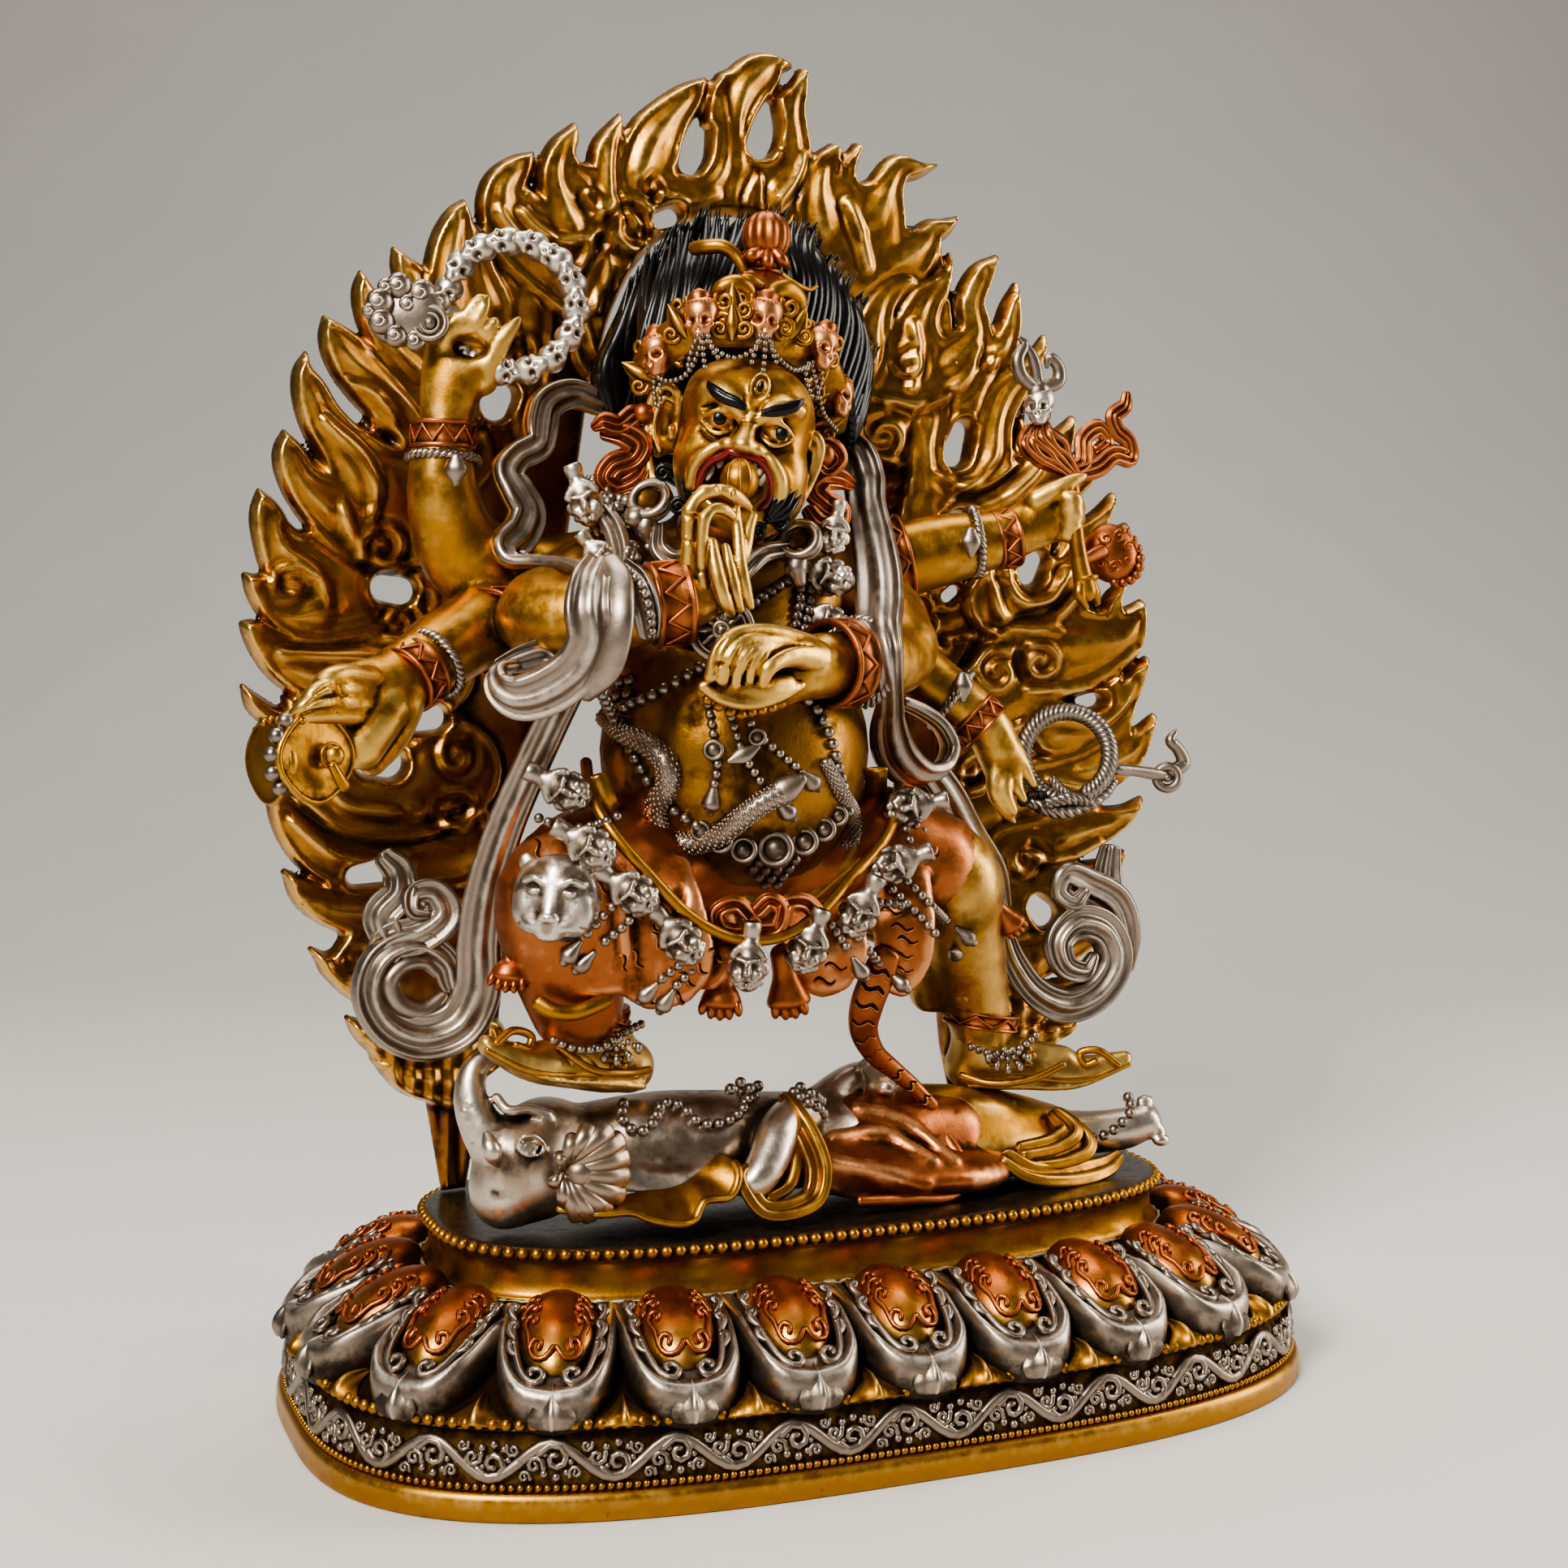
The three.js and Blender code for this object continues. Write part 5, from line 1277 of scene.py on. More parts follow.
# Places where one sees through the sheet
HOLES = [
    [(853, 200, 12), (858, 186, 14), (868, 160, 6)], [(938, 178, 15), (944, 160, 15), (950, 128, 5)],
    [(612, 498, 17), (620, 486, 14)], [(474, 724, 14), (496, 728, 15)], [(520, 886, 14), (536, 884, 14)],
    [(455, 938, 15), (480, 940, 17)], [(440, 1080, 10), (472, 1074, 13)],
    [(1178, 560, 14), (1186, 530, 11)], [(1134, 750, 12), (1140, 766, 12)],
    [(1270, 706, 14), (1278, 690, 12)], [(1278, 1116, 13), (1290, 1128, 15)],
    [(1338, 866, 8), (1352, 862, 8)], [(1178, 640, 8), (1192, 640, 8)], [(816, 270, 9), (830, 266, 10)],
    [(1172, 735, 7), (1180, 728, 7)],
]
# Long folds on the broad places: pixel and half-width in pixels
FOLDS = [
    [(640, 262, 7), (664, 288, 8), (704, 300, 8), (736, 286, 6)],
    [(612, 262, 6), (640, 300, 8), (690, 326, 8)],
    [(724, 300, 6), (716, 330, 7), (690, 352, 6)], [(748, 290, 6), (750, 330, 8), (730, 380, 7)],
    [(400, 520, 8), (440, 556, 9), (462, 600, 9), (456, 640, 6)],
    [(428, 470, 6), (460, 490, 8), (500, 540, 8)],
    [(420, 620, 6), (430, 660, 8), (458, 692, 7), (500, 700, 6)],
    [(340, 640, 6), (352, 676, 7), (384, 700, 7), (404, 740, 6)],
    [(346, 804, 6), (400, 806, 8), (470, 812, 9), (520, 826, 6)],
    [(360, 1012, 7), (410, 1052, 9), (480, 1066, 9)],
    [(372, 984, 6), (430, 1018, 9), (520, 1024, 9), (600, 1000, 6)],
    [(400, 950, 6), (420, 990, 8), (480, 1000, 8)],
    [(1040, 250, 6), (1052, 280, 8), (1064, 330, 8)], [(1120, 400, 6), (1128, 440, 9), (1118, 480, 7)],
    [(1204, 430, 6), (1180, 470, 9), (1130, 500, 9), (1080, 490, 5)],
    [(1150, 586, 6), (1190, 600, 8), (1236, 580, 8), (1262, 540, 5)],
    [(1160, 626, 6), (1216, 622, 9), (1262, 590, 9), (1290, 550, 5)],
    [(1236, 690, 6), (1248, 738, 8), (1284, 742, 8), (1308, 706, 6)],
    [(1212, 700, 6), (1232, 764, 8), (1290, 766, 8), (1326, 730, 6)],
    [(1170, 784, 6), (1230, 780, 9), (1300, 776, 7)],
    [(1264, 850, 6), (1320, 848, 9), (1372, 824, 9), (1396, 800, 5)],
    [(1256, 1050, 6), (1300, 1060, 8), (1350, 1036, 7)],
    [(1290, 960, 6), (1340, 970, 8), (1384, 950, 6)], [(1240, 900, 6), (1300, 884, 8), (1340, 890, 6)],
    [(812, 240, 5), (850, 252, 6), (884, 240, 5)], [(958, 250, 6), (984, 216, 6), (990, 190, 5)],
]


def sheet_outline(relief):
    """How far inside the plain sheet each place is: the wreath's band, the arch cut out, the stems"""
    u, z = relief.u[:, None], relief.z[None, :]
    angle = np.arctan2(z - SHEET_MIDDLE, u)
    # On the left the wreath is closed almost to its tips
    share = 0.86 + 0.07 * np.clip(-2 * np.cos(angle) - 0.4, 0, 1) + 0.02 * np.sin(angle * 34)
    outer = sheet_reach(angle) * share - np.hypot(u, z - SHEET_MIDDLE)
    # The inner edge runs up the stems and closes in the arch behind the head
    heights = np.array([-20, 0, 26, 90, 140, 190, 205, 220, 230, 236])
    inner_half = np.array([66, 66, 59.5, 52, 43, 36, 34, 26, 16, 0])
    inner = np.abs(u) - np.interp(z, heights, inner_half)
    above = z - 236 + 0 * u
    opening = np.where(z > 205, np.maximum(inner * 0.8, above), inner)
    # The stems narrow like carrots from the wreath's lower end down to the deck
    stem_middle = np.interp(z, [0, 26, 60], [69.5, 69.0, 70])
    stem_half = np.interp(z, [0, 26, 44, 60], [3.0, 8.0, 10.5, 12])
    stem = np.where(z < 62, np.minimum(stem_half - np.abs(np.abs(u) - stem_middle), z - 0.35), -9)
    return np.maximum(np.minimum(outer, opening), stem)


def fuller(half):
    """Half-width of a drawn stroke: broad palms, slim tips"""
    return half * (1.06 + PALM * (half > 11)) + FULLER * (half > 4)


def draw_sheet():
    relief = Relief((-130, -1), (130, 282), RELIEF_STEP)
    relief.inside = np.maximum(relief.inside, sheet_outline(relief))
    u, z = relief.u[:, None], relief.z[None, :]
    angle = np.arctan2(z - SHEET_MIDDLE, u)
    share = np.hypot(u, z - SHEET_MIDDLE) / sheet_reach(angle)
    # Long folds that follow the wreath upwards
    folds = np.sin(share * 24 + 1.8 * np.sin(angle * 4) + np.abs(u) * 0.05)
    relief.height = 1.5 + 0.7 * folds + 0.8 * np.clip((0.85 - share) * 4, 0, 1)
    relief.amber = np.clip(0.65 + 0.25 * folds, 0, 1)
    # Plainer inner flames, which the figure mostly hides
    for index, middle in enumerate(np.arange(-44, 226, 15.0)):
        side = -1 if math.cos(math.radians(middle)) < 0 else 1
        upright = abs(math.cos(math.radians(middle)))
        rise = side * (12 * upright + 3)
        shift = 0.03 * (index % 3)
        tongues = []
        for fan, width, tip in ((0.0, 9.5, 0.90), (6.0 * side, 7.0, 0.83)):
            tongues.append([(*sheet_point(middle - rise, 0.58 + shift), width * 0.8),
                            (*sheet_point(middle - 0.5 * rise + fan * 0.5, 0.65 + shift), width),
                            (*sheet_point(middle - 0.1 * rise + fan, 0.74 + shift), width * 0.62),
                            (*sheet_point(middle + 0.45 * rise + fan * 0.8, tip), 0.8)])
        relief.flames(tongues, base=1.5 + 0.5 * (index % 2), dome=1.3, blend=1.5, tip_amber=0.9)
        if index % 2:
            relief.volute(sheet_point(middle - 1.1 * rise, 0.66 + shift), 5.0, 90, 1.35 * side, 1.3, 1.3)
    for number, clump in enumerate(TRACED_CLUMPS):
        strokes = [[(*on_sheet(px, py), fuller(half) / SHEET_PIXELS_PER_MM) for px, py, half in stroke]
                   for stroke in clump]
        relief.flames(strokes, base=2.6 + 0.5 * (number % 2))
        # A soft fold runs up each tongue beside its middle and ends at its tip
        for stroke in strokes:
            if len(stroke) < 5:
                continue
            line = np.array(stroke)
            across = np.gradient(line[:, :2], axis=0)
            across = units(np.stack([-across[:, 1], across[:, 0]], 1))
            moved = line[:, :2] + across * (line[:, 2:3] * 0.25)
            relief.ridge([(*place, 0.5 + 0.3 * width) for place, width
                          in zip(moved[1:-1], line[1:-1, 2])], 0.7, 0.2)
    for stroke in FOLDS:
        relief.ridge([(*on_sheet(px, py), half / SHEET_PIXELS_PER_MM) for px, py, half in stroke], 1.1, 0.5)
    for pixel, radius, start, turns in VOLUTES:
        relief.volute(on_sheet(*pixel), radius, start, turns, width=radius * 0.27)
    for stroke in HOLES:
        relief.hole([(*on_sheet(px, py), half / SHEET_PIXELS_PER_MM) for px, py, half in stroke])
    # Grooves down the stems
    stem_share = np.clip((56 - z) / 20, 0, 1)
    relief.height += stem_share * (0.6 * np.sin((np.abs(u) - 70) * 1.35) + 1.2)
    # The arch stays open behind the head
    clear = sheet_outline(relief)
    arch = np.hypot(u / 34.0, np.maximum(z - 190, 0) / 45.0)
    closed = np.where(z > 186, (arch - 1) * 30, np.where(z > 62, clear + 6, clear + 60))
    relief.inside = np.minimum(relief.inside, np.where(np.abs(u) < 60, closed, 60))
    relief.height = box_blur(box_blur(relief.height, 1), 1)
    return relief


def relief_mesh(relief):
    """Front and back of the sheet, which meet in a thin rounded edge along its outline"""
    inside = relief.inside
    step = relief.step
    soft = box_blur(relief.height, int(2.2 / step))
    soft = box_blur(soft, int(2.2 / step))
    # Painted shade with the wash: darker in hollows of the relief, lighter on its crests
    wash = np.clip((soft - relief.height) * 0.6, -0.4, 1)
    cell = inside[:-1, :-1], inside[1:, :-1], inside[1:, 1:], inside[:-1, 1:]
    used = np.maximum.reduce(cell) > 0
    node = np.zeros(inside.shape, bool)
    for du, dz in ((0, 0), (1, 0), (1, 1), (0, 1)):
        node[du:du + used.shape[0], dz:dz + used.shape[1]] |= used
    # Nodes outside are drawn onto the outline along the slope of the field
    slope_u, slope_z = np.gradient(inside, step)
    steep = np.maximum(slope_u ** 2 + slope_z ** 2, 0.25)
    shift = np.where((inside < 0) & node, -inside / steep, 0)
    shift_u = np.clip(shift * slope_u, -step, step)
    shift_z = np.clip(shift * slope_z, -step, step)
    u = relief.u[:, None] + shift_u
    z = relief.z[None, :] + shift_z
    near_edge = np.sqrt(np.clip(inside / 1.6, 0, 1))
    front = relief.height * near_edge
    back = -(1.5 + 0.42 * box_blur(relief.height, 2)) * near_edge
    rows, columns = np.nonzero(node)
    number = np.full(node.shape, -1)
    number[rows, columns] = np.arange(len(rows))
    boundary = inside[rows, columns] <= 0
    back_number = np.where(boundary, np.arange(len(rows)), 0)
    extra = np.cumsum(~boundary) - 1 + len(rows)
    back_number = np.where(boundary, back_number, extra)
    flat_u, flat_z = u[rows, columns], z[rows, columns]
    bend = SHEET_CENTRE[1] - sheet_depth(flat_u, flat_z)
    face = np.stack([flat_u + SHEET_CENTRE[0], bend - front[rows, columns], flat_z], 1)
    rear = np.stack([flat_u + SHEET_CENTRE[0], bend - back[rows, columns], flat_z], 1)[~boundary]
    stain_and_shade = wash[rows, columns]
    amber = relief.amber[rows, columns]
    a, b = np.nonzero(used)
    corners = np.stack([number[a, b], number[a + 1, b], number[a + 1, b + 1], number[a, b + 1]], 1)
    rear_corners = back_number[corners][:, ::-1]
    faces = [tuple(face_) for face_ in np.vstack([corners, rear_corners]).tolist()]
    points = np.vstack([face, rear])
    stain_and_shade = np.r_[stain_and_shade, 0.08 + 0.8 * stain_and_shade[~boundary]]
    amber = np.r_[amber, 0.15 + 0.5 * amber[~boundary]]
    return points, faces, stain_and_shade, amber


def make_aureole():
    piece = Piece("flames", ["flame_aureole"], "flame_aureole")
    piece.add(relief_mesh(draw_sheet()), FLAME_GOLD)
    made = piece.make()
    reduce_faces(made, FLAME_TRIANGLES)


def reduce_faces(piece, most):
    """Fewer triangles where the surface is even"""
    count = sum(len(face.vertices) - 2 for face in piece.data.polygons)
    if count <= most:
        return
    modifier = piece.modifiers.new("fewer", "DECIMATE")
    modifier.ratio = most / count
    bpy.context.view_layer.objects.active = piece
    with bpy.context.temp_override(object=piece, active_object=piece, selected_objects=[piece]):
        bpy.ops.object.modifier_apply(modifier=modifier.name)


make_aureole()


# Mahakala's skin: torso, legs, boots and six arms. Right and left are the figure's own.

RIGHT_BOOT = [(-49, -14, 35), (-62, -19, 37.5), (-76, -25, 40), (-86, -28, 45.5)]
LEFT_BOOT = [(43, -5, 27), (54, -10, 26.5), (67, -15, 25.5), (79, -20, 29)]


def torso_clay():
    clay = Clay((-100, -50, 18), (100, 22, 172), 0.72)
    for centre, radii, blend in (
            ((-20, -6, 80), (27, 17, 19), 6), ((-23, -13.5, 107), (31.5, 28, 31), 8),
            ((-23, -8, 130), (27, 19, 22), 8), ((-21, -4, 149), (28, 15, 13), 6),
            ((-46, -3, 148), (11, 11, 10), 5), ((8, -1, 149), (10.5, 10.5, 10), 5),
            ((-35, -15, 140), (12, 8, 9), 3), ((-9, -14, 142), (12, 8, 9), 3)):
        clay.lump(centre, radii, blend=blend)
    clay.stroke([(-22, -5, 155, 11), (-25, -9, 172, 10)], blend=4)
    # Folds under the breasts and beside the belly
    clay.stroke([(-49, -21, 137, 0.6), (-37, -26.5, 131, 0.9), (-26, -27, 133, 0.5)], cut=True, blend=1.5)
    clay.stroke([(-19, -26, 134, 0.5), (-8, -25.5, 132, 0.9), (3, -20, 138, 0.6)], cut=True, blend=1.5)
    # Left leg: knee, shin and calf bare
    clay.stroke([(-4, -4, 84, 15), (16, -10, 81, 14), (33, -14, 76, 11.5), (38, -11.5, 61, 10),
                 (43, -8, 45, 8.4), (46, -7, 33, 7.2)], blend=3)
    clay.lump((34, -17, 73), (8.5, 8, 9.5), turn=(0, 20, 0), blend=3)
    clay.stroke([(37, -19, 66, 2.0), (41, -15.5, 52, 1.6), (45, -12, 39, 1.0)], blend=4)
    clay.lump((35, -2, 52), (7, 7, 12), turn=(0, 14, 0), blend=4)
    # Right leg under the tiger skin, its ankle bare
    clay.stroke([(-52, -18, 78, 13), (-66, -25, 72, 12), (-65, -24, 60, 10), (-61, -20, 47, 8),
                 (-59, -18, 38, 7.2)], blend=3)
    return clay


def boots_clay():
    """Felt boots with turned-up toes, thick soles and an edged upper"""
    clay = Clay((-96, -40, 20), (88, 8, 54), 0.6)
    widths = (6.0, 6.6, 5.6, 2.2)
    depths = (6.2, 5.6, 4.0, 1.8)
    for line in (RIGHT_BOOT, LEFT_BOOT):
        clay.stroke([(x, y, z, w, d) for (x, y, z), w, d in zip(line, widths, depths)],
                    facing=UP, blend=1.5, carried=True)
        sole = [(x, y, z - d * 0.62, w + 0.7, 1.5) for (x, y, z), w, d in zip(line, widths, depths)]
        clay.stroke(sole, facing=UP, blend=0.3, carried=True)
    clay.stroke([(-59, -18, 44, 7.6), (-55, -16, 38, 7.4), (-62, -19.5, 38, 5.6), (-72, -24, 40, 4.2)],
                blend=2)
    clay.stroke([(45.5, -7, 38, 7.6), (46.5, -7, 30, 7.4), (54, -10.5, 29, 5.4), (64, -14.5, 28, 4.2)],
                blend=2)
    return clay


def boot_trim(piece):
    """Rolled edges, a flower on the instep and curled lines over the toes"""
    for line in (RIGHT_BOOT, LEFT_BOOT):
        rows = []
        for (x, y, z), w in zip(line, (6.6, 7.2, 6.0, 2.2)):
            rows.append((x - 0.2, y - w * 0.92, z - 1.2, 0.85, 0.7))
        piece.add(loft(rows, facing=FRONT, sides=6), GOLD, wash=-0.15)
    for px, py, y, size in ((762, 1305, -27, 3.2), (1262, 1302, -17.5, 3.4), (1225, 1305, -14.5, 2.2)):
        centre = seen(px, py, y)
        petals = []
        for index in range(6):
            angle = index * math.pi / 3
            away = ACROSS * math.cos(angle) + UPRIGHT * math.sin(angle)
            petals.append(ellipsoid(centre + away * size * 0.55, (size * 0.42, size * 0.3, size * 0.42),
                                    segments=7, rings=5))
        for petal in petals:
            piece.add(petal, OLD_GOLD, wash=-0.1)
        piece.add(ellipsoid(centre + BACK * 0.6, (size * 0.3,) * 3, segments=7, rings=5), OLD_GOLD)
    for rows in ([(612, 1285, -31), (632, 1270, -29), (655, 1278, -27), (650, 1292, -28),
                  (636, 1288, -29)],
                 [(1378, 1312, -24), (1352, 1294, -22), (1330, 1298, -20), (1338, 1312, -21),
                  (1350, 1308, -22)],
                 [(690, 1290, -28), (730, 1318, -30), (770, 1322, -28), (800, 1318, -22)],
                 [(1185, 1325, -12), (1220, 1335, -17), (1270, 1330, -21), (1310, 1312, -22)]):
        piece.add(loft([(*seen(*row), 0.95, 0.8) for row in rows], facing=BACK, sides=6), GOLD, wash=-0.1)


# Arms from the shoulder to the wrist: x, y, z, radius
ARMS = [
    [(-44, -4, 148, 12.4), (-60, -14, 142, 11.4), (-71, -27, 137, 9.6), (-61, -37, 138.5, 8.6),
     (-50, -39, 140.5, 7.6), (-43, -40, 142, 6)],
    [(-46, 0, 148, 11.4), (-66, 3, 146, 10), (-82, 1, 150, 9.8), (-88, -3, 161, 8.6), (-89.5, -5, 172, 7),
     (-88, -5.5, 181, 5.6), (-86.5, -6, 186, 5.2)],
    [(-44, 2, 143, 10.4), (-66, 2, 141, 9.8), (-80, -8, 136, 9.2), (-94, -17, 129, 7.8),
     (-103, -21, 125, 6.4), (-108, -24, 122.5, 5.6)],
    [(6, -3, 148, 11.4), (16, -12, 138, 9.2), (13, -24, 129, 8.6), (2, -34, 128, 7.9),
     (-9, -39, 127.5, 7.2), (-17, -42, 126.5, 6.4)],
    [(6, 3, 148, 11.4), (22, 3, 151, 9.8), (38, -1, 155, 8.6), (48, -3.5, 157, 7), (55, -5, 159.5, 5.6)],
    [(6, 1, 143, 10.2), (20, -1, 132, 8.8), (31, -5, 122, 7.6), (39, -9, 116, 6.6), (44, -11.5, 111.5, 5.4),
     (46.5, -12.5, 106, 4.8)],
]
# Hands, in pixels of the photograph: px, py, depth and a radius, or a half-width and half-depth
MOUTH_HAND = [
    [(834, 748, -38.5, 6.0), (858, 746, -41, 4.8), (880, 738, -42, 3.8)],
    [(854, 742, -41, 3.6), (849, 708, -42, 2.5), (849, 676, -43, 1.8), (848, 650, -43.8, 1.5),
     (850, 630, -44.2, 1.75)],
    [(850, 630, -44.2, 1.7), (857, 616, -44.6, 1.4), (868, 607, -44.8, 1.7)],
    [(868, 607, -44.8, 1.7), (886, 604, -44.6, 1.4), (902, 609, -44, 1.6), (914, 617, -43, 1.35),
     (923, 625, -42, 0.9)],
    [(866, 726, -43.5, 2.2), (864, 692, -45.0, 1.5), (865, 660, -46, 1.3), (868, 638, -46.2, 1.5)],
    [(868, 638, -46.2, 1.5), (878, 627, -46.2, 1.25), (892, 628, -45.6, 1.35), (903, 636, -44.8, 1.0)],
    [(877, 668, -46.2, 1.2), (880, 690, -47.2, 1.6), (886, 718, -48, 1.8), (894, 742, -47.6, 1.6),
     (901, 756, -46.5, 1.0)],
    [(894, 674, -45, 1.0), (899, 700, -46, 1.3), (906, 730, -46.5, 1.3), (913, 752, -46, 0.8)],
    [(906, 630, -43, 1.2), (909, 654, -44, 1.3), (912, 690, -45.5, 1.4), (918, 722, -46, 1.4),
     (925, 748, -45.5, 0.9)],
    [(928, 636, -41.5, 1.1), (923, 652, -42.5, 1.3), (920, 672, -44, 1.3), (915, 694, -45, 1.2)],
]
MOUTH_CREASES = [[(858, 728), (857, 700), (857, 668), (858, 640)],
                 [(873, 664), (872, 690), (876, 722), (886, 752)],
                 [(891, 672), (892, 700), (899, 728), (908, 752)],
                 [(841, 668), (848, 666), (856, 667)],
                 [(842, 634), (850, 636), (858, 634)], [(860, 706), (866, 704), (872, 706)],
                 [(884, 596), (886, 603), (886, 611)], [(903, 602), (901, 610), (898, 618)]]
# The front left hand, palm up over the bowl
PALM_HAND = [
    [(1012, 820, -40, 7.0, 6.0), (972, 828, -42, 6.8, 5.4), (930, 838, -43, 7.8, 4.8),
     (896, 842, -44, 6.2, 4.2)],
    [(996, 798, -44, 3.0), (966, 784, -47.5, 2.2), (934, 778, -49.5, 1.8), (904, 783, -51, 1.7),
     (885, 802, -51.5, 1.6), (875, 834, -50.5, 1.4)],
    [(974, 794, -48, 2.0), (944, 789, -50.5, 1.7), (916, 791, -52, 1.6), (899, 810, -52.5, 1.5),
     (890, 838, -50.8, 1.4)],
    [(960, 800, -49.5, 1.7), (938, 799, -52, 1.5), (920, 806, -53, 1.4), (911, 822, -52.4, 1.4),
     (906, 842, -51, 1.2)],
    [(948, 808, -51, 1.4), (936, 810, -52.6, 1.3), (927, 824, -52.2, 1.3), (922, 844, -50.6, 1.1)],
    [(1004, 812, -44, 4.4), (980, 806, -48, 3.2), (960, 812, -51, 2.2), (946, 824, -52.4, 1.8),
     (940, 840, -51.6, 1.3)],
    [(866, 846, -49, 1.2), (890, 862, -50.5, 1.3), (924, 868, -51, 1.3), (958, 860, -50, 1.2),
     (988, 844, -48, 1.0)],
    [(878, 846, -47.5, 2.4), (904, 852, -48.6, 3.2), (936, 852, -48.8, 3.4), (966, 846, -47.6, 3.0)],
]
PALM_CREASES = [[(896, 786), (884, 804), (880, 830)], [(914, 792), (904, 812), (898, 840)],
                [(930, 798), (918, 816), (913, 842)], [(944, 804), (934, 820), (930, 844)],
                [(1000, 796), (974, 796), (954, 804), (942, 816)],
                [(880, 814), (888, 818), (894, 816)], [(896, 820), (902, 823), (908, 821)]]
# The lower right fist round the drum
DRUM_HAND = [
    [(508, 836, -23, 5.8, 5.2), (472, 855, -26, 8.2, 5.4), (442, 866, -28, 8.6, 5.0)],
    [(456, 838, -29.4, 2.7), (424, 832, -33.4, 2.5), (402, 838, -35.4, 2.2), (388, 850, -34.6, 1.6)],
    [(450, 851, -30.4, 2.6), (414, 848, -35.6, 2.4), (388, 855, -37.6, 2.1), (374, 868, -36.4, 1.5)],
    [(450, 866, -30.8, 2.6), (406, 864, -36.6, 2.3), (378, 870, -38.4, 2.0), (363, 880, -37.4, 1.4)],
    [(450, 880, -30.2, 2.6), (402, 880, -35.6, 2.2), (369, 884, -37.4, 1.8), (354, 892, -36.4, 1.3)],
    [(492, 866, -25, 5.4), (480, 905, -25, 4.4), (458, 938, -26, 3.2)],
    [(474, 868, -27, 6.0), (458, 896, -28.5, 5.4), (446, 922, -29, 4.6)],
]
DRUM_CREASES = [[(430, 842), (416, 842), (402, 846), (386, 857)],
                [(426, 857), (410, 857), (390, 862), (374, 874)],
                [(424, 873), (404, 873), (380, 877), (362, 887)]]
DRUM_CREASES += [[(px, py - 6), (px + 3, py), (px + 8, py + 7)]
                 for px in (408, 413, 418) for py in (850, 865)]
HAND_VOXEL = 0.34
HANDS = [
    # The raised right hand, fingers into the rosary
    [(548, 508, -6, 5.4, 4.8), (556, 470, -7, 7.0, 4.4), (567, 432, -8, 7.6, 3.6)],
    [(549, 432, -8, 2.6), (553, 408, -10, 2.0), (562, 392, -11, 1.4)],
    [(558, 425, -8.5, 2.3), (572, 394, -11, 1.8), (584, 376, -12, 1.5), (592, 365, -12.5, 0.9)],
    [(574, 425, -9, 2.2), (585, 400, -12, 1.8), (597, 380, -13, 1.3), (601, 366, -13, 0.8)],
    [(588, 430, -9, 2.2), (600, 410, -12, 1.8), (610, 396, -13, 1.2)],
    [(594, 468, -9, 3.6), (607, 440, -11, 2.7), (621, 416, -12.5, 2.1), (633, 401, -13, 1.5),
     (641, 391, -13.5, 0.7)],
    # The raised left hand round the staff
    [(1246, 662, -5, 5.4, 5.0), (1280, 640, -7, 6.8, 4.8), (1302, 628, -8, 6.6, 4.4)],
    [(1278, 616, -9, 3.2), (1306, 600, -12, 2.2), (1322, 592, -13, 1.7), (1337, 586, -13.5, 0.9)],
    [(1298, 612, -9, 2.6), (1322, 616, -14, 2.3), (1330, 626, -12, 1.7)],
    [(1300, 628, -9, 2.6), (1323, 632, -14, 2.3), (1330, 640, -12, 1.6)],
    [(1300, 642, -9, 2.5), (1321, 647, -13.5, 2.1), (1328, 654, -12, 1.5)],
    [(1298, 655, -8.5, 2.2), (1316, 660, -12.5, 1.8), (1322, 667, -11, 1.2)],
    # The lower left hand, fingers down
    [(1216, 896, -12, 5.2, 4.6), (1230, 925, -13, 5.6, 4.0), (1238, 945, -14, 5.4, 3.2)],
    [(1228, 948, -14.5, 2.3), (1225, 975, -15, 2.0), (1239, 1000, -15.5, 1.5), (1250, 1013, -15.5, 0.8)],
    [(1239, 948, -15, 2.3), (1238, 976, -16.5, 1.9), (1249, 1000, -17, 1.2)],
    [(1250, 940, -14.5, 2.2), (1252, 966, -16, 1.7), (1262, 986, -17, 1.0)],
    [(1250, 922, -14, 2.2), (1262, 945, -15.5, 1.7), (1274, 968, -16, 1.0)],
]


def lay_finger(clay, line, blend):
    """One row of a hand: a palm or wrist where the row has five numbers, a finger where it has four"""
    rows = seen_rows(line)
    if len(rows[0]) == 5:
        clay.stroke(rows, facing=BACK, blend=1.5)
    else:
        clay.stroke(rows, blend=blend)


def near_hand(lines, creases):
    """A hand close to the camera, finer than the arm that it grows from"""
    corners = np.array([row[:3] for line in lines for row in seen_rows(line)])
    clay = Clay(tuple(corners.min(axis=0) - 9), tuple(corners.max(axis=0) + 9), HAND_VOXEL)
    for line in lines:
        lay_finger(clay, line, 0.3)
    cuts = [[met(clay, px, py, -0.1) for px, py in line] for line in creases]
    for line in cuts:
        places = [(*point, 0.4 if 0 < index < len(line) - 1 else 0.22)
                  for index, point in enumerate(line) if point is not None]
        if len(places) > 1:
            clay.stroke(places, cut=True, blend=0.3)
    return clay.mesh(adaptivity=0.1, cavity=1.0, strength=1.1)


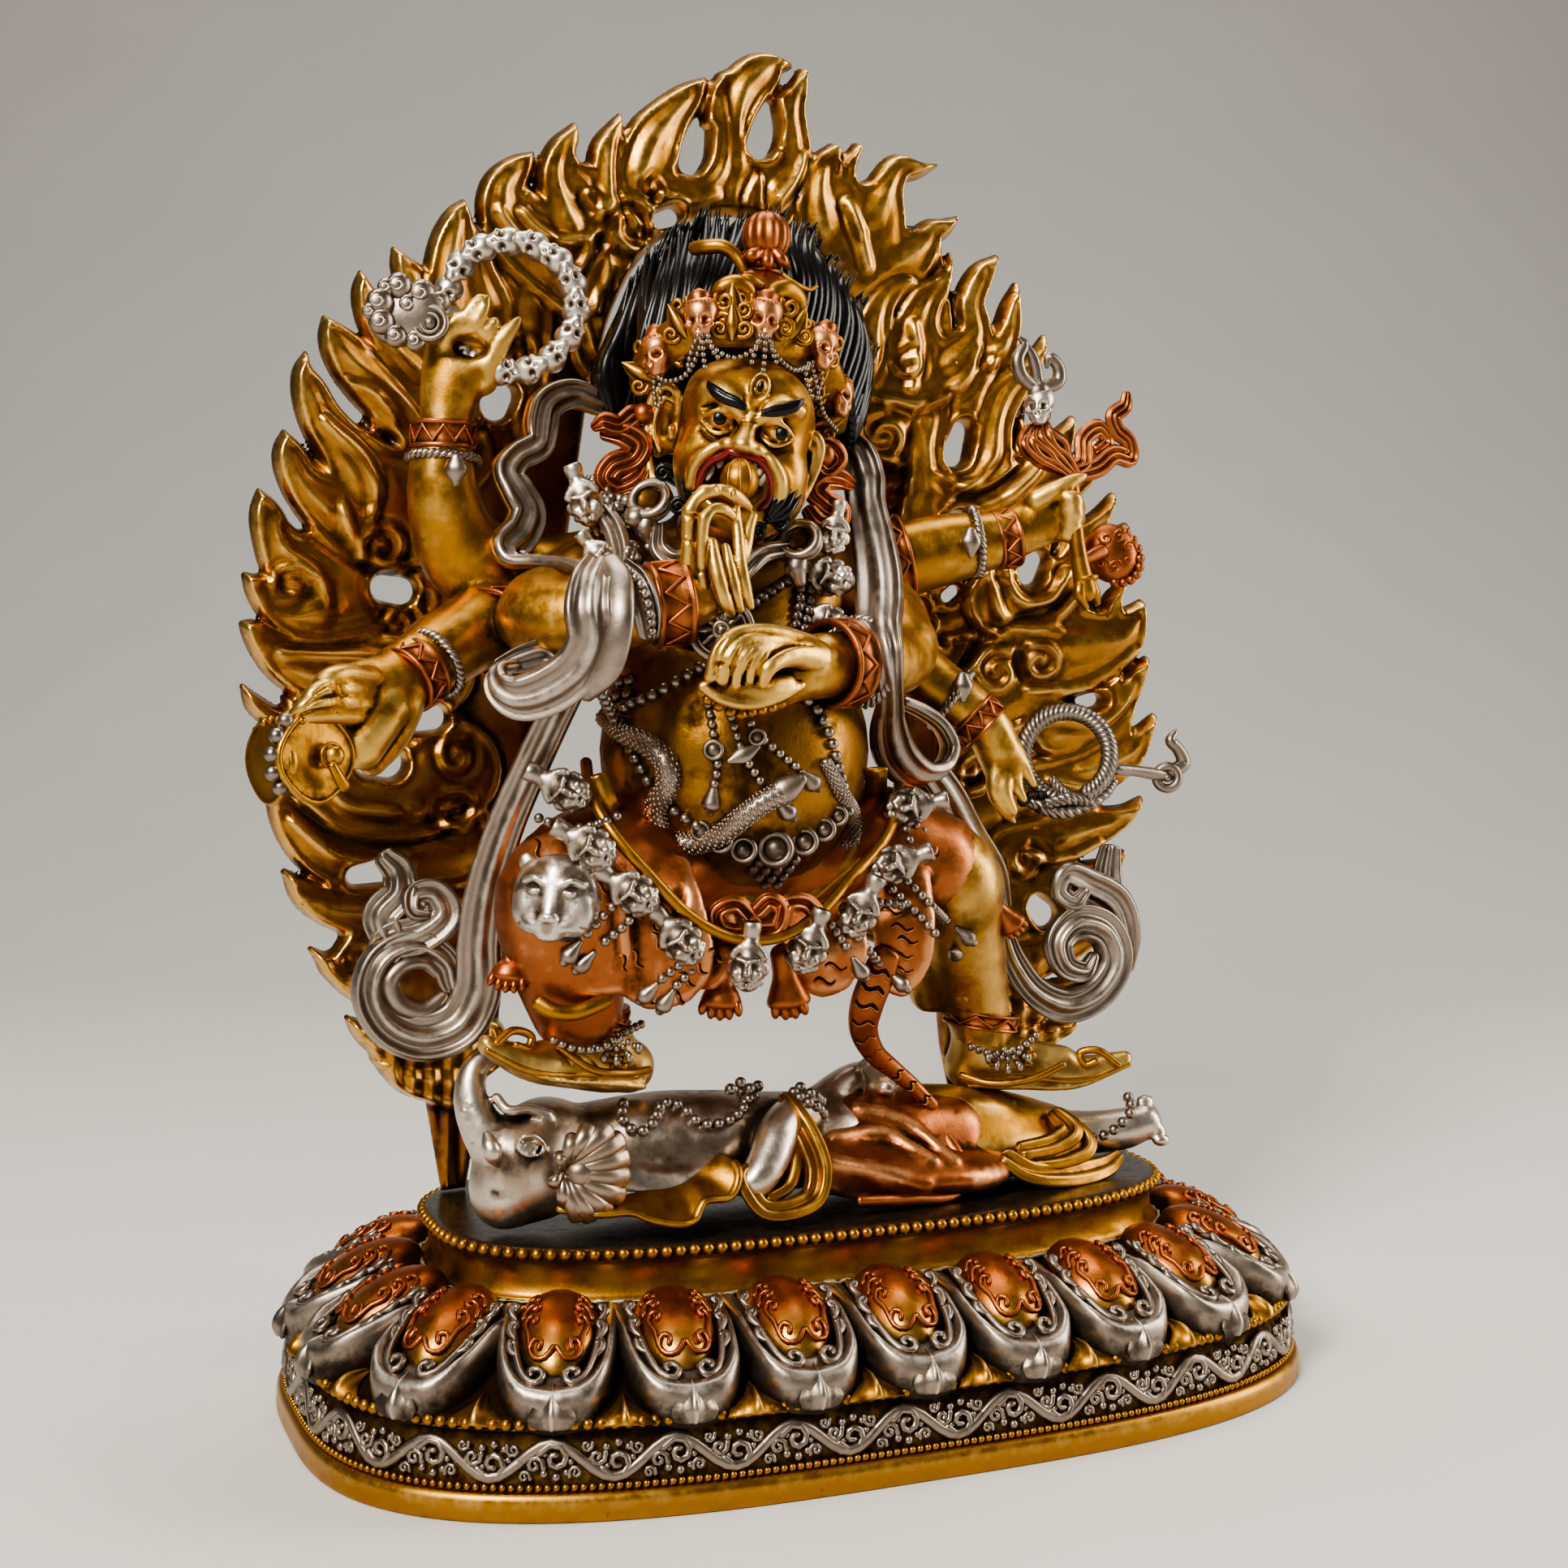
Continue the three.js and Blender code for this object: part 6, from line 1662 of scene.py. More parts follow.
def arms_clay():
    clay = Clay((-136, -58, 84), (82, 16, 216), 0.62)
    for stations in ARMS:
        clay.stroke(stations, blend=3)
    # Muscles of the raised and lowered forearms
    for centre, radii, turn in (((-72, -24, 138), (9.8, 10, 9.5), (0, 0, 0)),
                                ((-80, -2, 150), (10, 9, 9), (0, 0, 0)),
                                ((-92, -14, 130), (8, 6.5, 7.5), (0, 30, 0)),
                                ((15, -22, 131), (8.4, 9.2, 8.2), (0, 0, 0))):
        clay.lump(centre, radii, turn, blend=3)
    for line in HANDS + [MOUTH_HAND[0], PALM_HAND[0], DRUM_HAND[0]]:
        lay_finger(clay, line, 0.55)
    clay.lump(seen(577, 428, -12), (4.2, 3.0, 2.6), cut=True, blend=1.0)
    return clay


def drum(piece):
    """Hand drum of two bowls: the right mouth turned to the viewer, the left one away"""
    faces = ((seen(391, 933, -38), (0.45, -0.88, 0.05), 9.3, 1),
             (seen(330, 938, -33), (-0.93, -0.36, 0.0), 8.7, 0))
    for centre, axis, radius, near in faces:
        axis = unit(np.array(axis))
        first = unit(np.cross(axis, UP))
        second = np.cross(axis, first)
        rings = []
        for share, size in ((-6.5, 0.45), (-5.5, 0.66), (-3.6, 0.88), (-1.6, 1.0), (-0.5, 1.03), (0.1, 1.0),
                            (0.25, 0.95), (0.0, 0.91), (-0.05, 0.86), (0.15, 0.6), (0.2, 0.02)):
            turn = np.linspace(0, 2 * math.pi, 32, endpoint=False)
            squared = 1 + 0.035 * np.cos(4 * turn)
            rings.append(centre + axis * share
                         + (first * np.cos(turn)[:, None] + second * np.sin(turn)[:, None])
                         * (radius * size * squared)[:, None])
        verts = np.vstack(rings)
        # Darker inside the lip and towards the bowls' ends, lighter round the rim: painted shade and
        # highlight with the wash
        stain_and_shade = np.repeat([0.3, 0.1, 0, -0.1, -0.2, -0.2, 0.1, 0.5, 0.3, 0.12, 0.1], 32)
        quads = [tuple(face)[::-1] for face in ring_faces(len(rings), 32)]
        piece.add((verts, quads, stain_and_shade, np.zeros(len(verts))), GOLD)
        if near:
            boss = seen(408, 931, -38.5) + axis * 1.2
            piece.add(ring_band(boss - axis * 1.0, axis, 2.5, 0.5, 0.45, segments=20, section_sides=6),
                      GOLD)
            piece.add(ellipsoid(boss, (2.1, 1.6, 2.1), segments=14, rings=8), GOLD, wash=-0.2)
            piece.add(loft(seen_rows([(410, 944, -41.5, 1.0), (417, 957, -41, 1.2), (424, 968, -40, 1.3)]),
                           sides=8), GOLD)
    string = seen_rows([(352, 888, -39), (343, 902, -40), (337, 920, -40.5), (335, 940, -40.5),
                        (338, 958, -40), (346, 970, -39)])
    piece.add(bead_string(string, 1.75, 0.1, segments=10, rings=7), PEWTER)
    fine = seen_rows([(326, 890, -36), (340, 886, -38), (352, 893, -39), (362, 893, -39), (372, 888, -39)])
    piece.add(bead_string(fine, 0.9, 0.1), GOLD)


def wheel(piece):
    """The small spoked wheel over the bowl"""
    centre = seen(889, 776, -44)
    for radius, width in ((6.6, 0.75), (5.4, 0.4), (1.6, 0.7)):
        piece.add(ring_band(centre, BACK, radius, 0.8, width, segments=30, section_sides=7), SILVER)
    for index in range(10):
        angle = index * math.pi / 5
        away = ACROSS * math.cos(angle) + UPRIGHT * math.sin(angle)
        piece.add(loft([(*(centre + away * 1.8), 0.35, 0.5), (*(centre + away * 3.4), 0.9, 0.6),
                        (*(centre + away * 5.2), 0.5, 0.5)], per=2, facing=BACK, sides=6), SILVER)
    # A disc behind the spokes, darkened with extra wash: painted shade seen between them
    piece.add(ellipsoid(centre - BACK * 0.8, (6.4, 1.0, 6.4), turn=(0, 0, CAMERA_AZIMUTH)), PEWTER,
              wash=0.5)
    piece.add(ellipsoid(centre, (1.2, 1.2, 1.2), segments=8, rings=6), SILVER)
    piece.add(spheres([seen(868, 758, -43), seen(912, 757, -43)], 1.2, 10, 7), SILVER)


def make_body():
    torso = torso_clay()
    body = Piece("skin_body", ["mahakala"], "mahakala")
    body.add(torso.mesh(adaptivity=0.05, strength=0.9), SKIN)
    boots = boots_clay()
    body.add(boots.mesh(adaptivity=0.05), OLD_GOLD)
    boot_trim(body)
    body.make()
    arms = arms_clay()
    limbs = Piece("skin_arms", ["mahakala"], "mahakala")
    limbs.add(arms.mesh(adaptivity=0.06, cavity=1.5), GOLD)
    for lines, creases in ((MOUTH_HAND, MOUTH_CREASES), (PALM_HAND, PALM_CREASES),
                           (DRUM_HAND, DRUM_CREASES)):
        limbs.add(near_hand(lines, creases), GOLD)
    drum(limbs)
    wheel(limbs)
    limbs.make()
    return torso, boots


TORSO, BOOTS = make_body()


# Head. The face is modelled in its own frame: x to the viewer's right, -y out of the face, z up,
# from the bridge of the nose. It is the wrathful mask of the type, with three eyes and fangs.

FACE_TURN, FACE_LEAN = -23.0, 12.0
FACE_ORIGIN = seen(922, 530, -31.5)


def face_axes():
    turn, lean = math.radians(FACE_TURN), math.radians(FACE_LEAN)
    right = np.array([math.cos(turn), math.sin(turn), 0])
    out = np.array([math.sin(turn), -math.cos(turn), 0])
    return np.stack([right * math.cos(lean) - UP * math.sin(lean), -out,
                     UP * math.cos(lean) + right * math.sin(lean)], 1)


FACE_AXES = face_axes()


def on_face(mesh):
    return placed(mesh, FACE_ORIGIN, FACE_AXES)


def face_place(px, py, y):
    """The place in the face's frame that the photograph shows at a pixel, y behind the face's front"""
    scale = 5.27
    across, up = (px - 922) / scale, (530 - py) / scale
    lean = math.radians(FACE_LEAN)
    return (across * math.cos(lean) - up * math.sin(lean), y, across * math.sin(lean) + up * math.cos(lean))


def face_clay():
    clay = Clay((-27, -10, -27), (24, 34, 21), 0.36)
    clay.lump((-0.8, 14.5, -0.5), (15.8, 15.5, 17.6), blend=2)
    clay.lump((-1.5, 7.0, 6.5), (14.4, 9.4, 9.6), blend=4)
    clay.lump((0.6, 9, -13.5), (14.2, 10.4, 10.0), blend=4)
    clay.lump((2.0, 4.8, -19.0), (7.2, 6.2, 4.6), blend=4)
    clay.stroke([(-2, 16, -18, 10), (-3, 18, -27, 9.5)], blend=3)
    for side in (-1, 1):
        shift = -0.3
        clay.lump((side * 8.6 + shift, 5.4, -8.0), (6.4, 6.2, 7.0), blend=4)
        # Eyeballs between thin lids, in shallow sockets
        clay.lump((side * 6.4 + shift, -0.8, 0.6), (4.6, 2.2, 3.2), cut=True, blend=1.8)
        clay.lump((side * 6.3 + shift, 2.2, 0.5), (3.3, 3.5, 2.5), blend=0.3)
        clay.stroke([(side * 2.8 + shift, 0.4, -0.6, 0.4), (side * 4.2 + shift, -0.9, 1.9, 0.6),
                     (side * 6.4 + shift, -1.4, 2.8, 0.65),
                     (side * 8.8 + shift, -0.6, 2.0, 0.55), (side * 10.8 + shift, 1.2, 0.3, 0.35)],
                    blend=0.5)
        clay.stroke([(side * 2.8 + shift, 0.4, -0.6, 0.4), (side * 4.4 + shift, -0.7, -1.5, 0.55),
                     (side * 6.4 + shift, -1.0, -2.2, 0.6),
                     (side * 8.6 + shift, -0.3, -1.5, 0.5), (side * 10.6 + shift, 1.2, 0.2, 0.3)],
                    blend=0.5)
        clay.stroke([(side * 3.6 + shift, -0.4, -3.3, 0.25), (side * 7.0 + shift, -0.2, -3.9, 0.35),
                     (side * 10.4 + shift, 1.4, -2.2, 0.25)],
                    cut=True, blend=0.6)
        clay.stroke([(side * 4.0 + shift, -0.8, 3.5, 0.25), (side * 7.0 + shift, -0.6, 4.2, 0.35),
                     (side * 10.8 + shift, 1.2, 2.8, 0.25)],
                    cut=True, blend=0.5)
        # Frowning brow over each eye, running down to the nose
        clay.stroke([(side * 10.6, 0.6, 6.6, 1.0), (side * 7.6, -1.1, 6.9, 1.6),
                     (side * 4.4, -2.0, 5.2, 1.8),
                     (side * 1.9, -2.3, 3.0, 1.4)], blend=2.4)
        clay.stroke([(side * 1.3, -3.0, 4.0, 0.35), (side * 2.2, -2.9, 6.4, 0.4)], cut=True, blend=0.6)
        # Soft fold from the nostril to the corner of the mouth
        clay.stroke([(side * 3.6, -3.0, -3.8, 0.8), (side * 6.8, -3.2, -6.0, 1.4),
                     (side * 9.4, -2.0, -9.6, 1.6),
                     (side * 9.8, -0.2, -14.6, 1.2)], blend=2.6)
        clay.lump((side * 3.0 - 0.3, -3.7, -4.2), (2.1, 2.1, 1.7), blend=0.9)
        clay.lump((side * 1.8 - 0.3, -5.4, -5.6), (0.8, 1.1, 0.6), cut=True, blend=0.3)
    # Nose with two wrinkles across its root
    clay.stroke([(0.1, -0.6, 4.0, 1.5), (0.0, -2.6, 0.8, 1.6), (-0.2, -4.4, -2.4, 2.2)], blend=1.4)
    clay.lump((-0.2, -5.4, -3.8), (2.6, 2.5, 2.1), blend=0.9)
    for z in (1.6, 2.8):
        clay.stroke([(-2.2, -2.8, z + 0.5, 0.2), (0, -4.2, z, 0.3), (2.2, -2.8, z + 0.5, 0.2)], cut=True,
                    blend=0.4)
    # Third eye, upright, with a lid on either side
    clay.lump((0.7, -2.6, 9.6), (1.8, 1.0, 2.5), cut=True, blend=0.6)
    clay.lump((0.7, -1.5, 9.6), (1.4, 1.2, 2.0), blend=0.2)
    ring = [(0.7 + 2.0 * math.sin(a), -2.4 + 0.3 * math.cos(2 * a), 9.6 + 3.0 * math.cos(a), 0.42)
            for a in np.linspace(0, 2 * math.pi, 17)]
    clay.stroke(ring, per=2, blend=0.5)
    # Open mouth
    clay.lump((-1.4, -1.6, -12.2), (7.2, 7.0, 5.6), cut=True, blend=1.0)
    ear(clay, -1, (-20.0, 10.5, -1.0), 1.0)
    ear(clay, 1, (14.0, 10.0, -3.2), 0.8)
    return clay


def ear(clay, side, centre, scale):
    """Long ear turned to the viewer: an outer roll, an inner curl, a hollow and a heavy lobe"""
    def at(across, depth, up):
        return (centre[0] + side * across * scale, centre[1] + depth, centre[2] + up * scale)

    clay.lump(at(-0.6, 1.0, -0.5), (3.6 * scale, 1.6, 8.0 * scale), blend=1.2)
    clay.lump(at(-3.6, 2.4, -1.0), (2.6 * scale, 3.6, 6.0 * scale), blend=1.5)
    clay.stroke([(*at(-3.2, -0.8, 2.2), 0.8), (*at(-2.2, -0.9, 6.2), 1.0), (*at(0.4, -0.6, 7.6), 1.1),
                 (*at(2.8, -0.2, 5.2), 1.1), (*at(3.2, 0.2, 0.0), 1.0), (*at(2.2, 0.0, -5.6), 1.0),
                 (*at(0.6, -0.4, -10.6), 1.2), (*at(-1.0, -0.6, -13.6), 1.5),
                 (*at(-2.4, -0.6, -11.6), 1.1)], blend=0.6)
    clay.stroke([(*at(-2.4, -0.6, 4.2), 0.6), (*at(0.2, -0.8, 5.0), 0.7), (*at(1.4, -0.6, 1.6), 0.7),
                 (*at(0.9, -0.5, -4.0), 0.6), (*at(-1.0, -0.6, -7.0), 0.7)], blend=0.4)
    clay.lump(at(-0.8, -0.8, -0.6), (1.6 * scale, 1.5, 3.4 * scale), cut=True, blend=0.8)
    clay.stroke([(*at(-3.0, -0.9, -3.4), 0.8), (*at(-2.4, -1.1, -1.6), 0.9)], blend=0.6)


def face_paint(piece):
    """Eyes, brows, lips, teeth and beard"""
    for px, py in ((889, 517), (961, 534)):
        x, _, z = face_place(px, py, 0)
        piece.add(on_face(ellipsoid((x, -0.95, z), (1.5, 0.55, 1.6), segments=14, rings=8)), BLACK)
    piece.add(on_face(ellipsoid((0.75, -2.55, 9.6), (0.75, 0.4, 1.25), segments=12, rings=8)), BLACK)
    brows = [[(876, 479, -1.6, 0.6), (884, 487, -2.9, 1.3), (896, 495, -3.8, 1.4), (908, 500, -4.3, 1.2),
              (918, 506, -4.4, 0.5)],
             [(940, 512, -4.4, 0.6), (952, 510, -4.1, 1.3), (966, 507, -3.2, 1.5), (978, 502, -2.2, 1.4),
              (984, 498, -1.2, 0.6)]]
    for rows in brows:
        for shift, lift in ((-0.5, 0.1), (0.0, 0.3), (0.5, 0.1)):
            line = [(*(np.array(face_place(px, py, y - lift)) + (0, 0, shift)), w * 0.66, 0.6) for px, py,
                    y, w in rows]
            piece.add(on_face(loft(line, facing=FRONT, sides=8)), BLACK)
    upper = [(872, 604, -0.4), (866, 598, -0.8), (870, 580, -2.2), (880, 568, -3.4), (894, 562, -4.4),
             (903, 557, -5.0), (909, 560, -5.2), (918, 562, -4.9), (934, 566, -4.2), (944, 576, -3.2),
             (950, 594, -1.8), (948, 610, -1.2), (940, 619, -1.0), (934, 622, -1.0)]
    widths = [0.5, 0.8] + [0.95] * (len(upper) - 4) + [0.9, 0.5]
    piece.add(on_face(loft([(*face_place(*at), w, w * 0.9) for at, w in zip(upper, widths)], sides=9)), RED)
    # The inside of the open mouth, darkened with extra wash: painted shade in the mouth
    piece.add(on_face(ellipsoid((-1.4, 4.6, -12.2), (7.6, 2.0, 6.0), segments=18, rings=10)), RED,
              wash=0.75)
    for px, py, y, tall in ((922, 570, -2.4, 1.2), (929, 572, -2.3, 1.25), (936, 578, -1.8, 1.2),
                            (890, 570, -2.6, 1.1), (940, 586, -1.0, 1.9), (878, 580, -1.4, 1.9)):
        piece.add(on_face(ellipsoid(face_place(px, py, y), (0.75, 0.65, tall), turn=(0, 12, 0), segments=8,
                                    rings=7)), IVORY)
    # Pointed tufts at the corners of the mouth
    tufts = [[(868, 604, 0.6), (864, 588, -0.2), (857, 560, 1.0)],
             [(864, 606, 0.8), (857, 592, 0.2), (850, 568, 1.8)],
             [(862, 606, 1.2), (852, 596, 0.8), (844, 580, 2.6)],
             [(862, 608, 1.4), (852, 602, 1.2), (843, 592, 3.0)],
             [(868, 600, 0.4), (866, 584, 0.0), (864, 568, 0.4)],
             [(866, 608, 0.8), (858, 604, 0.6), (850, 602, 1.6)],
             [(948, 630, -0.4), (960, 612, -0.8), (976, 586, 1.6)],
             [(950, 632, -0.2), (966, 616, 0.2), (982, 592, 3.0)],
             [(946, 626, -0.6), (955, 610, -1.0), (968, 590, 0.4)],
             [(950, 634, 0.0), (968, 624, 1.0), (984, 604, 3.8)],
             [(946, 634, -0.2), (960, 630, 0.4), (976, 620, 2.6)]]
    for rows in tufts:
        line = [(*face_place(*at), w) for at, w in zip(rows, (1.0, 1.15, 0.25))]
        piece.add(on_face(loft(line, per=5, sides=7)), BLACK)
    for px, py, y, size in ((817, 583, -24, 1.9), (836, 624, -29, 2.0), (935, 655, -35, 1.8),
                            (963, 645, -33, 2.0), (980, 620, -29, 1.9), (925, 660, -35, 1.5)):
        centre = seen(px, py, y)
        piece.add(loft(spiral_rows(centre, ACROSS, UPRIGHT, 40, 1.5, size, 0.4, 0.62, lift=BACK * 0.8),
                       per=1, facing=BACK, sides=6), BLACK)
        piece.add(ellipsoid(centre - BACK * 0.7, (size * 0.95, 0.9, size * 0.95), segments=10, rings=6),
                  BLACK)


def morsel(piece):
    """The seamed ball held at the mouth"""
    centre = seen(911, 592, -37.5)
    piece.add(ellipsoid(centre, (4.3, 4.2, 4.6), segments=22, rings=14), GOLD)
    for angle in (-34, 2, 38):
        way = BACK * math.cos(math.radians(angle)) + ACROSS * math.sin(math.radians(angle))
        seam = []
        for step in range(9):
            tilt = math.radians(-80 + 20 * step)
            place = centre + way * math.cos(tilt) * 4.25 + UPRIGHT * math.sin(tilt) * 4.55
            seam.append((*place, 0.36))
        piece.add(loft(seam, per=2, sides=5), GOLD, wash=-0.15)


# Hair: guide lines in pixels along which thick strands are drawn, over a dark mass

HAIR_LEFT = [[(764, 508), (757, 468), (768, 418), (784, 364)],
             [(776, 512), (774, 440), (792, 370), (820, 318)],
             [(796, 508), (796, 440), (812, 366), (832, 290)],
             [(816, 480), (820, 410), (838, 340), (866, 282)],
             [(842, 440), (846, 390), (868, 330), (897, 264)],
             [(872, 420), (876, 372), (900, 318), (926, 268)]]
HAIR_RIGHT = [[(905, 400), (918, 350), (936, 306), (952, 260)],
              [(955, 400), (965, 350), (964, 306), (986, 266)],
              [(985, 420), (998, 366), (1000, 320), (1016, 288)],
              [(1008, 450), (1030, 390), (1028, 350), (1046, 322)],
              [(1030, 500), (1050, 430), (1052, 390), (1066, 356)],
              [(1040, 540), (1062, 470), (1066, 430), (1081, 414)],
              [(1040, 572), (1058, 525), (1070, 490), (1083, 462)]]
HAIR_CENTRE, HAIR_RADII = np.array([-14.0, 3.0, 196.0]), np.array([31.0, 15.0, 34.0])


def hair_depth(x, z, front=True):
    """y of the dark mass of hair's front or back"""
    inside = 1 - ((x - HAIR_CENTRE[0]) / HAIR_RADII[0]) ** 2 - ((z - HAIR_CENTRE[2]) / HAIR_RADII[2]) ** 2
    bulge = HAIR_RADII[1] * math.sqrt(max(0.0, inside))
    return HAIR_CENTRE[1] - bulge if front else HAIR_CENTRE[1] + 0.75 * bulge


def hair(piece):
    """Strands gather into locks, each with its own reach, sway and hooked tip"""
    piece.add(ellipsoid(HAIR_CENTRE - np.array([0, 0, 3]), (27.5, 12, 29), turn=(0, 8, 0), segments=30,
                        rings=18), BLACK)
    for front in (True, False):
        for guides in (HAIR_LEFT, HAIR_RIGHT):
            for first, second in zip(guides, guides[1:]):
                for lock in range(2):
                    middle = (lock + 0.5) / 2
                    reach = random.uniform(0.98, 1.3)
                    hook = random.normal(0, 6, 2)
                    sway = random.normal(0, 4.5)
                    strands = 4 if front else 2
                    for index in range(strands):
                        share = (lock + (index + 0.5) / strands) / 2
                        rows = []
                        for step, (a, b) in enumerate(zip(first, second)):
                            way = step / 3
                            mix = share * (1 - way ** 1.5) + (middle + 0.35 * (share - middle)) * way ** 1.5
                            px = a[0] + (b[0] - a[0]) * mix + sway * math.sin(way * math.pi * 1.5)
                            py = a[1] + (b[1] - a[1]) * mix
                            if step == 3:
                                start = np.array([first[2][0] + (second[2][0] - first[2][0]) * mix,
                                                  first[2][1] + (second[2][1] - first[2][1]) * mix])
                                px, py = start + (np.array([px, py]) - start) * reach + hook
                                px += 4.5 * (index - strands / 2)
                            x, _, z = seen(px, py, -2)
                            y = hair_depth(x, z, front) + (0.9 if front else -0.9) * (index % 2 - 0.5)
                            radius = (1.5, 1.6, 1.3, 0.15)[step] * (1.15 if front else 2.0)
                            rows.append((x, y, z, radius, radius * 0.85))
                        piece.add(loft(rows, per=5, facing=FRONT if front else -FRONT, sides=6,
                                       round_ends=False, wash=(0.1, 0.0, 0.0)), BLACK)


def back_hair(piece):
    """Combed locks down the back of the head"""
    centre = HAIR_CENTRE - np.array([0, 0, 3])
    for index in range(21):
        turn = math.radians(9 * index - 90)
        rows = []
        for step in range(7):
            tilt = math.radians(14 + 23 * step + 5 * math.sin(2.3 * index))
            reach = math.sin(tilt)
            sway = 1.2 * math.sin(1.7 * step + 2.1 * index)
            radius = 0.5 + 2.2 * reach
            rows.append((centre[0] + 27.5 * reach * math.sin(turn) + sway,
                         centre[1] + 0.4 + 12 * reach * math.cos(turn),
                         centre[2] + 29 * math.cos(tilt), radius, radius * 0.75))
        piece.add(loft(rows, per=3, facing=-FRONT, sides=7), BLACK)


def skull_mesh():
    """A small skull about its own middle, looking forwards"""
    clay = Clay((-5, -5, -6), (5, 5, 6), 0.42)
    clay.lump((0, 0.4, 1.2), (3.6, 3.5, 3.3), blend=0.5)
    clay.lump((0, -1.7, -1.4), (2.5, 2.0, 2.4), blend=1.0)
    clay.lump((0, -1.9, -3.6), (1.8, 1.5, 1.2), blend=0.6)
    for side in (-1, 1):
        clay.lump((side * 2.1, -1.9, -1.3), (1.1, 1.1, 0.8), blend=0.4)
        clay.lump((side * 1.55, -3.6, -0.3), (1.15, 1.9, 1.05), cut=True, blend=0.15)
    clay.lump((0, -3.7, -1.9), (0.55, 1.2, 0.6), cut=True, blend=0.15)
    clay.stroke([(-1.5, -3.6, -2.9, 0.25), (1.5, -3.6, -2.9, 0.25)], cut=True, blend=0.2)
    return clay.mesh(adaptivity=0.12, cavity=1.1, strength=1.2)


SKULL = skull_mesh()


def turned_axes(azimuth, lean, nod=0.0):
    """Axes of a small form that looks along azimuth, leans sideways and nods, in degrees"""
    matrix = (Matrix.Rotation(math.radians(azimuth), 3, "Z") @ Matrix.Rotation(math.radians(lean), 3, "Y")
              @ Matrix.Rotation(math.radians(nod), 3, "X"))
    return np.array(matrix)


CROWN_SKULLS = [(811, 436, -19, -58, -14), (864, 392, -28, -36, -4), (942, 392, -30, -18, 8),
                (1012, 428, -23, 22, 16),
                (1032, 488, -13, 44, 24)]          # pixel, depth, the way it looks, its lean
CROWN_JEWELS = [(816, 405), (861, 360), (946, 362), (1018, 398), (1040, 466)]


def crown(piece):
    band = seen_rows([(792, 478, -10, 3.4, 1.2), (800, 450, -15, 4.0, 1.2), (832, 418, -23, 4.6, 1.2),
                      (866, 404, -27, 4.8, 1.2), (905, 400, -29, 5.0, 1.2), (945, 408, -28.5, 4.8, 1.2),
                      (985, 428, -24.5, 4.8, 1.2), (1012, 456, -19, 4.6, 1.2), (1026, 500, -12, 4.0, 1.2),
                      (1026, 530, -8, 3.0, 1.2)])
    piece.add(loft(band, per=6, facing=BACK, sides=12), GOLD, wash=0.25)
    for (px, py, y, azimuth, lean), (jx, jy) in zip(CROWN_SKULLS, CROWN_JEWELS):
        axes = turned_axes(azimuth, lean, 8)
        piece.add(placed(SKULL, seen(px, py, y), axes, 1.12), COPPER, wash=-0.04)
        foot = seen(px, py, y) + axes[:, 2] * 3.6
        tip = seen(jx, jy, y + 1)
        piece.add(loft([(*foot, 2.2, 2.0), (*(foot * 0.6 + tip * 0.4), 2.6, 2.2),
                        (*(foot * 0.25 + tip * 0.75), 2.3, 2.0),
                        (*tip, 1.0, 1.0)], per=4, facing=BACK, sides=10), COPPER, wash=-0.05)
        for k in range(7):
            a = math.radians(-150 + 20 * k)
            at = foot + axes[:, 0] * 2.5 * math.cos(a) + axes[:, 1] * 2.3 * math.sin(a)
            piece.add(ellipsoid(at, (0.5,) * 3, segments=6, rings=5), COPPER)
        for side in (-1, 1):
            centre = seen(px, py, y) + axes[:, 0] * side * 4.9 - axes[:, 2] * 1.4 + axes[:, 1] * 1.2
            piece.add(loft(spiral_rows(centre, axes[:, 0] * side, axes[:, 2], -110, -1.5, 2.6, 0.5, 0.85,
                                       lift=-axes[:, 1] * 0.8), per=1, facing=-axes[:, 1], sides=6), GOLD,
                      wash=-0.05)
            centre = seen(px, py, y) + axes[:, 0] * side * 5.3 + axes[:, 2] * 3.2 + axes[:, 1] * 1.6
            piece.add(loft(spiral_rows(centre, axes[:, 0] * side, axes[:, 2], 150, 1.3, 2.3, 0.5, 0.75,
                                       lift=-axes[:, 1] * 0.6), per=1, facing=-axes[:, 1], sides=6), GOLD,
                      wash=-0.05)
    # Leaves and scrolls between the skulls
    for px, py, y, lean in ((838, 402, -25, -30), (902, 378, -30, 0), (902, 402, -31, 0),
                            (980, 405, -27, 26), (1000, 470, -20, 50), (792, 462, -14, -60),
                            (1018, 520, -12, 70)):
        axes = turned_axes(CAMERA_AZIMUTH, lean)
        centre = seen(px, py, y)
        piece.add(loft([(*(centre - axes[:, 2] * 2.6), 1.0, 0.8), (*centre, 2.2, 1.3),
                        (*(centre + axes[:, 2] * 3.0), 1.5, 1.0),
                        (*(centre + axes[:, 2] * 5.2), 0.3, 0.4)], section=ridge_section(12, 2), per=4,
                       facing=BACK), GOLD)
        for side in (-1, 1):
            scroll = spiral_rows(centre + axes[:, 0] * side * 2.6 - axes[:, 2] * 0.6,
                                 axes[:, 0] * side, axes[:, 2], -120, 1.3, 2.0, 0.4, 0.7,
                                 lift=BACK * 0.5)
            piece.add(loft(scroll, per=1, facing=BACK, sides=6), GOLD, wash=-0.05)


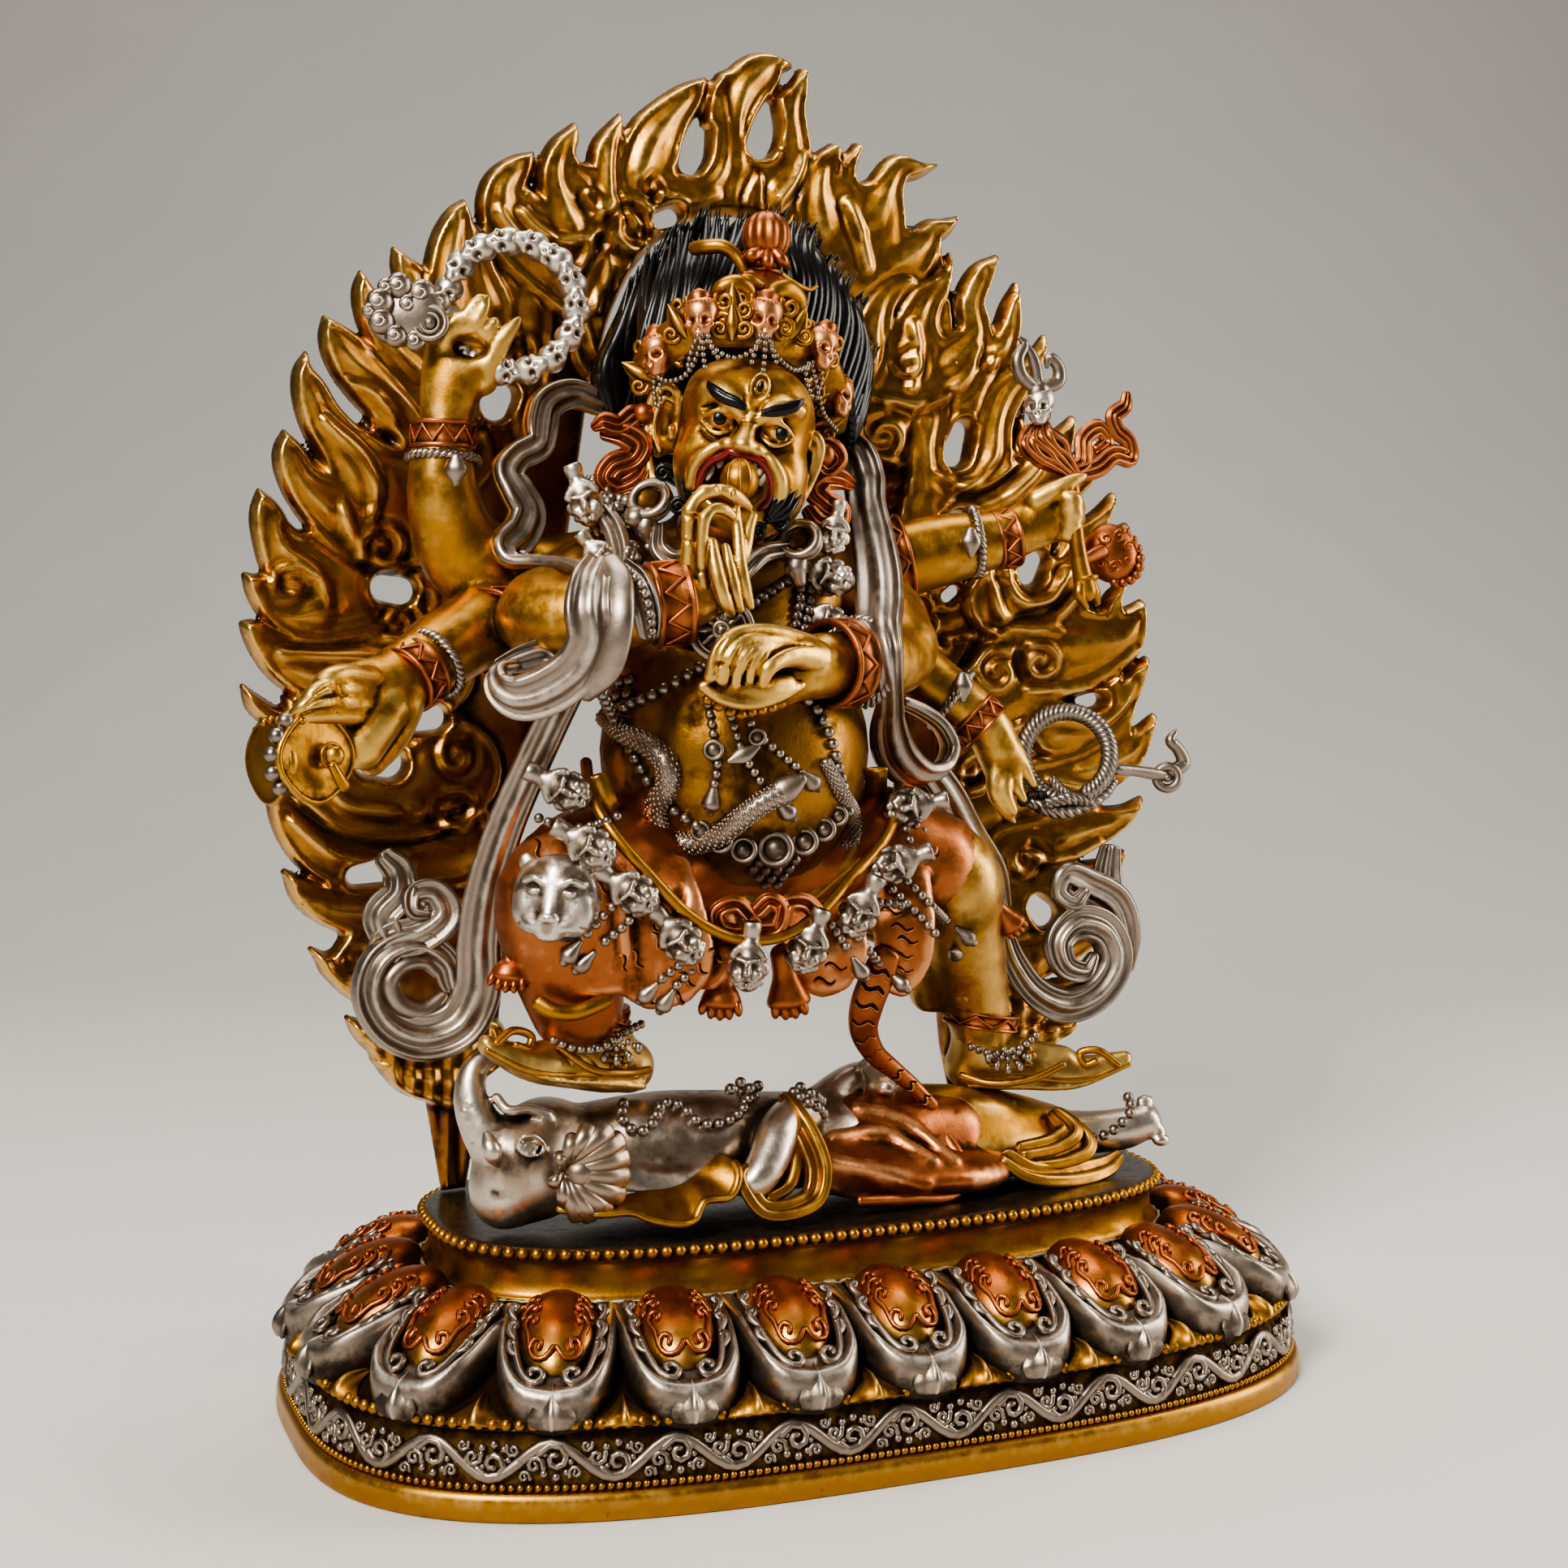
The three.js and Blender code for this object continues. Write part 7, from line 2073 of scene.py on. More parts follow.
def crown_beads(piece):
    swags = [[(806, 462), (822, 470), (842, 464), (856, 444), (866, 414)],
             [(866, 414), (880, 430), (904, 441), (926, 432), (940, 414)],
             [(944, 414), (958, 440), (978, 456), (994, 452), (1002, 446)],
             [(1000, 450), (1008, 484), (1014, 508), (1030, 530)],
             [(860, 414), (852, 432), (848, 450)], [(866, 414), (866, 434), (868, 452)],
             [(872, 414), (878, 432), (884, 440)],
             [(936, 414), (930, 432), (926, 446)], [(942, 414), (942, 436), (940, 456)],
             [(948, 414), (952, 436), (956, 446)],
             [(996, 448), (992, 462), (1000, 488)], [(1004, 446), (1012, 462), (1006, 490)],
             [(806, 464), (806, 482), (808, 498)], [(812, 466), (814, 484), (812, 500)]]
    depths = ((780, -12), (811, -22), (864, -31), (942, -33), (1000, -25), (1032, -15))
    for swag in swags:
        rows = [seen(px, py, float(np.interp(px, [d[0] for d in depths], [d[1] for d in depths])))
                for px, py in swag]
        piece.add(bead_string(rows, 0.66, 0.05, segments=7, rings=5), SILVER)


def topknot(piece):
    """Scrolled collar, ridged finial and the little gold snake"""
    piece.add(loft(seen_rows([(934, 372, -22, 7.0, 5.0), (936, 352, -21, 6.4, 5.0),
                              (938, 340, -20, 3.6, 3.2), (940, 328, -20, 3.0, 3.0),
                              (940, 318, -20, 4.2, 3.6)]), per=5, facing=BACK,
                   sides=16),
              COPPER, wash=0.05)
    for py, size in ((346, 4.4), (336, 3.7), (322, 4.3)):
        piece.add(ring_band(seen(939, py, -20), UPRIGHT, size, 0.7, 0.7, segments=24, section_sides=7),
                  COPPER, wash=-0.1)
    centre = seen(944, 292, -20)
    turn = np.linspace(0, 2 * math.pi, 60, endpoint=False)
    rings = []
    for tilt in np.linspace(-86, 88, 15):
        size = math.cos(math.radians(tilt)) ** 0.8
        lobes = 1 + 0.11 * np.abs(np.cos(turn * 5)) - 0.05
        circle = ACROSS * np.cos(turn)[:, None] + BACK * np.sin(turn)[:, None]
        rings.append(centre + circle * (5.3 * size * lobes)[:, None]
                     + UPRIGHT * 5.6 * math.sin(math.radians(tilt)))
    verts = np.vstack(rings)
    # Darker in the grooves between the lobes: painted shade with the wash
    stain_and_shade = np.tile(0.5 * (1 - np.abs(np.cos(turn * 5))) ** 2 - 0.1, len(rings))
    faces = [tuple(face)[::-1] for face in ring_faces(len(rings), len(turn))]
    piece.add((verts, faces, stain_and_shade, np.zeros(len(verts))), COPPER)
    for px, py, tx, ty in ((934, 312, 916, 318), (956, 312, 972, 330), (945, 314, 945, 334)):
        piece.add(loft(seen_rows([(px, py, -24, 1.6), ((px + tx) / 2, (py + ty) / 2, -25, 1.5),
                                  (tx, ty, -23, 0.5)]),
                       sides=7), COPPER)
    for rows in ([(880, 372, -24, 0.8), (888, 356, -26, 1.6), (908, 350, -27, 1.9), (922, 360, -27, 1.6),
                  (916, 374, -27, 1.2), (904, 368, -27, 0.7)],
                 [(980, 396, -24, 1.2), (984, 372, -25, 1.8), (968, 356, -27, 2.0), (952, 362, -28, 1.7),
                  (954, 376, -28, 1.2), (966, 374, -28, 0.7)],
                 [(905, 392, -27, 1.4), (900, 374, -27, 1.7), (922, 384, -28, 1.4), (930, 398, -28, 0.8)],
                 [(936, 352, -26, 1.2), (922, 346, -26, 1.6), (904, 352, -25, 1.0)]):
        piece.add(loft([(*seen(*row[:3]), row[3] * 1.15, row[3]) for row in rows], facing=BACK, sides=9),
                  GOLD)
    piece.add(loft(seen_rows([(857, 306, -14, 1.7), (872, 304, -17, 1.75), (890, 304, -19, 1.7),
                              (906, 314, -20, 1.6), (916, 330, -21, 1.4),
                              (920, 342, -21, 1.2)]), sides=9), GOLD, wash=0.1)
    piece.add(loft(seen_rows([(962, 338, -20, 0.9), (980, 350, -18, 0.8), (998, 357, -16, 0.6),
                              (1007, 353, -15, 0.35)]),
                   sides=7), OLD_GOLD)


def ear_ornaments(piece):
    for px, py, y, turn_to in ((800, 615, -20, -20), (985, 665, -27, -16)):
        centre = seen(px, py, y)
        axis = BACK + ACROSS * math.sin(math.radians(turn_to)) + UPRIGHT * 0.45
        piece.add(ring_band(centre, axis, 4.1, 1.3, 1.25, segments=30, section_sides=10), SILVER)
        piece.add(ring_band(centre - unit(axis) * 1.6, axis, 4.6, 0.8, 0.6, segments=30, section_sides=7),
                  PEWTER)
        # The gold centre inside the ring, darkened with extra wash: painted shade inside it
        piece.add(ellipsoid(centre - unit(axis) * 1.2, (3.3, 1.0, 3.0), segments=14, rings=8), GOLD,
                  wash=0.45)
        piece.add(loft([(*(centre - UPRIGHT * 3.8), 2.2), (*(centre - UPRIGHT * 6.6 - ACROSS * 0.8), 2.7),
                        (*(centre - UPRIGHT * 9.6), 1.6)], sides=10), SILVER)
    bows = [
        [(798, 512, -9, 2.0, 1.2), (782, 512, -12, 2.6, 1.2), (764, 524, -13, 2.4, 1.1),
         (744, 520, -13, 2.2, 1.0), (733, 526, -12, 1.2, 0.9)],
        [(744, 533, -11, 1.8, 1.0), (770, 536, -13, 3.0, 1.2), (787, 548, -13.5, 3.2, 1.2),
         (780, 564, -13, 3.0, 1.2), (756, 574, -13, 3.0, 1.2), (747, 590, -13, 2.8, 1.1),
         (762, 601, -13, 2.6, 1.1), (786, 590, -14, 2.4, 1.0), (796, 572, -13, 1.6, 0.9)],
        [(762, 596, -12, 2.2, 1.0), (772, 606, -12.5, 2.6, 1.0), (786, 612, -13, 1.6, 0.9)],
        [(1008, 548, -19, 1.6, 1.2), (1022, 552, -20, 2.6, 1.3), (1032, 566, -20, 2.4, 1.2),
         (1020, 578, -20, 2.0, 1.1), (1010, 570, -21, 1.6, 1.0)],
        [(1048, 597, -17, 1.6, 1.0), (1034, 590, -19, 2.6, 1.2), (1015, 590, -20, 3.0, 1.2),
         (1005, 604, -20, 3.0, 1.2), (1017, 618, -20, 2.8, 1.2), (1032, 630, -19, 3.0, 1.2),
         (1028, 646, -19, 3.0, 1.2), (1008, 644, -20, 2.6, 1.1), (996, 628, -20, 1.8, 1.0)],
    ]
    for bow in bows:
        piece.add(ribbon(seen_rows(bow), ridges=3, per=6, facing=BACK), COPPER, wash=0.02)
    piece.add(ellipsoid(seen(794, 510, -13), (2.6, 2.2, 2.6), segments=12, rings=8), COPPER)
    piece.add(ellipsoid(seen(1016, 560, -21), (2.6, 2.2, 2.6), segments=12, rings=8), COPPER)


def make_head():
    face = face_clay()
    head = Piece("head_face", ["mahakala"], "mahakala")
    head.add(on_face(face.mesh(adaptivity=0.04, cavity=1.2, strength=0.9)), GOLD)
    face_paint(head)
    morsel(head)
    head.make()
    tresses = Piece("head_hair", ["mahakala"], "mahakala")
    hair(tresses)
    back_hair(tresses)
    tresses.make()
    regalia = Piece("head_crown", ["mahakala"], "mahakala")
    crown(regalia)
    crown_beads(regalia)
    topknot(regalia)
    ear_ornaments(regalia)
    regalia.make()


make_head()


# Dress: tiger skin, scarf, garland of heads, chains and cuffs

def skirt_clay():
    """The tiger skin round the hips and the right thigh, with its hanging panels"""
    clay = Clay((-92, -52, 40), (52, 26, 104), 0.62)
    clay.lump((-20, -6, 79), (29, 19.5, 14), blend=5)
    clay.stroke([(-34, -8, 84, 16.6), (-52, -18, 81, 17.4), (-69, -27, 75.5, 14.4), (-67.5, -25, 63, 12.4),
                 (-63.5, -21.5, 51, 10.6)], blend=4)
    clay.stroke([(-4, -4, 84, 16.4), (14, -10, 82.5, 15.6), (27, -13.5, 79, 13.2)], blend=4)
    clay.stroke([(-40, 9, 78, 9, 4), (-18, 15, 68, 16, 4), (8, 12, 78, 9, 4)], facing=(0, 1, 0), blend=3)
    for panel in SKIN_PANELS:
        clay.stroke(seen_rows(panel), facing=BACK, blend=2.2)
    for fold in SKIN_FOLDS:
        clay.stroke([(*seen(*at), 0.9) for at in fold], cut=True, blend=1.6)
    return clay


# Hanging panels of the tiger skin, the folds from the belt and the claw-like stripes
SKIN_PANELS = [[(800, 1070, -33, 9.0, 2.6), (806, 1120, -39, 11.0, 2.4), (812, 1180, -40, 12.2, 2.2),
                (818, 1214, -39.5, 10.0, 1.9), (822, 1234, -39, 6.0, 1.5)],
               [(868, 1130, -33, 7.0, 2.4), (866, 1180, -39.5, 8.0, 2.0), (858, 1208, -39, 5.0, 1.6)],
               [(1010, 1120, -30, 9.0, 2.2), (1016, 1170, -36, 10.0, 2.0), (1022, 1202, -35.5, 8.0, 1.8),
                (1028, 1218, -35, 4.5, 1.4)],
               [(1110, 1080, -25, 7.0, 2.6), (1114, 1140, -30.5, 7.4, 2.3), (1112, 1184, -30, 6.6, 2.0),
                (1098, 1216, -29.5, 4.6, 1.6)],
               [(724, 1080, -38, 8.0, 2.6), (728, 1150, -38, 8.6, 2.4), (726, 1214, -35, 8.0, 2.2)]]
SKIN_FOLDS = [[(764, 1050, -41), (756, 1110, -42), (762, 1180, -41), (778, 1236, -39)],
              [(686, 1160, -41), (690, 1200, -39), (694, 1240, -36)],
              [(840, 1100, -42), (832, 1140, -43), (800, 1190, -43)],
              [(1070, 1120, -33), (1074, 1160, -33), (1070, 1196, -32)],
              [(1046, 1110, -36), (1050, 1160, -37)]]
STRIPES = [(786, 1120, 1.1), (806, 1136, 1.1), (770, 1186, 1.2), (786, 1180, 1.1), (848, 1206, 0.7),
           (862, 1190, 0.8), (838, 1228, 0.7), (884, 1176, 0.6), (812, 1160, 1.1), (800, 1226, 1.0),
           (1008, 1172, 0.2), (1030, 1190, 0.2), (1016, 1208, 0.1), (1000, 1146, 0.4), (1112, 1142, 0.2),
           (1118, 1158, 0.2), (1112, 1176, 0.1), (1112, 1194, 0.1), (1106, 1212, 0.1), (1148, 1056, 2.4),
           (1098, 1122, 0.2), (736, 1070, 0.6), (742, 1092, 0.6), (664, 1046, 1.3)]
STRIPE = ((-13, 1.5), (-8, -2.5), (-2, -1.0), (3, 2.5), (8, 3.0), (13, -1.0))   # its curve in pixels


def stripe(piece, clay, px, py, lean):
    """A curled cut in the skin with a bright lower lip"""
    cosine, sine = math.cos(lean), math.sin(lean)
    # Dark in the cut, the stripe with wash and painted shade, and lighter on its lower lip: painted
    # highlight
    for shift, size, proud, stain_and_shade in ((0.0, 0.42, 0.0, 0.8), (2.6, 0.36, 0.1, -0.2)):
        rows = []
        for along, wave in STRIPE:
            point = met(clay, px + along * cosine - (wave + shift) * sine,
                        py + along * sine + (wave + shift) * cosine, proud)
            if point is not None and (not rows or abs(point[1] - rows[-1][1]) < 4):
                rows.append((*point, size * (0.5 if abs(along) > 10 else 1.0)))
        if len(rows) > 2:
            piece.add(loft(rows, per=3, sides=6), COPPER, wash=stain_and_shade)


def paw(piece, wrist, toes, size=2.0, count=5):
    """A hanging paw: a short leg that swells into a pad with long round toes"""
    wrist, toes = np.array(seen(*wrist)), np.array(seen(*toes))
    run = unit(toes - wrist)
    side = unit(np.cross(run, BACK))
    heel = toes - run * size * 1.2
    piece.add(loft([(*wrist, size * 1.1, size), (*(wrist * 0.4 + heel * 0.6), size * 1.15, size * 1.05),
                    (*heel, size * 1.6, size * 1.3), (*toes, size * 1.9, size * 1.4),
                    (*(toes + run * size * 0.5), size * 1.3, size * 0.8)], facing=BACK, sides=16), COPPER)
    toe = ellipsoid((0, 0, 0), (size * 0.46, size * 0.62, size * 0.85), segments=14, rings=10)
    for index in range(count):
        spread = index - (count - 1) / 2
        place = (toes + side * spread * size * 0.8 + run * size * (0.62 - 0.11 * spread ** 2)
                 + BACK * size * 0.45)
        lean = unit(run + side * spread * 0.12)
        axes = np.column_stack([unit(np.cross(BACK, lean)), BACK, lean])
        piece.add(placed(toe, place, axes), COPPER, wash=-0.06)


TAIL = [(1092, 1176, -31, 3.4, 1.9), (1080, 1206, -30, 3.9, 1.9), (1068, 1238, -28, 3.9, 1.9),
        (1064, 1268, -25, 3.4, 1.9), (1076, 1296, -22, 2.7, 1.8), (1098, 1316, -19, 2.3, 1.7),
        (1122, 1336, -18, 2.0, 1.6), (1148, 1362, -18, 1.8, 1.5)]
BOWS = [[(930, 1136, -41), (906, 1114, -42.5), (884, 1124, -42), (888, 1144, -41), (912, 1150, -41),
         (930, 1142, -42)],
        [(934, 1122, -42), (948, 1110, -43), (962, 1120, -43), (956, 1142, -42.5), (938, 1146, -42)],
        [(962, 1140, -42), (970, 1114, -43), (992, 1112, -42), (1006, 1130, -40.5), (990, 1146, -41)]]


def skirt(piece):
    clay = skirt_clay()
    piece.add(clay.mesh(adaptivity=0.07, cavity=1.2, strength=0.9), COPPER)
    for px, py, lean in STRIPES:
        stripe(piece, clay, px, py, lean)
    hem = [(664, 1236, -35), (682, 1246, -36.5), (706, 1248, -37), (730, 1240, -37), (746, 1232, -36)]
    piece.add(loft([(*seen(*at), 1.8, 1.5) for at in hem], facing=BACK), GOLD, wash=-0.1)
    paw(piece, (890, 1196, -36), (888, 1238, -36), size=2.4)
    paw(piece, (964, 1176, -35), (972, 1236, -35), size=2.6, count=4)
    paw(piece, (632, 1175, -26), (626, 1206, -27), size=2.1)
    paw(piece, (1222, 1110, -18), (1250, 1142, -19), size=1.8, count=4)
    rows = seen_rows(TAIL)
    piece.add(loft(rows, facing=BACK, sides=14, per=7), COPPER)
    line = smooth_rows(rows, 3)
    for index in range(2, len(line) - 1, 2):
        here, ahead = line[index, :3], unit(line[index + 1, :3] - line[index - 1, :3])
        side = unit(np.cross(ahead, BACK))
        out = BACK * (line[index, 4] + 0.05)
        # Each stripe on the tail is dark in its cut and lighter on its lip: wash with painted shade, and
        # painted highlight
        for shift, size, stain_and_shade in ((0.0, 0.42, 0.9), (0.8, 0.34, -0.25)):
            wave = [(*(here + out * math.sqrt(1 - (0.7 * s) ** 2) + side * s * line[index, 3] * 0.7
                       + ahead * (0.7 * math.sin(4 * s) + shift)), size)
                    for s in (-0.9, -0.4, 0.1, 0.6, 0.95)]
            piece.add(loft(wave, per=2, sides=5), COPPER, wash=stain_and_shade)
    for loop in BOWS:
        piece.add(loft([(*seen(*at), 2.1, 1.7) for at in loop], flat_section(2), facing=BACK), COPPER,
                  wash=-0.03)
    return clay


def tiger_face():
    """Mask over the knee: smooth brow, broad nose, muzzle and a soft rim of fur, about its own middle"""
    clay = Clay((-13, -9, -13), (13, 8, 13), 0.32)
    clay.lump((0, 1.2, 0), (9.0, 5.0, 9.4), blend=1)
    clay.stroke([(0, -0.9, 5.4, 2.1), (0, -1.9, 1.4, 2.0), (0, -3.5, -2.8, 2.2)], blend=2.2)
    clay.lump((0, -5.4, -4.1), (2.2, 1.1, 1.0), blend=0.7)
    clay.lump((0, -2.9, -8.2), (2.6, 1.7, 1.2), blend=1.0)
    for side in (-1, 1):
        clay.lump((side * 2.4, -3.2, -5.9), (3.0, 2.1, 2.0), blend=1.2)
        clay.lump((side * 5.2, -1.2, -3.2), (3.6, 2.6, 4.4), blend=2.4)
        clay.lump((side * 3.9, -3.3, 1.3), (1.5, 0.9, 0.6), blend=0.3)
        clay.stroke([(side * 2.0, -3.4, 3.1, 0.45), (side * 4.0, -3.4, 4.1, 0.65),
                     (side * 6.6, -2.0, 3.4, 0.45)], blend=1.0)
        clay.lump((side * 7.2, 1.4, 7.0), (1.8, 1.2, 2.0), blend=0.8)
        for index in range(13):
            angle = math.radians(50 - 11 * index)
            root = (side * 8.2 * math.cos(angle), 0.2, 8.6 * math.sin(angle))
            tip = (side * 9.5 * math.cos(angle), 1.6, 9.9 * math.sin(angle) - 0.8)
            clay.stroke([(*root, 1.1), (*tip, 0.6)], blend=0.8)
        carving = [[(2.1, -4.3, 0.6, 0.3), (3.8, -4.4, 2.2, 0.36), (5.8, -3.4, 2.0, 0.3)],
                   [(2.3, -4.3, 0.4, 0.26), (4.0, -4.2, 0.3, 0.3), (5.6, -3.5, 1.2, 0.26)],
                   [(0.7, -4.2, 7.2, 0.2), (1.0, -4.3, 5.6, 0.32), (1.5, -4.2, 4.2, 0.22)],
                   [(3.2, -3.4, 7.0, 0.2), (4.2, -3.4, 5.8, 0.3), (5.6, -3.0, 5.2, 0.2)],
                   [(0, -5.7, -5.6, 0.3), (0.8, -5.6, -6.8, 0.36), (2.8, -5.0, -7.5, 0.3),
                    (4.6, -3.8, -6.8, 0.2)]]
        carving += [[(5.4 + 0.3 * index, -3.3, -0.6 - 1.6 * index, 0.2),
                     (7.4, -2.2, -1.4 - 1.6 * index, 0.34),
                     (8.8, 0.2, -1.6 - 1.7 * index, 0.26)] for index in range(5)]
        for line in carving:
            clay.stroke([(side * x, y, z, radius) for x, y, z, radius in line], cut=True, blend=0.35)
        clay.lump((side * 0.9, -6.3, -4.4), (0.5, 0.6, 0.4), cut=True, blend=0.3)
    return clay.mesh(adaptivity=0.03, cavity=0.9, strength=1.3)


def severed_head():
    """A small fierce head with a whorled beard, hung by a banded lock; about its own middle"""
    clay = Clay((-5, -5, -6), (5, 5, 8.5), 0.34)
    clay.lump((0, 0, -0.2), (3.3, 3.3, 4.5), blend=0.6)
    clay.stroke([(0, -3.1, 0.9, 0.5), (0, -4.0, -0.6, 0.85)], blend=0.5)
    for side in (-1, 1):
        clay.lump((side * 1.4, -3.5, 0.9), (0.85, 0.9, 0.55), cut=True, blend=0.2)
        clay.stroke([(side * 0.4, -3.4, 1.6, 0.4), (side * 2.2, -2.9, 2.0, 0.45)], blend=0.3)
        clay.lump((side * 1.9, -2.6, -0.9), (1.1, 1.0, 1.0), blend=0.4)
        clay.lump((side * 3.4, -0.4, 0.0), (0.6, 1.0, 1.3), blend=0.2)
        clay.stroke([(0, -3.6, -1.6, 0.45), (side * 1.6, -3.2, -2.0, 0.5)], blend=0.3)
        for index in range(3):
            clay.lump((side * (0.8 + 0.9 * index), -2.9 + 0.5 * index, -3.2 + 0.5 * index),
                      (0.75, 0.7, 0.9), blend=0.15)
    for index in range(9):
        angle = math.radians(20 + 17.5 * index)
        clay.lump((3.2 * math.cos(angle), -1.2, 1.2 + 3.1 * math.sin(angle)), (0.8, 0.9, 0.8), blend=0.15)
    clay.stroke([(0, 0, 3.4, 2.3), (0, 0, 5.2, 1.6), (0, 0, 7.6, 2.0)], blend=0.8)
    clay.stroke([(-1.2, 0, 5.2, 0.6), (0, -1.2, 5.2, 0.6), (1.2, 0, 5.2, 0.6)], blend=0.2)
    return clay.mesh(adaptivity=0.08, cavity=0.9, strength=1.2)


HEAD = severed_head()
GARLAND = [(700, 975, -33, -62), (732, 1046, -41, -60), (784, 1102, -43, -56), (842, 1162, -44, -40),
           (922, 1192, -44, 4), (994, 1172, -42, 20), (1056, 1128, -38, 28), (1098, 1066, -33, 70),
           (1116, 994, -25, 80)]
CORD = [(722, 940, -24), (728, 978, -32), (752, 1022, -39), (800, 1078, -43), (852, 1130, -44),
        (905, 1156, -44), (955, 1156, -43.5), (1000, 1134, -42), (1048, 1082, -37), (1086, 1040, -31),
        (1104, 1000, -24), (1108, 960, -16)]
TASSELS = [[(784, 1086, -43), (752, 1120, -43), (724, 1150, -43), (706, 1172, -43)],
           [(800, 1106, -43), (770, 1140, -43), (746, 1160, -43), (722, 1184, -43)],
           [(836, 1190, -43), (816, 1206, -43), (800, 1222, -42), (786, 1242, -42)],
           [(852, 1196, -43), (834, 1214, -43), (822, 1232, -42), (806, 1252, -42)],
           [(1024, 1140, -40), (1042, 1166, -40), (1058, 1192, -40), (1084, 1222, -38)],
           [(1052, 1150, -40), (1072, 1172, -39), (1088, 1192, -38), (1106, 1208, -37)],
           [(1118, 1086, -32), (1144, 1112, -31), (1166, 1134, -29), (1188, 1152, -27)],
           [(1100, 1096, -33), (1130, 1126, -32), (1152, 1150, -30), (1176, 1174, -28)]]
DARK_CHAINS = [[(664, 1008, -31), (690, 1018, -34), (716, 1020, -36), (740, 1014, -38)],
               [(760, 1006, -39), (736, 1016, -38)],
               [(1112, 1010, -26), (1122, 1040, -29), (1126, 1062, -30)],
               [(1120, 1010, -24), (1150, 1034, -23), (1176, 1060, -20), (1196, 1078, -17)],
               [(1110, 1116, -34), (1090, 1112, -36), (1072, 1112, -36)]]


def garland(piece, carriers):
    """The cord with its heads, and strings of beads laid over the carriers"""
    piece.add(loft([(*seen(*at), 1.35) for at in CORD], sides=10), GOLD)
    for px, py, y, lean in GARLAND:
        axes = turned_axes(CAMERA_AZIMUTH + (6 if px < 900 else -4), lean)
        piece.add(placed(HEAD, seen(px, py, y), axes, 1.18), SILVER, wash=0.3)
    for line in TASSELS:
        rows = [np.array(seen(*line[0]))]
        laid = [met(carriers, px, py, 0.9) for px, py, _ in line[1:]]
        rows += [point for point in laid if point is not None]
        if len(rows) < 3:
            continue
        piece.add(bead_string(rows[:-1], 1.15, 0.08, segments=8, rings=5), SILVER)
        last, before = rows[-1], rows[-2]
        run = unit(last - before)
        drop = [(*(last - run * 2.4), 0.7), (*(last - run * 1.2), 1.1), (*last, 1.6),
                (*(last + run * 1.2), 1.95), (*(last + run * 2.2), 1.8), (*(last + run * 3.0), 1.1)]
        piece.add(loft(drop, facing=BACK, sides=14, per=3), SILVER)
    for line in DARK_CHAINS:
        piece.add(bead_string([seen(*at) for at in line], 1.15, 0.05, segments=8, rings=5), PEWTER,
                  wash=0.1)


# Chains, necklaces and the snake, laid over the torso by the photograph's pixels

NECKLACES = [([(742, 856), (762, 896), (790, 948), (812, 984), (840, 1006), (858, 1018)], 1.45),
             ([(748, 872), (772, 868), (804, 856), (836, 838), (862, 822)], 1.5),
             ([(992, 702), (960, 722), (930, 742), (908, 758)], 1.5),
             ([(968, 850), (1000, 866), (1020, 900), (1034, 948), (1046, 1000)], 1.4),
             ([(984, 690), (986, 730), (980, 770)], 1.35), ([(996, 700), (998, 740), (990, 775)], 1.3),
             ([(764, 840), (758, 868), (744, 884)], 1.6), ([(776, 838), (772, 862), (764, 890)], 1.5)]
PENDANTS = [[(872, 868), (878, 900), (884, 940), (880, 966), (877, 986)],
            [(897, 872), (906, 900), (916, 930), (936, 962), (968, 998)],
            [(918, 880), (934, 905), (958, 926), (980, 944), (998, 962)]]
CUPS = [(863, 1024, 2.3), (887, 1036, 2.9), (916, 1047, 3.1), (955, 1046, 4.2), (991, 1037, 3.2),
        (1015, 1022, 2.8), (1032, 1005, 2.4)]
SNAKE = [(744, 884, 1.8), (768, 904, 2.1), (798, 918, 2.4), (820, 940, 2.6), (822, 968, 2.6),
         (808, 996, 2.5), (818, 1028, 2.4), (848, 1040, 2.3), (882, 1032, 2.3), (914, 1008, 2.4),
         (938, 990, 2.4), (960, 978, 2.6)]
SIDE_SNAKE = [(1018, 940, 1.2), (1036, 975, 1.5), (1052, 1010, 1.7), (1052, 1034, 1.6), (1040, 1040, 1.2)]
SCALES_ROUND, SCALE_SPACING, SCALE_RADIUS, SCALE_SINK = 9, 0.85, 0.5, 0.14


def scaled_snake(piece, clay, line):
    """A snake over the torso, covered with staggered rings of scales"""
    rows = []
    for px, py, radius in line:
        point = met(clay, px, py, radius * 0.75)
        rows.append((*(point if point is not None else seen(px, py, -35)), radius))
    piece.add(loft(rows, sides=12, per=6), SILVER)
    line = smooth_rows(rows, 8)
    even = even_points(line, SCALE_SPACING)
    _, side, face = frames_along(even[:, :3], FRONT)
    scales = []
    for index, (x, y, z, radius) in enumerate(even):
        for step in range(SCALES_ROUND):
            angle = 2 * math.pi * (step + 0.5 * (index % 2)) / SCALES_ROUND
            out = side[index] * math.cos(angle) + face[index] * math.sin(angle)
            scales.append(np.array([x, y, z]) + out * (radius - SCALE_SINK))
    piece.add(spheres(scales, SCALE_RADIUS, 6, 4), SILVER, wash=-0.02)
    return rows


def jewel_cup(piece, centre, radius):
    """A ringed cup with a round stone"""
    piece.add(ring_band(centre, BACK, radius * 0.82, radius * 0.42, radius * 0.24, segments=20,
                        section_sides=8), SILVER)
    piece.add(ellipsoid(centre - BACK * radius * 0.25, (radius * 0.7,) * 3, segments=12, rings=7), SILVER,
              wash=0.25)


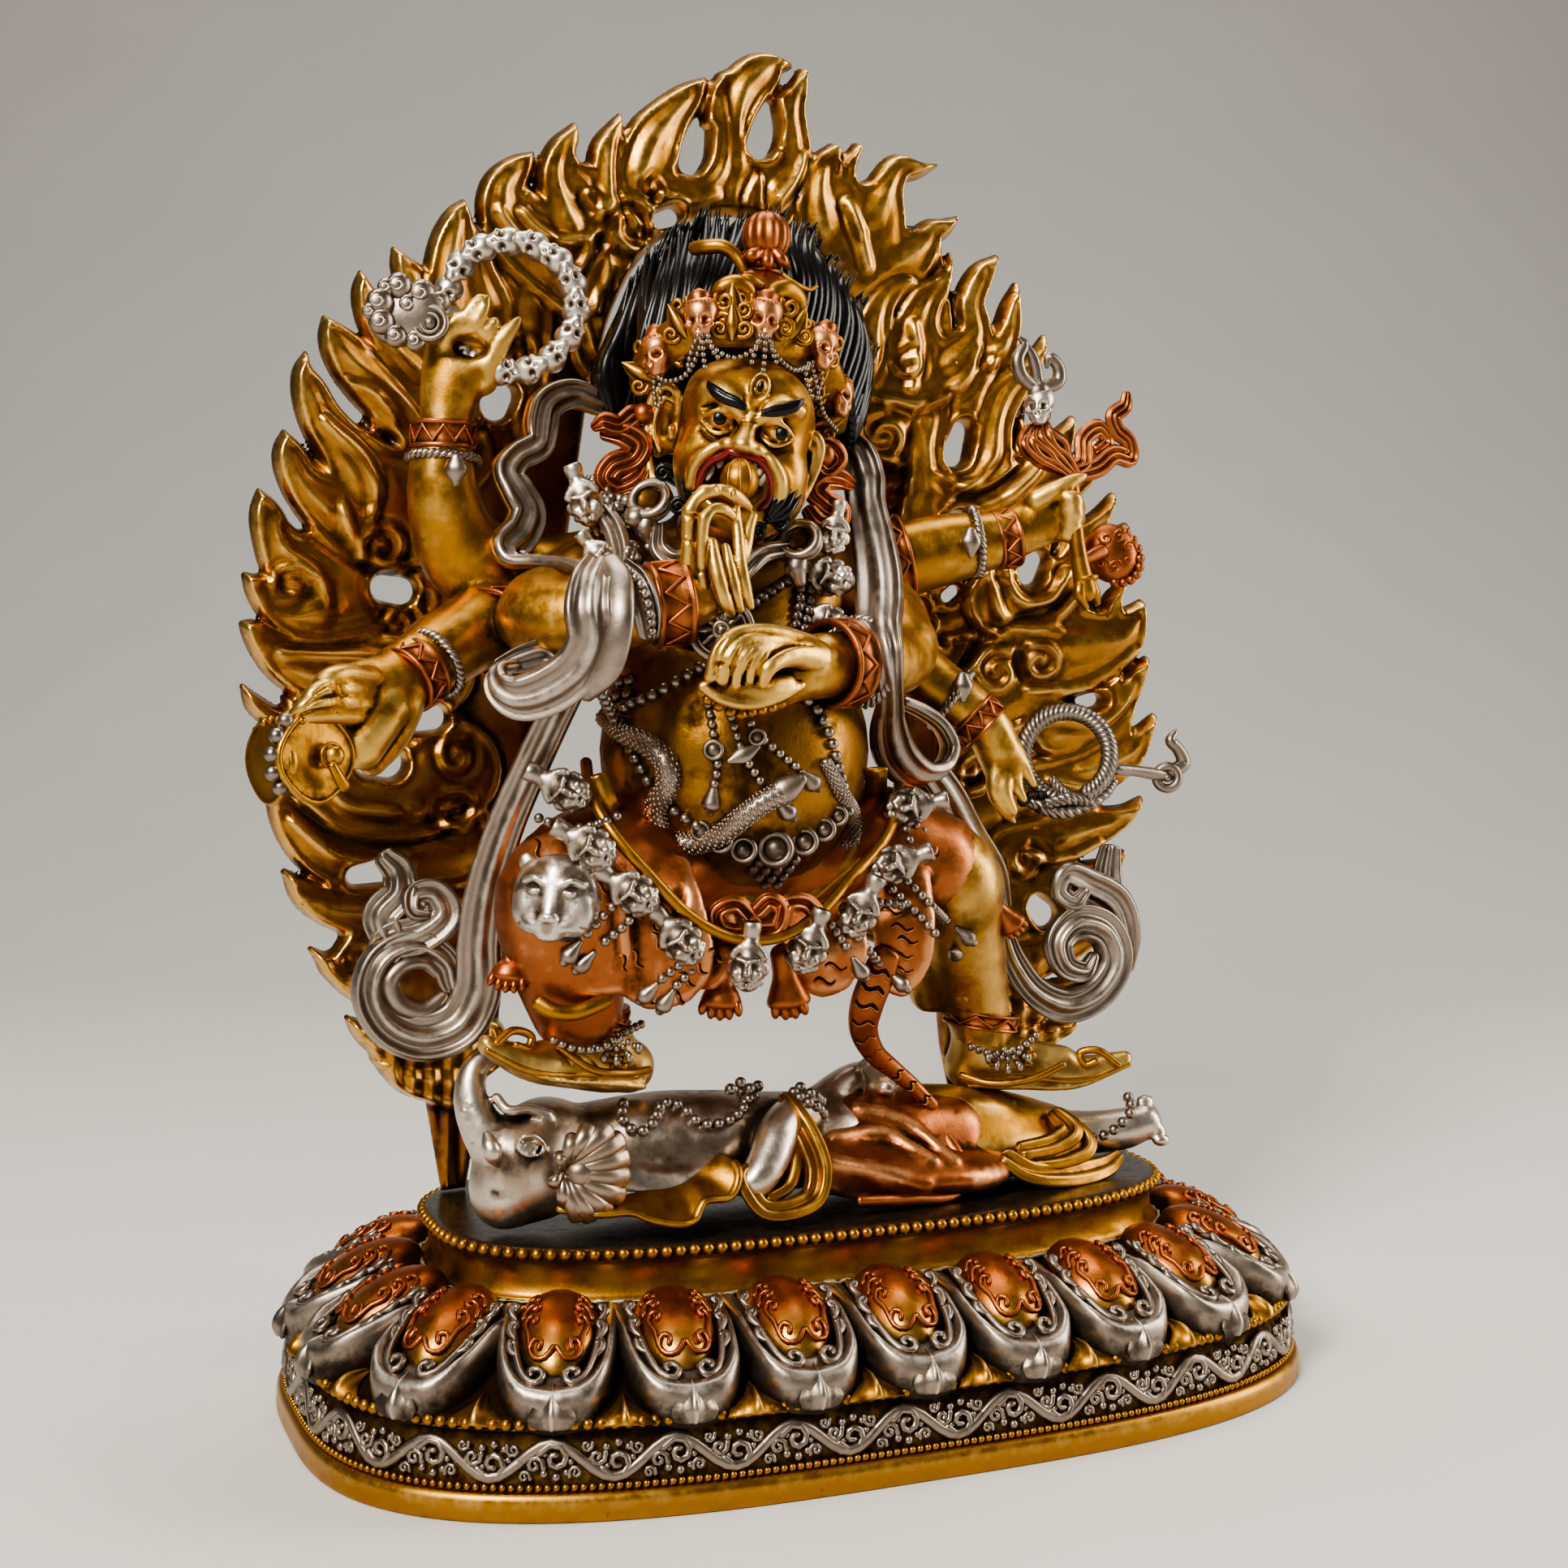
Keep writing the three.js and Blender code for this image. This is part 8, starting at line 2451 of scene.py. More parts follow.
def chains(piece, clay):
    for pixels, radius in NECKLACES:
        rows = draped(clay, pixels, radius * 0.6)
        piece.add(bead_string(rows, radius, 0.05, segments=8, rings=5), PEWTER)
    for pixels in PENDANTS:
        rows = draped(clay, pixels, 1.0)
        piece.add(bead_string(rows[:-1], 1.1, 0.1, segments=8, rings=5), SILVER)
        run = unit(rows[-1] - rows[-2])
        piece.add(loft([(*(rows[-1] - run * 3.2), 0.7), (*(rows[-1] - run), 1.6),
                        (*(rows[-1] + run * 1.2), 2.2), (*(rows[-1] + run * 3), 0.9)],
                       facing=BACK, sides=10), SILVER)
    for px, py, radius in ((879, 924, 2.3), (933, 908, 2.0)):
        jewel_cup(piece, met(clay, px, py, 1.6), radius)
    leaf = [met(clay, px, py, 1.4) for px, py in ((898, 938), (916, 930), (934, 920))]
    piece.add(loft([(*leaf[0], 0.6, 0.5), (*leaf[1], 2.0, 1.0), (*leaf[2], 0.7, 0.5)], facing=BACK),
              SILVER)
    for px, py, radius in CUPS:
        jewel_cup(piece, met(clay, px, py, radius * 0.45), radius)
    for row, count in enumerate((5, 4, 3, 2, 1)):
        for index in range(count):
            px = 950 + (index - (count - 1) / 2) * 15
            py = 1064 + row * 9 + abs(index - (count - 1) / 2) * -2
            piece.add(ellipsoid(met(clay, px, py, 0.5), (1.35,) * 3, segments=8, rings=5), SILVER,
                      wash=0.04)
    rows = scaled_snake(piece, clay, SNAKE)
    scaled_snake(piece, clay, SIDE_SNAKE)
    # The snake's head with its folded lip and the drop it bites
    head, before = np.array(rows[-1][:3]), np.array(rows[-3][:3])
    run = unit(head - before)
    piece.add(loft([(*(head - run * 2), 2.6, 2.2), (*(head + run * 1.5), 3.2, 2.4),
                    (*(head + run * 4.2), 2.4, 1.7), (*(head + run * 6), 1.4, 1.1)],
                   facing=BACK, sides=12), SILVER)
    # Wavy gold edge of the belt under the belly
    edge = [(736, 962), (748, 988), (774, 1020), (800, 1060), (840, 1088), (880, 1106), (930, 1112),
            (980, 1104), (1020, 1082), (1046, 1050), (1062, 1012), (1076, 985), (1080, 952)]
    belt = []
    for index, (px, py) in enumerate(edge):
        shift = 4 if index % 2 else -4
        point = met(clay, px, py + shift, 1.4)
        belt.append((*(point if point is not None else seen(px, py + shift, -30)), 2.6, 0.9))
    piece.add(loft(belt, flat_section(1), facing=BACK, per=6), GOLD, wash=-0.05)


# Scarf, in pixels with depth, half-width and half-depth

SCARF = [
    # Over the right shoulder and its curls
    (SILVER,
     [(744, 497, 3, 2.6, 1.3), (706, 484, 3, 3.3, 1.4), (676, 498, 2, 3.9, 1.5), (668, 524, 0, 4.2, 1.6),
      (664, 548, -2, 3.5, 1.6), (640, 562, -3, 3.2, 1.6), (628, 582, -5, 3.9, 1.6),
      (640, 606, -7, 4.6, 1.7), (652, 630, -8, 4.8, 1.7), (644, 656, -10, 4.5, 1.7),
      (626, 676, -12, 4.2, 1.7), (634, 690, -14, 3.7, 1.6), (662, 692, -18, 3.5, 1.6),
      (700, 696, -26, 3.2, 1.5), (728, 706, -34, 2.7, 1.4)]),
    # Over the right forearm, with the hooked end
    (SILVER,
     [(738, 694, -42, 3.6, 1.8), (728, 716, -47, 4.4, 2.0), (724, 750, -50, 5.0, 2.1),
      (728, 786, -50, 5.1, 2.1), (712, 822, -48, 5.3, 2.1), (676, 850, -45, 5.5, 2.1),
      (638, 860, -42, 5.0, 2.0), (614, 846, -39, 3.8, 1.8), (612, 828, -37, 2.8, 1.6),
      (632, 822, -35, 2.2, 1.4)]),
    (SILVER,
     [(748, 694, -43, 3.0, 1.7), (760, 716, -48, 3.4, 1.9), (762, 752, -51.5, 3.6, 2.0),
      (757, 790, -51.5, 3.7, 2.0), (744, 824, -49.5, 3.8, 1.9), (718, 850, -46, 3.0, 1.7)]),
    (PEWTER,
     [(768, 702, -42, 2.6, 1.6), (786, 722, -47, 3.2, 1.8), (797, 754, -48.5, 3.2, 1.8),
      (800, 780, -47, 2.4, 1.5)]),
    (PEWTER,
     [(616, 822, -34, 2.0, 1.4), (642, 812, -34, 2.8, 1.5), (672, 806, -34, 3.2, 1.6),
      (692, 822, -36, 2.4, 1.4)]),
    # Hanging end on the left
    (SILVER,
     [(700, 850, -38, 3.6, 1.6), (680, 890, -30, 3.8, 1.7), (652, 950, -24, 4.0, 1.7),
      (622, 1020, -20, 4.2, 1.8), (600, 1090, -18, 4.6, 1.9), (590, 1160, -17, 5.0, 2.0),
      (588, 1220, -16, 5.4, 2.4), (566, 1262, -15, 5.6, 2.8), (522, 1278, -14, 5.4, 3.2),
      (480, 1262, -13, 5.0, 3.4), (460, 1222, -12, 4.8, 3.4), (474, 1182, -12, 4.6, 3.4),
      (514, 1166, -12, 4.2, 3.2), (548, 1186, -12.5, 3.6, 2.8), (556, 1212, -13, 2.6, 2.2)]),
    (SILVER,
     [(546, 1228, -12.5, 1.6, 1.6), (520, 1246, -13, 2.2, 2.2), (490, 1236, -13, 2.4, 2.4),
      (480, 1210, -13, 2.2, 2.4), (496, 1190, -13, 2.0, 2.2), (522, 1186, -13, 1.6, 1.8),
      (538, 1200, -13, 1.0, 1.2)]),
    (SILVER,
     [(468, 1190, -11, 3.6, 1.8), (482, 1162, -12, 4.4, 2.0), (520, 1150, -13, 4.6, 2.0),
      (546, 1126, -13, 4.2, 1.9), (534, 1102, -12, 3.6, 1.8), (512, 1104, -12, 3.0, 1.6),
      (510, 1122, -13, 2.2, 1.6), (524, 1126, -13, 1.4, 1.4)]),
    (SILVER,
     [(480, 1160, -11, 3.8, 1.8), (470, 1128, -11, 4.2, 1.8), (492, 1100, -11, 4.0, 1.8),
      (490, 1074, -10, 3.6, 1.6), (474, 1056, -10, 2.6, 1.4)]),
    # Over the left shoulder, down over the forearm and into a loop
    (SILVER,
     [(1036, 540, 0, 2.8, 1.4), (1054, 560, -3, 4.8, 1.6), (1064, 590, -6, 5.2, 1.7),
      (1067, 622, -11, 4.8, 1.7), (1076, 667, -17, 5.2, 1.8), (1083, 713, -25, 5.6, 1.9),
      (1084, 749, -34, 5.6, 1.9), (1084, 776, -42.5, 5.0, 1.9), (1092, 804, -46, 3.9, 1.9),
      (1096, 830, -45, 3.1, 1.8), (1098, 856, -40, 2.8, 1.7), (1098, 884, -32, 3.2, 1.6)]),
    (SILVER,
     [(1098, 862, -37, 2.4, 1.6), (1098, 900, -29, 4.0, 1.8), (1108, 932, -23, 4.8, 1.9),
      (1132, 954, -19, 5.0, 1.9), (1160, 948, -16, 4.8, 1.9), (1172, 920, -15, 4.0, 1.7),
      (1160, 892, -15, 3.4, 1.6), (1136, 874, -15, 3.0, 1.5), (1114, 864, -17, 2.0, 1.3)]),
    (PEWTER,
     [(1150, 950, -16, 3.6, 1.6), (1172, 982, -14, 3.8, 1.6), (1196, 1028, -12, 3.8, 1.6),
      (1222, 1074, -11, 3.8, 1.5), (1234, 1116, -10, 2.6, 1.3)]),
    (SILVER,
     [(1238, 1150, -8, 2.2, 1.6), (1250, 1186, -9, 3.2, 2.0), (1276, 1222, -10, 3.8, 2.6),
      (1314, 1238, -10, 4.8, 3.0), (1352, 1220, -10, 5.2, 3.2), (1372, 1182, -10, 5.2, 3.4),
      (1360, 1146, -10, 4.8, 3.2), (1326, 1136, -10, 4.4, 3.0), (1304, 1160, -10, 3.8, 2.8),
      (1312, 1190, -11, 3.2, 2.6), (1336, 1196, -11, 2.6, 2.2), (1346, 1180, -11, 1.6, 1.6)]),
    (SILVER,
     [(1384, 1190, -8, 3.0, 1.8), (1386, 1150, -8, 4.2, 2.0), (1372, 1112, -8, 4.8, 2.0),
      (1340, 1092, -8, 4.6, 2.0), (1312, 1080, -9, 3.8, 1.9), (1306, 1100, -9, 3.0, 1.7),
      (1324, 1112, -10, 2.4, 1.6), (1336, 1100, -10, 1.6, 1.4)]),
    (PEWTER, [(1368, 1108, -7, 3.6, 1.7), (1364, 1078, -6, 3.8, 1.6), (1368, 1046, -6, 2.8, 1.3)]),
]
PLAIN_FOLDS = (2, 6)            # narrow runs that are one rounded fold
GOLD_EDGED = (0, 10)             # scarf runs whose gilt underside shows along the left edge
EDGE_SHIFT = (-5.0, 2.0, 1.9)   # its pixels to the left, pixels down and millimetres behind


def scarf(piece):
    section = scarf_section()
    for index, (metal, rows) in enumerate(SCARF):
        piece.add(loft(seen_rows(rows), None if index in PLAIN_FOLDS else section, 8, BACK, True, sides=16),
                  metal)
        if index in GOLD_EDGED:
            left, down, behind = EDGE_SHIFT
            under = [(px + left, py + down, y + behind, wide * 1.04, deep)
                     for px, py, y, wide, deep in rows]
            piece.add(loft(seen_rows(under), facing=BACK, carried=True), GOLD)
    beads = [seen(*at) for at in ((776, 704, -47), (790, 722, -50), (799, 750, -51), (803, 778, -49))]
    piece.add(bead_string(beads, 1.0, 0.05, segments=8, rings=5), SILVER)


# Cuffs: copper bands with incised triangles, and twisted silver bracelets with a leaf

def band_shape():
    """A cuff's section: raised edges and a groove beside each, as across, height and darkness: the grooves
    painted dark, wash with painted shade, and the edges lighter, painted highlight
    """
    return np.array([(-1, -0.6, 0.3), (-1, 0.9, 0.0), (-0.8, 1.1, -0.2), (-0.66, 0.35, 0.5),
                     (0, 0.45, 0.05), (0.66, 0.35, 0.5), (0.8, 1.1, -0.2), (1, 0.9, 0.0),
                     (1, -0.6, 0.3)])[::-1]


def cuff(piece, centre, axis, radius, half_width, triangles=9):
    axis = unit(np.array(axis, float))
    first = unit(np.cross(axis, BACK))
    second = np.cross(axis, first)
    piece.add(ring_band(centre, axis, radius, half_width, 0.8, segments=36, shape=band_shape(),
                        across=BACK), COPPER)
    for index in range(triangles):
        for end in (-1, 1):
            a, b = (2 * math.pi * (index + shift) / triangles for shift in (0, 0.5 * end))
            rows = []
            for angle, along in ((a, half_width * 0.55), ((a + b) / 2, 0), (b, -half_width * 0.55)):
                out = first * math.cos(angle) + second * math.sin(angle)
                rows.append((*(centre + out * (radius + 0.55) + axis * along), 0.42))
            piece.add(loft(rows, per=2, sides=5), COPPER, wash=-0.12)


STRAND_TURNS, STRAND_STEPS = 16, 72   # of the two twisted strands of a bracelet, once round


def bracelet(piece, centre, axis, radius, thick, leaf=None):
    axis = unit(np.array(axis, float))
    first = unit(np.cross(axis, BACK))
    second = np.cross(axis, first)
    for strand in range(2):
        rows = []
        for index in range(STRAND_STEPS + 1):
            angle = 2 * math.pi * index / STRAND_STEPS
            roll = STRAND_TURNS * angle + strand * math.pi
            out = first * math.cos(angle) + second * math.sin(angle)
            rows.append(centre + out * (radius + thick * 0.55 * math.cos(roll))
                        + axis * thick * 0.55 * math.sin(roll))
        piece.add(loft([(*row, thick * 0.72) for row in rows], per=1, sides=6, round_ends=False),
                  SILVER)
    if leaf is not None:
        at = seen(*leaf)
        piece.add(loft([(*(at + UPRIGHT * 2.6), 1.4, 1.0), (*at, 2.6, 1.5),
                        (*(at - UPRIGHT * 3.2), 0.8, 0.7)], facing=BACK, sides=10), SILVER)


def cuffs(piece):
    cuff(piece, seen(824, 744, -39), (0.95, -0.1, 0.12), 8.6, 4.2)
    cuff(piece, seen(546, 536, -5), (0.02, 0, 1), 6.6, 3.0)
    bracelet(piece, seen(546, 566, -4.5), (0.05, 0.1, 1), 7.6, 1.0, leaf=(562, 578, -13))
    cuff(piece, seen(512, 832, -22), (-0.78, -0.4, -0.42), 6.8, 3.0)
    bracelet(piece, seen(536, 818, -20), (-0.78, -0.4, -0.42), 7.4, 0.95)
    cuff(piece, seen(618, 778, -10), (-0.75, -0.6, -0.3), 10.2, 3.2)
    bracelet(piece, seen(632, 724, -10), (-0.9, -0.3, 0.1), 8.0, 0.9)
    cuff(piece, np.array([-8.2, -38.7, 127.6]), (-0.9, -0.42, -0.04), 9.3, 3.5)
    bracelet(piece, np.array([-1.6, -35.8, 127.8]), (-0.9, -0.42, -0.04), 9.6, 1.0)
    cuff(piece, np.array([24.5, 2.4, 151.5]), (1, -0.24, 0.24), 10.7, 2.8)
    bracelet(piece, seen(1200, 668, -3), (1, -0.25, 0.15), 8.0, 1.1, leaf=(1196, 668, -12))
    cuff(piece, seen(1238, 664, -4), (1, -0.2, 0.22), 6.6, 2.8)
    bracelet(piece, seen(1172, 862, -8.5), (0.75, -0.35, -0.6), 7.8, 1.1, leaf=(1186, 846, -16))
    cuff(piece, seen(1206, 888, -11), (0.7, -0.35, -0.75), 6.0, 2.8)
    cuff(piece, np.array([45.0, -7.6, 39.0]), (0.15, 0, 1), 8.6, 2.0, triangles=7)
    cuff(piece, np.array([-60.5, -19.5, 47.5]), (-0.1, 0, 1), 9.0, 2.0, triangles=7)
    for rows in ([(682, 1282, -30), (706, 1292, -31.5), (740, 1292, -31), (762, 1276, -29),
                  (790, 1262, -24)],
                 [(1196, 1290, -15), (1228, 1300, -19), (1256, 1292, -20), (1276, 1276, -18)]):
        piece.add(bead_string([seen(*at) for at in rows], 1.05, 0.05, segments=8, rings=5), SILVER)
    for px, py, y in ((760, 1276, -30), (1242, 1290, -21)):
        for index in range(5):
            angle = math.radians(-150 + 30 * index)
            start = seen(px, py, y)
            way = ACROSS * math.cos(angle) + UPRIGHT * math.sin(angle)
            piece.add(bead_string([start + way * 1.2, start + way * 4.6], 0.8, 0.05, segments=7, rings=5),
                      SILVER)
            piece.add(ellipsoid(start + way * 5.6 + BACK * 0.4, (0.9, 0.9, 1.4), segments=8, rings=5),
                      SILVER)


def shoulder_ruffs(piece):
    """Clusters of beads, small heads and looped ribbons that fill the place between the arms"""
    for px, py, y, spread, count in ((762, 640, -16, (26, 44), 46), (786, 690, -24, (30, 18), 26),
                                     (744, 640, -12, (16, 30), 16),
                                     (950, 672, -24, (34, 12), 22), (1010, 720, -20, (12, 40), 24),
                                     (730, 600, -8, (26, 12), 16)):
        centres = []
        radii = []
        for _ in range(count):
            dx, dy = random.uniform(-1, 1, 2)
            centres.append(seen(px + dx * spread[0], py + dy * spread[1],
                                y + 4 * (dx * dx + dy * dy) + random.normal(0, 0.6)))
            radii.append(random.uniform(1.0, 1.9))
        piece.add(spheres(centres, radii, 8, 6), PEWTER, wash=0.03)
    for px, py, y, size, lean in ((722, 622, -14, 1.1, -20), (1026, 662, -20, 1.0, 10),
                                  (1026, 712, -22, 1.15, -70), (1024, 768, -24, 1.05, -60),
                                  (742, 690, -22, 0.9, -40)):
        piece.add(placed(HEAD, seen(px, py, y), turned_axes(CAMERA_AZIMUTH, lean), size), SILVER)
    for rows in ([(742, 628, -15, 2.2, 1.2), (756, 650, -19, 2.6, 1.2), (764, 680, -23, 2.4, 1.2),
                  (762, 704, -26, 1.8, 1.0)],
                 [(812, 650, -22, 1.6, 1.2), (812, 676, -25, 2.2, 1.2), (828, 690, -27, 2.4, 1.2),
                  (848, 688, -28, 2.0, 1.1)],
                 [(970, 676, -26, 1.8, 1.1), (940, 682, -28, 2.2, 1.2), (922, 700, -29, 2.0, 1.1),
                  (914, 716, -29, 1.2, 0.9)]):
        piece.add(ribbon(seen_rows(rows), ridges=2, per=6, facing=BACK), SILVER)
    piece.add(ellipsoid(seen(785, 640, -19), (3.4, 3.0, 3.2), segments=14, rings=9), PEWTER)
    fringe = [(872, 862, -47), (890, 872, -48), (908, 880, -48), (930, 876, -47), (950, 872, -46),
              (972, 862, -44)]
    rows = [seen(*at) for at in fringe]
    piece.add(bead_string(rows, 1.3, 0.0, segments=8, rings=5), GOLD)
    piece.add(bead_string([row + UPRIGHT * 2.0 for row in rows], 0.9, 0.1, segments=7, rings=5), OLD_GOLD)


ROSARY_CENTRE, ROSARY_RADIUS = seen(630, 378, -10), 14.4


def rosary(piece):
    skulls = 15
    for index in range(skulls):
        angle = 2 * math.pi * index / skulls
        way = ACROSS * math.cos(angle) + UPRIGHT * math.sin(angle)
        axes = turned_axes(CAMERA_AZIMUTH + 14 * math.sin(index * 2.4), 90 - math.degrees(angle) + 90, 0)
        piece.add(placed(SKULL, ROSARY_CENTRE + way * ROSARY_RADIUS, axes, 0.92), SILVER)
    piece.add(ring_band(ROSARY_CENTRE - BACK * 0.6, BACK, ROSARY_RADIUS, 2.0, 1.6, segments=40,
                        section_sides=8), SILVER, wash=0.2)
    # Cloud-like tassel: lobes round a ringed disc
    middle = seen(500, 388, -11)
    piece.add(ellipsoid(middle, (8.4, 2.8, 6.8), turn=(0, -12, CAMERA_AZIMUTH), segments=24, rings=12),
              SILVER)
    for px, py, size in ((468, 372, 3.0), (470, 396, 2.9), (492, 352, 2.9), (520, 362, 3.2),
                         (542, 372, 2.4), (488, 414, 2.6), (512, 420, 2.4), (534, 412, 2.2),
                         (476, 354, 2.0), (504, 376, 2.6), (456, 384, 1.8)):
        centre = seen(px, py, -12.4)
        piece.add(ellipsoid(centre, (size, size * 0.7, size), segments=14, rings=9), SILVER)
        curl = spiral_rows(centre + BACK * size * 0.62, ACROSS, UPRIGHT, 70, 1.2, size * 0.7, 0.4, 0.5)
        piece.add(loft(curl, per=1, facing=BACK, sides=5), SILVER, wash=-0.04)
    disc = seen(530, 398, -14.5)
    for radius, width in ((3.4, 0.8), (2.0, 0.55)):
        piece.add(ring_band(disc, BACK, radius, 0.8, width, segments=24, section_sides=7), SILVER)
    piece.add(ellipsoid(disc, (1.4, 1.2, 1.4), segments=10, rings=7), SILVER)


def make_dress():
    cloth = Piece("dress_tiger_skin", ["mahakala"], "mahakala")
    skin = skirt(cloth)
    mask = tiger_face()
    cloth.add(placed(mask, seen(684, 1106, -38), turned_axes(CAMERA_AZIMUTH - 8, 4, -4)), SILVER)
    cloth.make()
    string = Piece("dress_garland", ["mahakala"], "mahakala")
    garland(string, (skin, TORSO, BOOTS))
    string.make()
    beads = Piece("dress_chains", ["mahakala"], "mahakala")
    chains(beads, TORSO)
    shoulder_ruffs(beads)
    rosary(beads)
    beads.make()
    ribbons = Piece("dress_scarf", ["mahakala"], "mahakala")
    scarf(ribbons)
    ribbons.make()
    bands = Piece("dress_cuffs", ["mahakala"], "mahakala")
    cuffs(bands)
    bands.make()


make_dress()


# Trampled figure: silver, on its back, with an elephant's head at the viewer's left

def trampled_clay():
    """Body, head, trunk, arms and the raised hand"""
    clay = Clay((-92, -42, -1), (66, 6, 50), 0.6)
    clay.stroke([(-63, -11, 15, 12, 11), (-40, -12, 15, 14, 13), (-18, -11, 14, 13, 12),
                 (2, -10, 13, 14, 11)],
                facing=UP, blend=3)
    # Head with two domes, a cheek and the trunk raised to the sole above
    clay.lump((-72, -16, 15), (13, 12.5, 13), blend=3)
    clay.lump((-79, -17, 10), (8, 9, 9), blend=3)
    clay.lump((-68, -13, 23), (8, 9, 6), blend=3)
    clay.stroke([(-79, -19, 17, 6.6), (-84, -17.5, 24, 5.0), (-86.5, -16, 31, 3.8), (-85, -14.5, 37.5, 3.0),
                 (-81.5, -13.5, 40.5, 2.4)],
                blend=2.5)
    for step in range(9):
        share = step / 8
        centre = np.array([-82.2 - 4.2 * share ** 0.6, -18.6 + 2.6 * share, 21 + 16 * share])
        radius = 5.4 - 2.6 * share
        arc = [(centre[0] + radius * math.sin(a), centre[1] - radius * 0.96 * math.cos(a),
                centre[2] - 0.8 * math.sin(a), 0.4)
               for a in np.linspace(-1.2, 1.2, 5)]
        clay.stroke(arc, cut=True, blend=0.5, per=3)
    # Brow, eye and tusk root
    eye = seen(652, 1414, -28.5)
    clay.lump(eye, (3.6, 2.6, 2.6), cut=True, blend=1.0)
    clay.lump(eye + (0, 1.6, 0), (2.5, 2.4, 1.9), blend=0.2)
    clay.stroke([(*seen(*at), 0.7) for at in ((636, 1410, -28), (645, 1400, -29), (660, 1400, -29),
                                              (672, 1412, -28))], blend=0.5)
    clay.stroke([(*seen(*at), 0.6) for at in ((636, 1414, -28), (648, 1424, -29), (664, 1424, -29),
                                              (672, 1414, -28))], blend=0.5)
    clay.stroke(seen_rows([(600, 1398, -28, 1.2), (606, 1418, -30, 2.2), (614, 1434, -29, 1.2)]),
                blend=0.8)
    clay.stroke([(*seen(*at), 0.5) for at in ((606, 1470, -24), (640, 1482, -28), (680, 1476, -28))],
                cut=True, blend=0.8)
    clay.stroke([(*seen(*at), 1.2) for at in ((612, 1352, -19), (626, 1368, -22), (650, 1366, -22),
                                              (676, 1374, -22))], blend=1.2)
    # Chest, belly, arm and the hand raised at the tail
    clay.lump((-48, -17, 19), (9, 8, 8), blend=3)
    clay.lump((-27, -14, 17), (10, 10, 9), blend=3)
    clay.stroke([(-56, -22, 12, 6.5), (-46, -26, 9, 5.5), (-34, -25, 10, 4.5)], blend=3)
    clay.stroke(seen_rows([(985, 1370, -20, 5.2), (960, 1395, -27, 5.0), (946, 1430, -31, 4.6),
                           (930, 1455, -33, 4.0), (915, 1462, -33, 2.4)]), blend=2)
    clay.stroke([(-2, -10, 18, 5.4), (5, -8, 23, 4.8), (11, -6.5, 26, 4.0), (17, -6, 27, 3.4)], blend=2)
    for rows in ([(1070, 1322, -10, 1.6), (1092, 1312, -14, 1.5), (1106, 1322, -15, 1.0)],
                 [(1072, 1332, -10, 1.6), (1096, 1326, -15, 1.5), (1104, 1338, -15, 1.0)],
                 [(1070, 1342, -10, 1.6), (1092, 1342, -15, 1.4), (1100, 1350, -14, 0.9)],
                 [(1062, 1314, -9, 1.4), (1072, 1304, -11, 1.1)]):
        clay.stroke(seen_rows(rows), blend=0.5)
    return clay


def trampled_ear(piece):
    """A pleated fan: rounded folds that run out from the ear's root to a scalloped rim"""
    root = seen(694, 1440, -34)
    rim = [(712, 1500), (696, 1482), (682, 1458), (690, 1424), (706, 1402), (726, 1390), (748, 1390),
           (764, 1404), (770, 1426), (770, 1450), (764, 1474), (746, 1492), (728, 1500)]
    for px, py in rim:
        tip = np.array(seen(px, py, -36.5))
        reach = np.linalg.norm(tip - root)
        bulge = BACK * (0.9 + 0.13 * reach)
        piece.add(loft([(*(root - BACK * 0.5), 0.8, 0.8),
                        (*(root * 0.6 + tip * 0.4 + bulge), 0.8 + 0.055 * reach, 1.3),
                        (*(root * 0.2 + tip * 0.8 + bulge * 0.8), 1.0 + 0.085 * reach, 1.4),
                        (*tip, 1.1 + 0.09 * reach, 1.2)],
                       facing=BACK, sides=12), ASH_SILVER, wash=-0.04)
    piece.add(loft([(*root, 2.2, 1.6), (*seen(712, 1446, -37), 3.0, 1.8),
                    (*seen(734, 1448, -37.5), 3.4, 1.4)],
                   facing=BACK, sides=12), ASH_SILVER, wash=0.12)


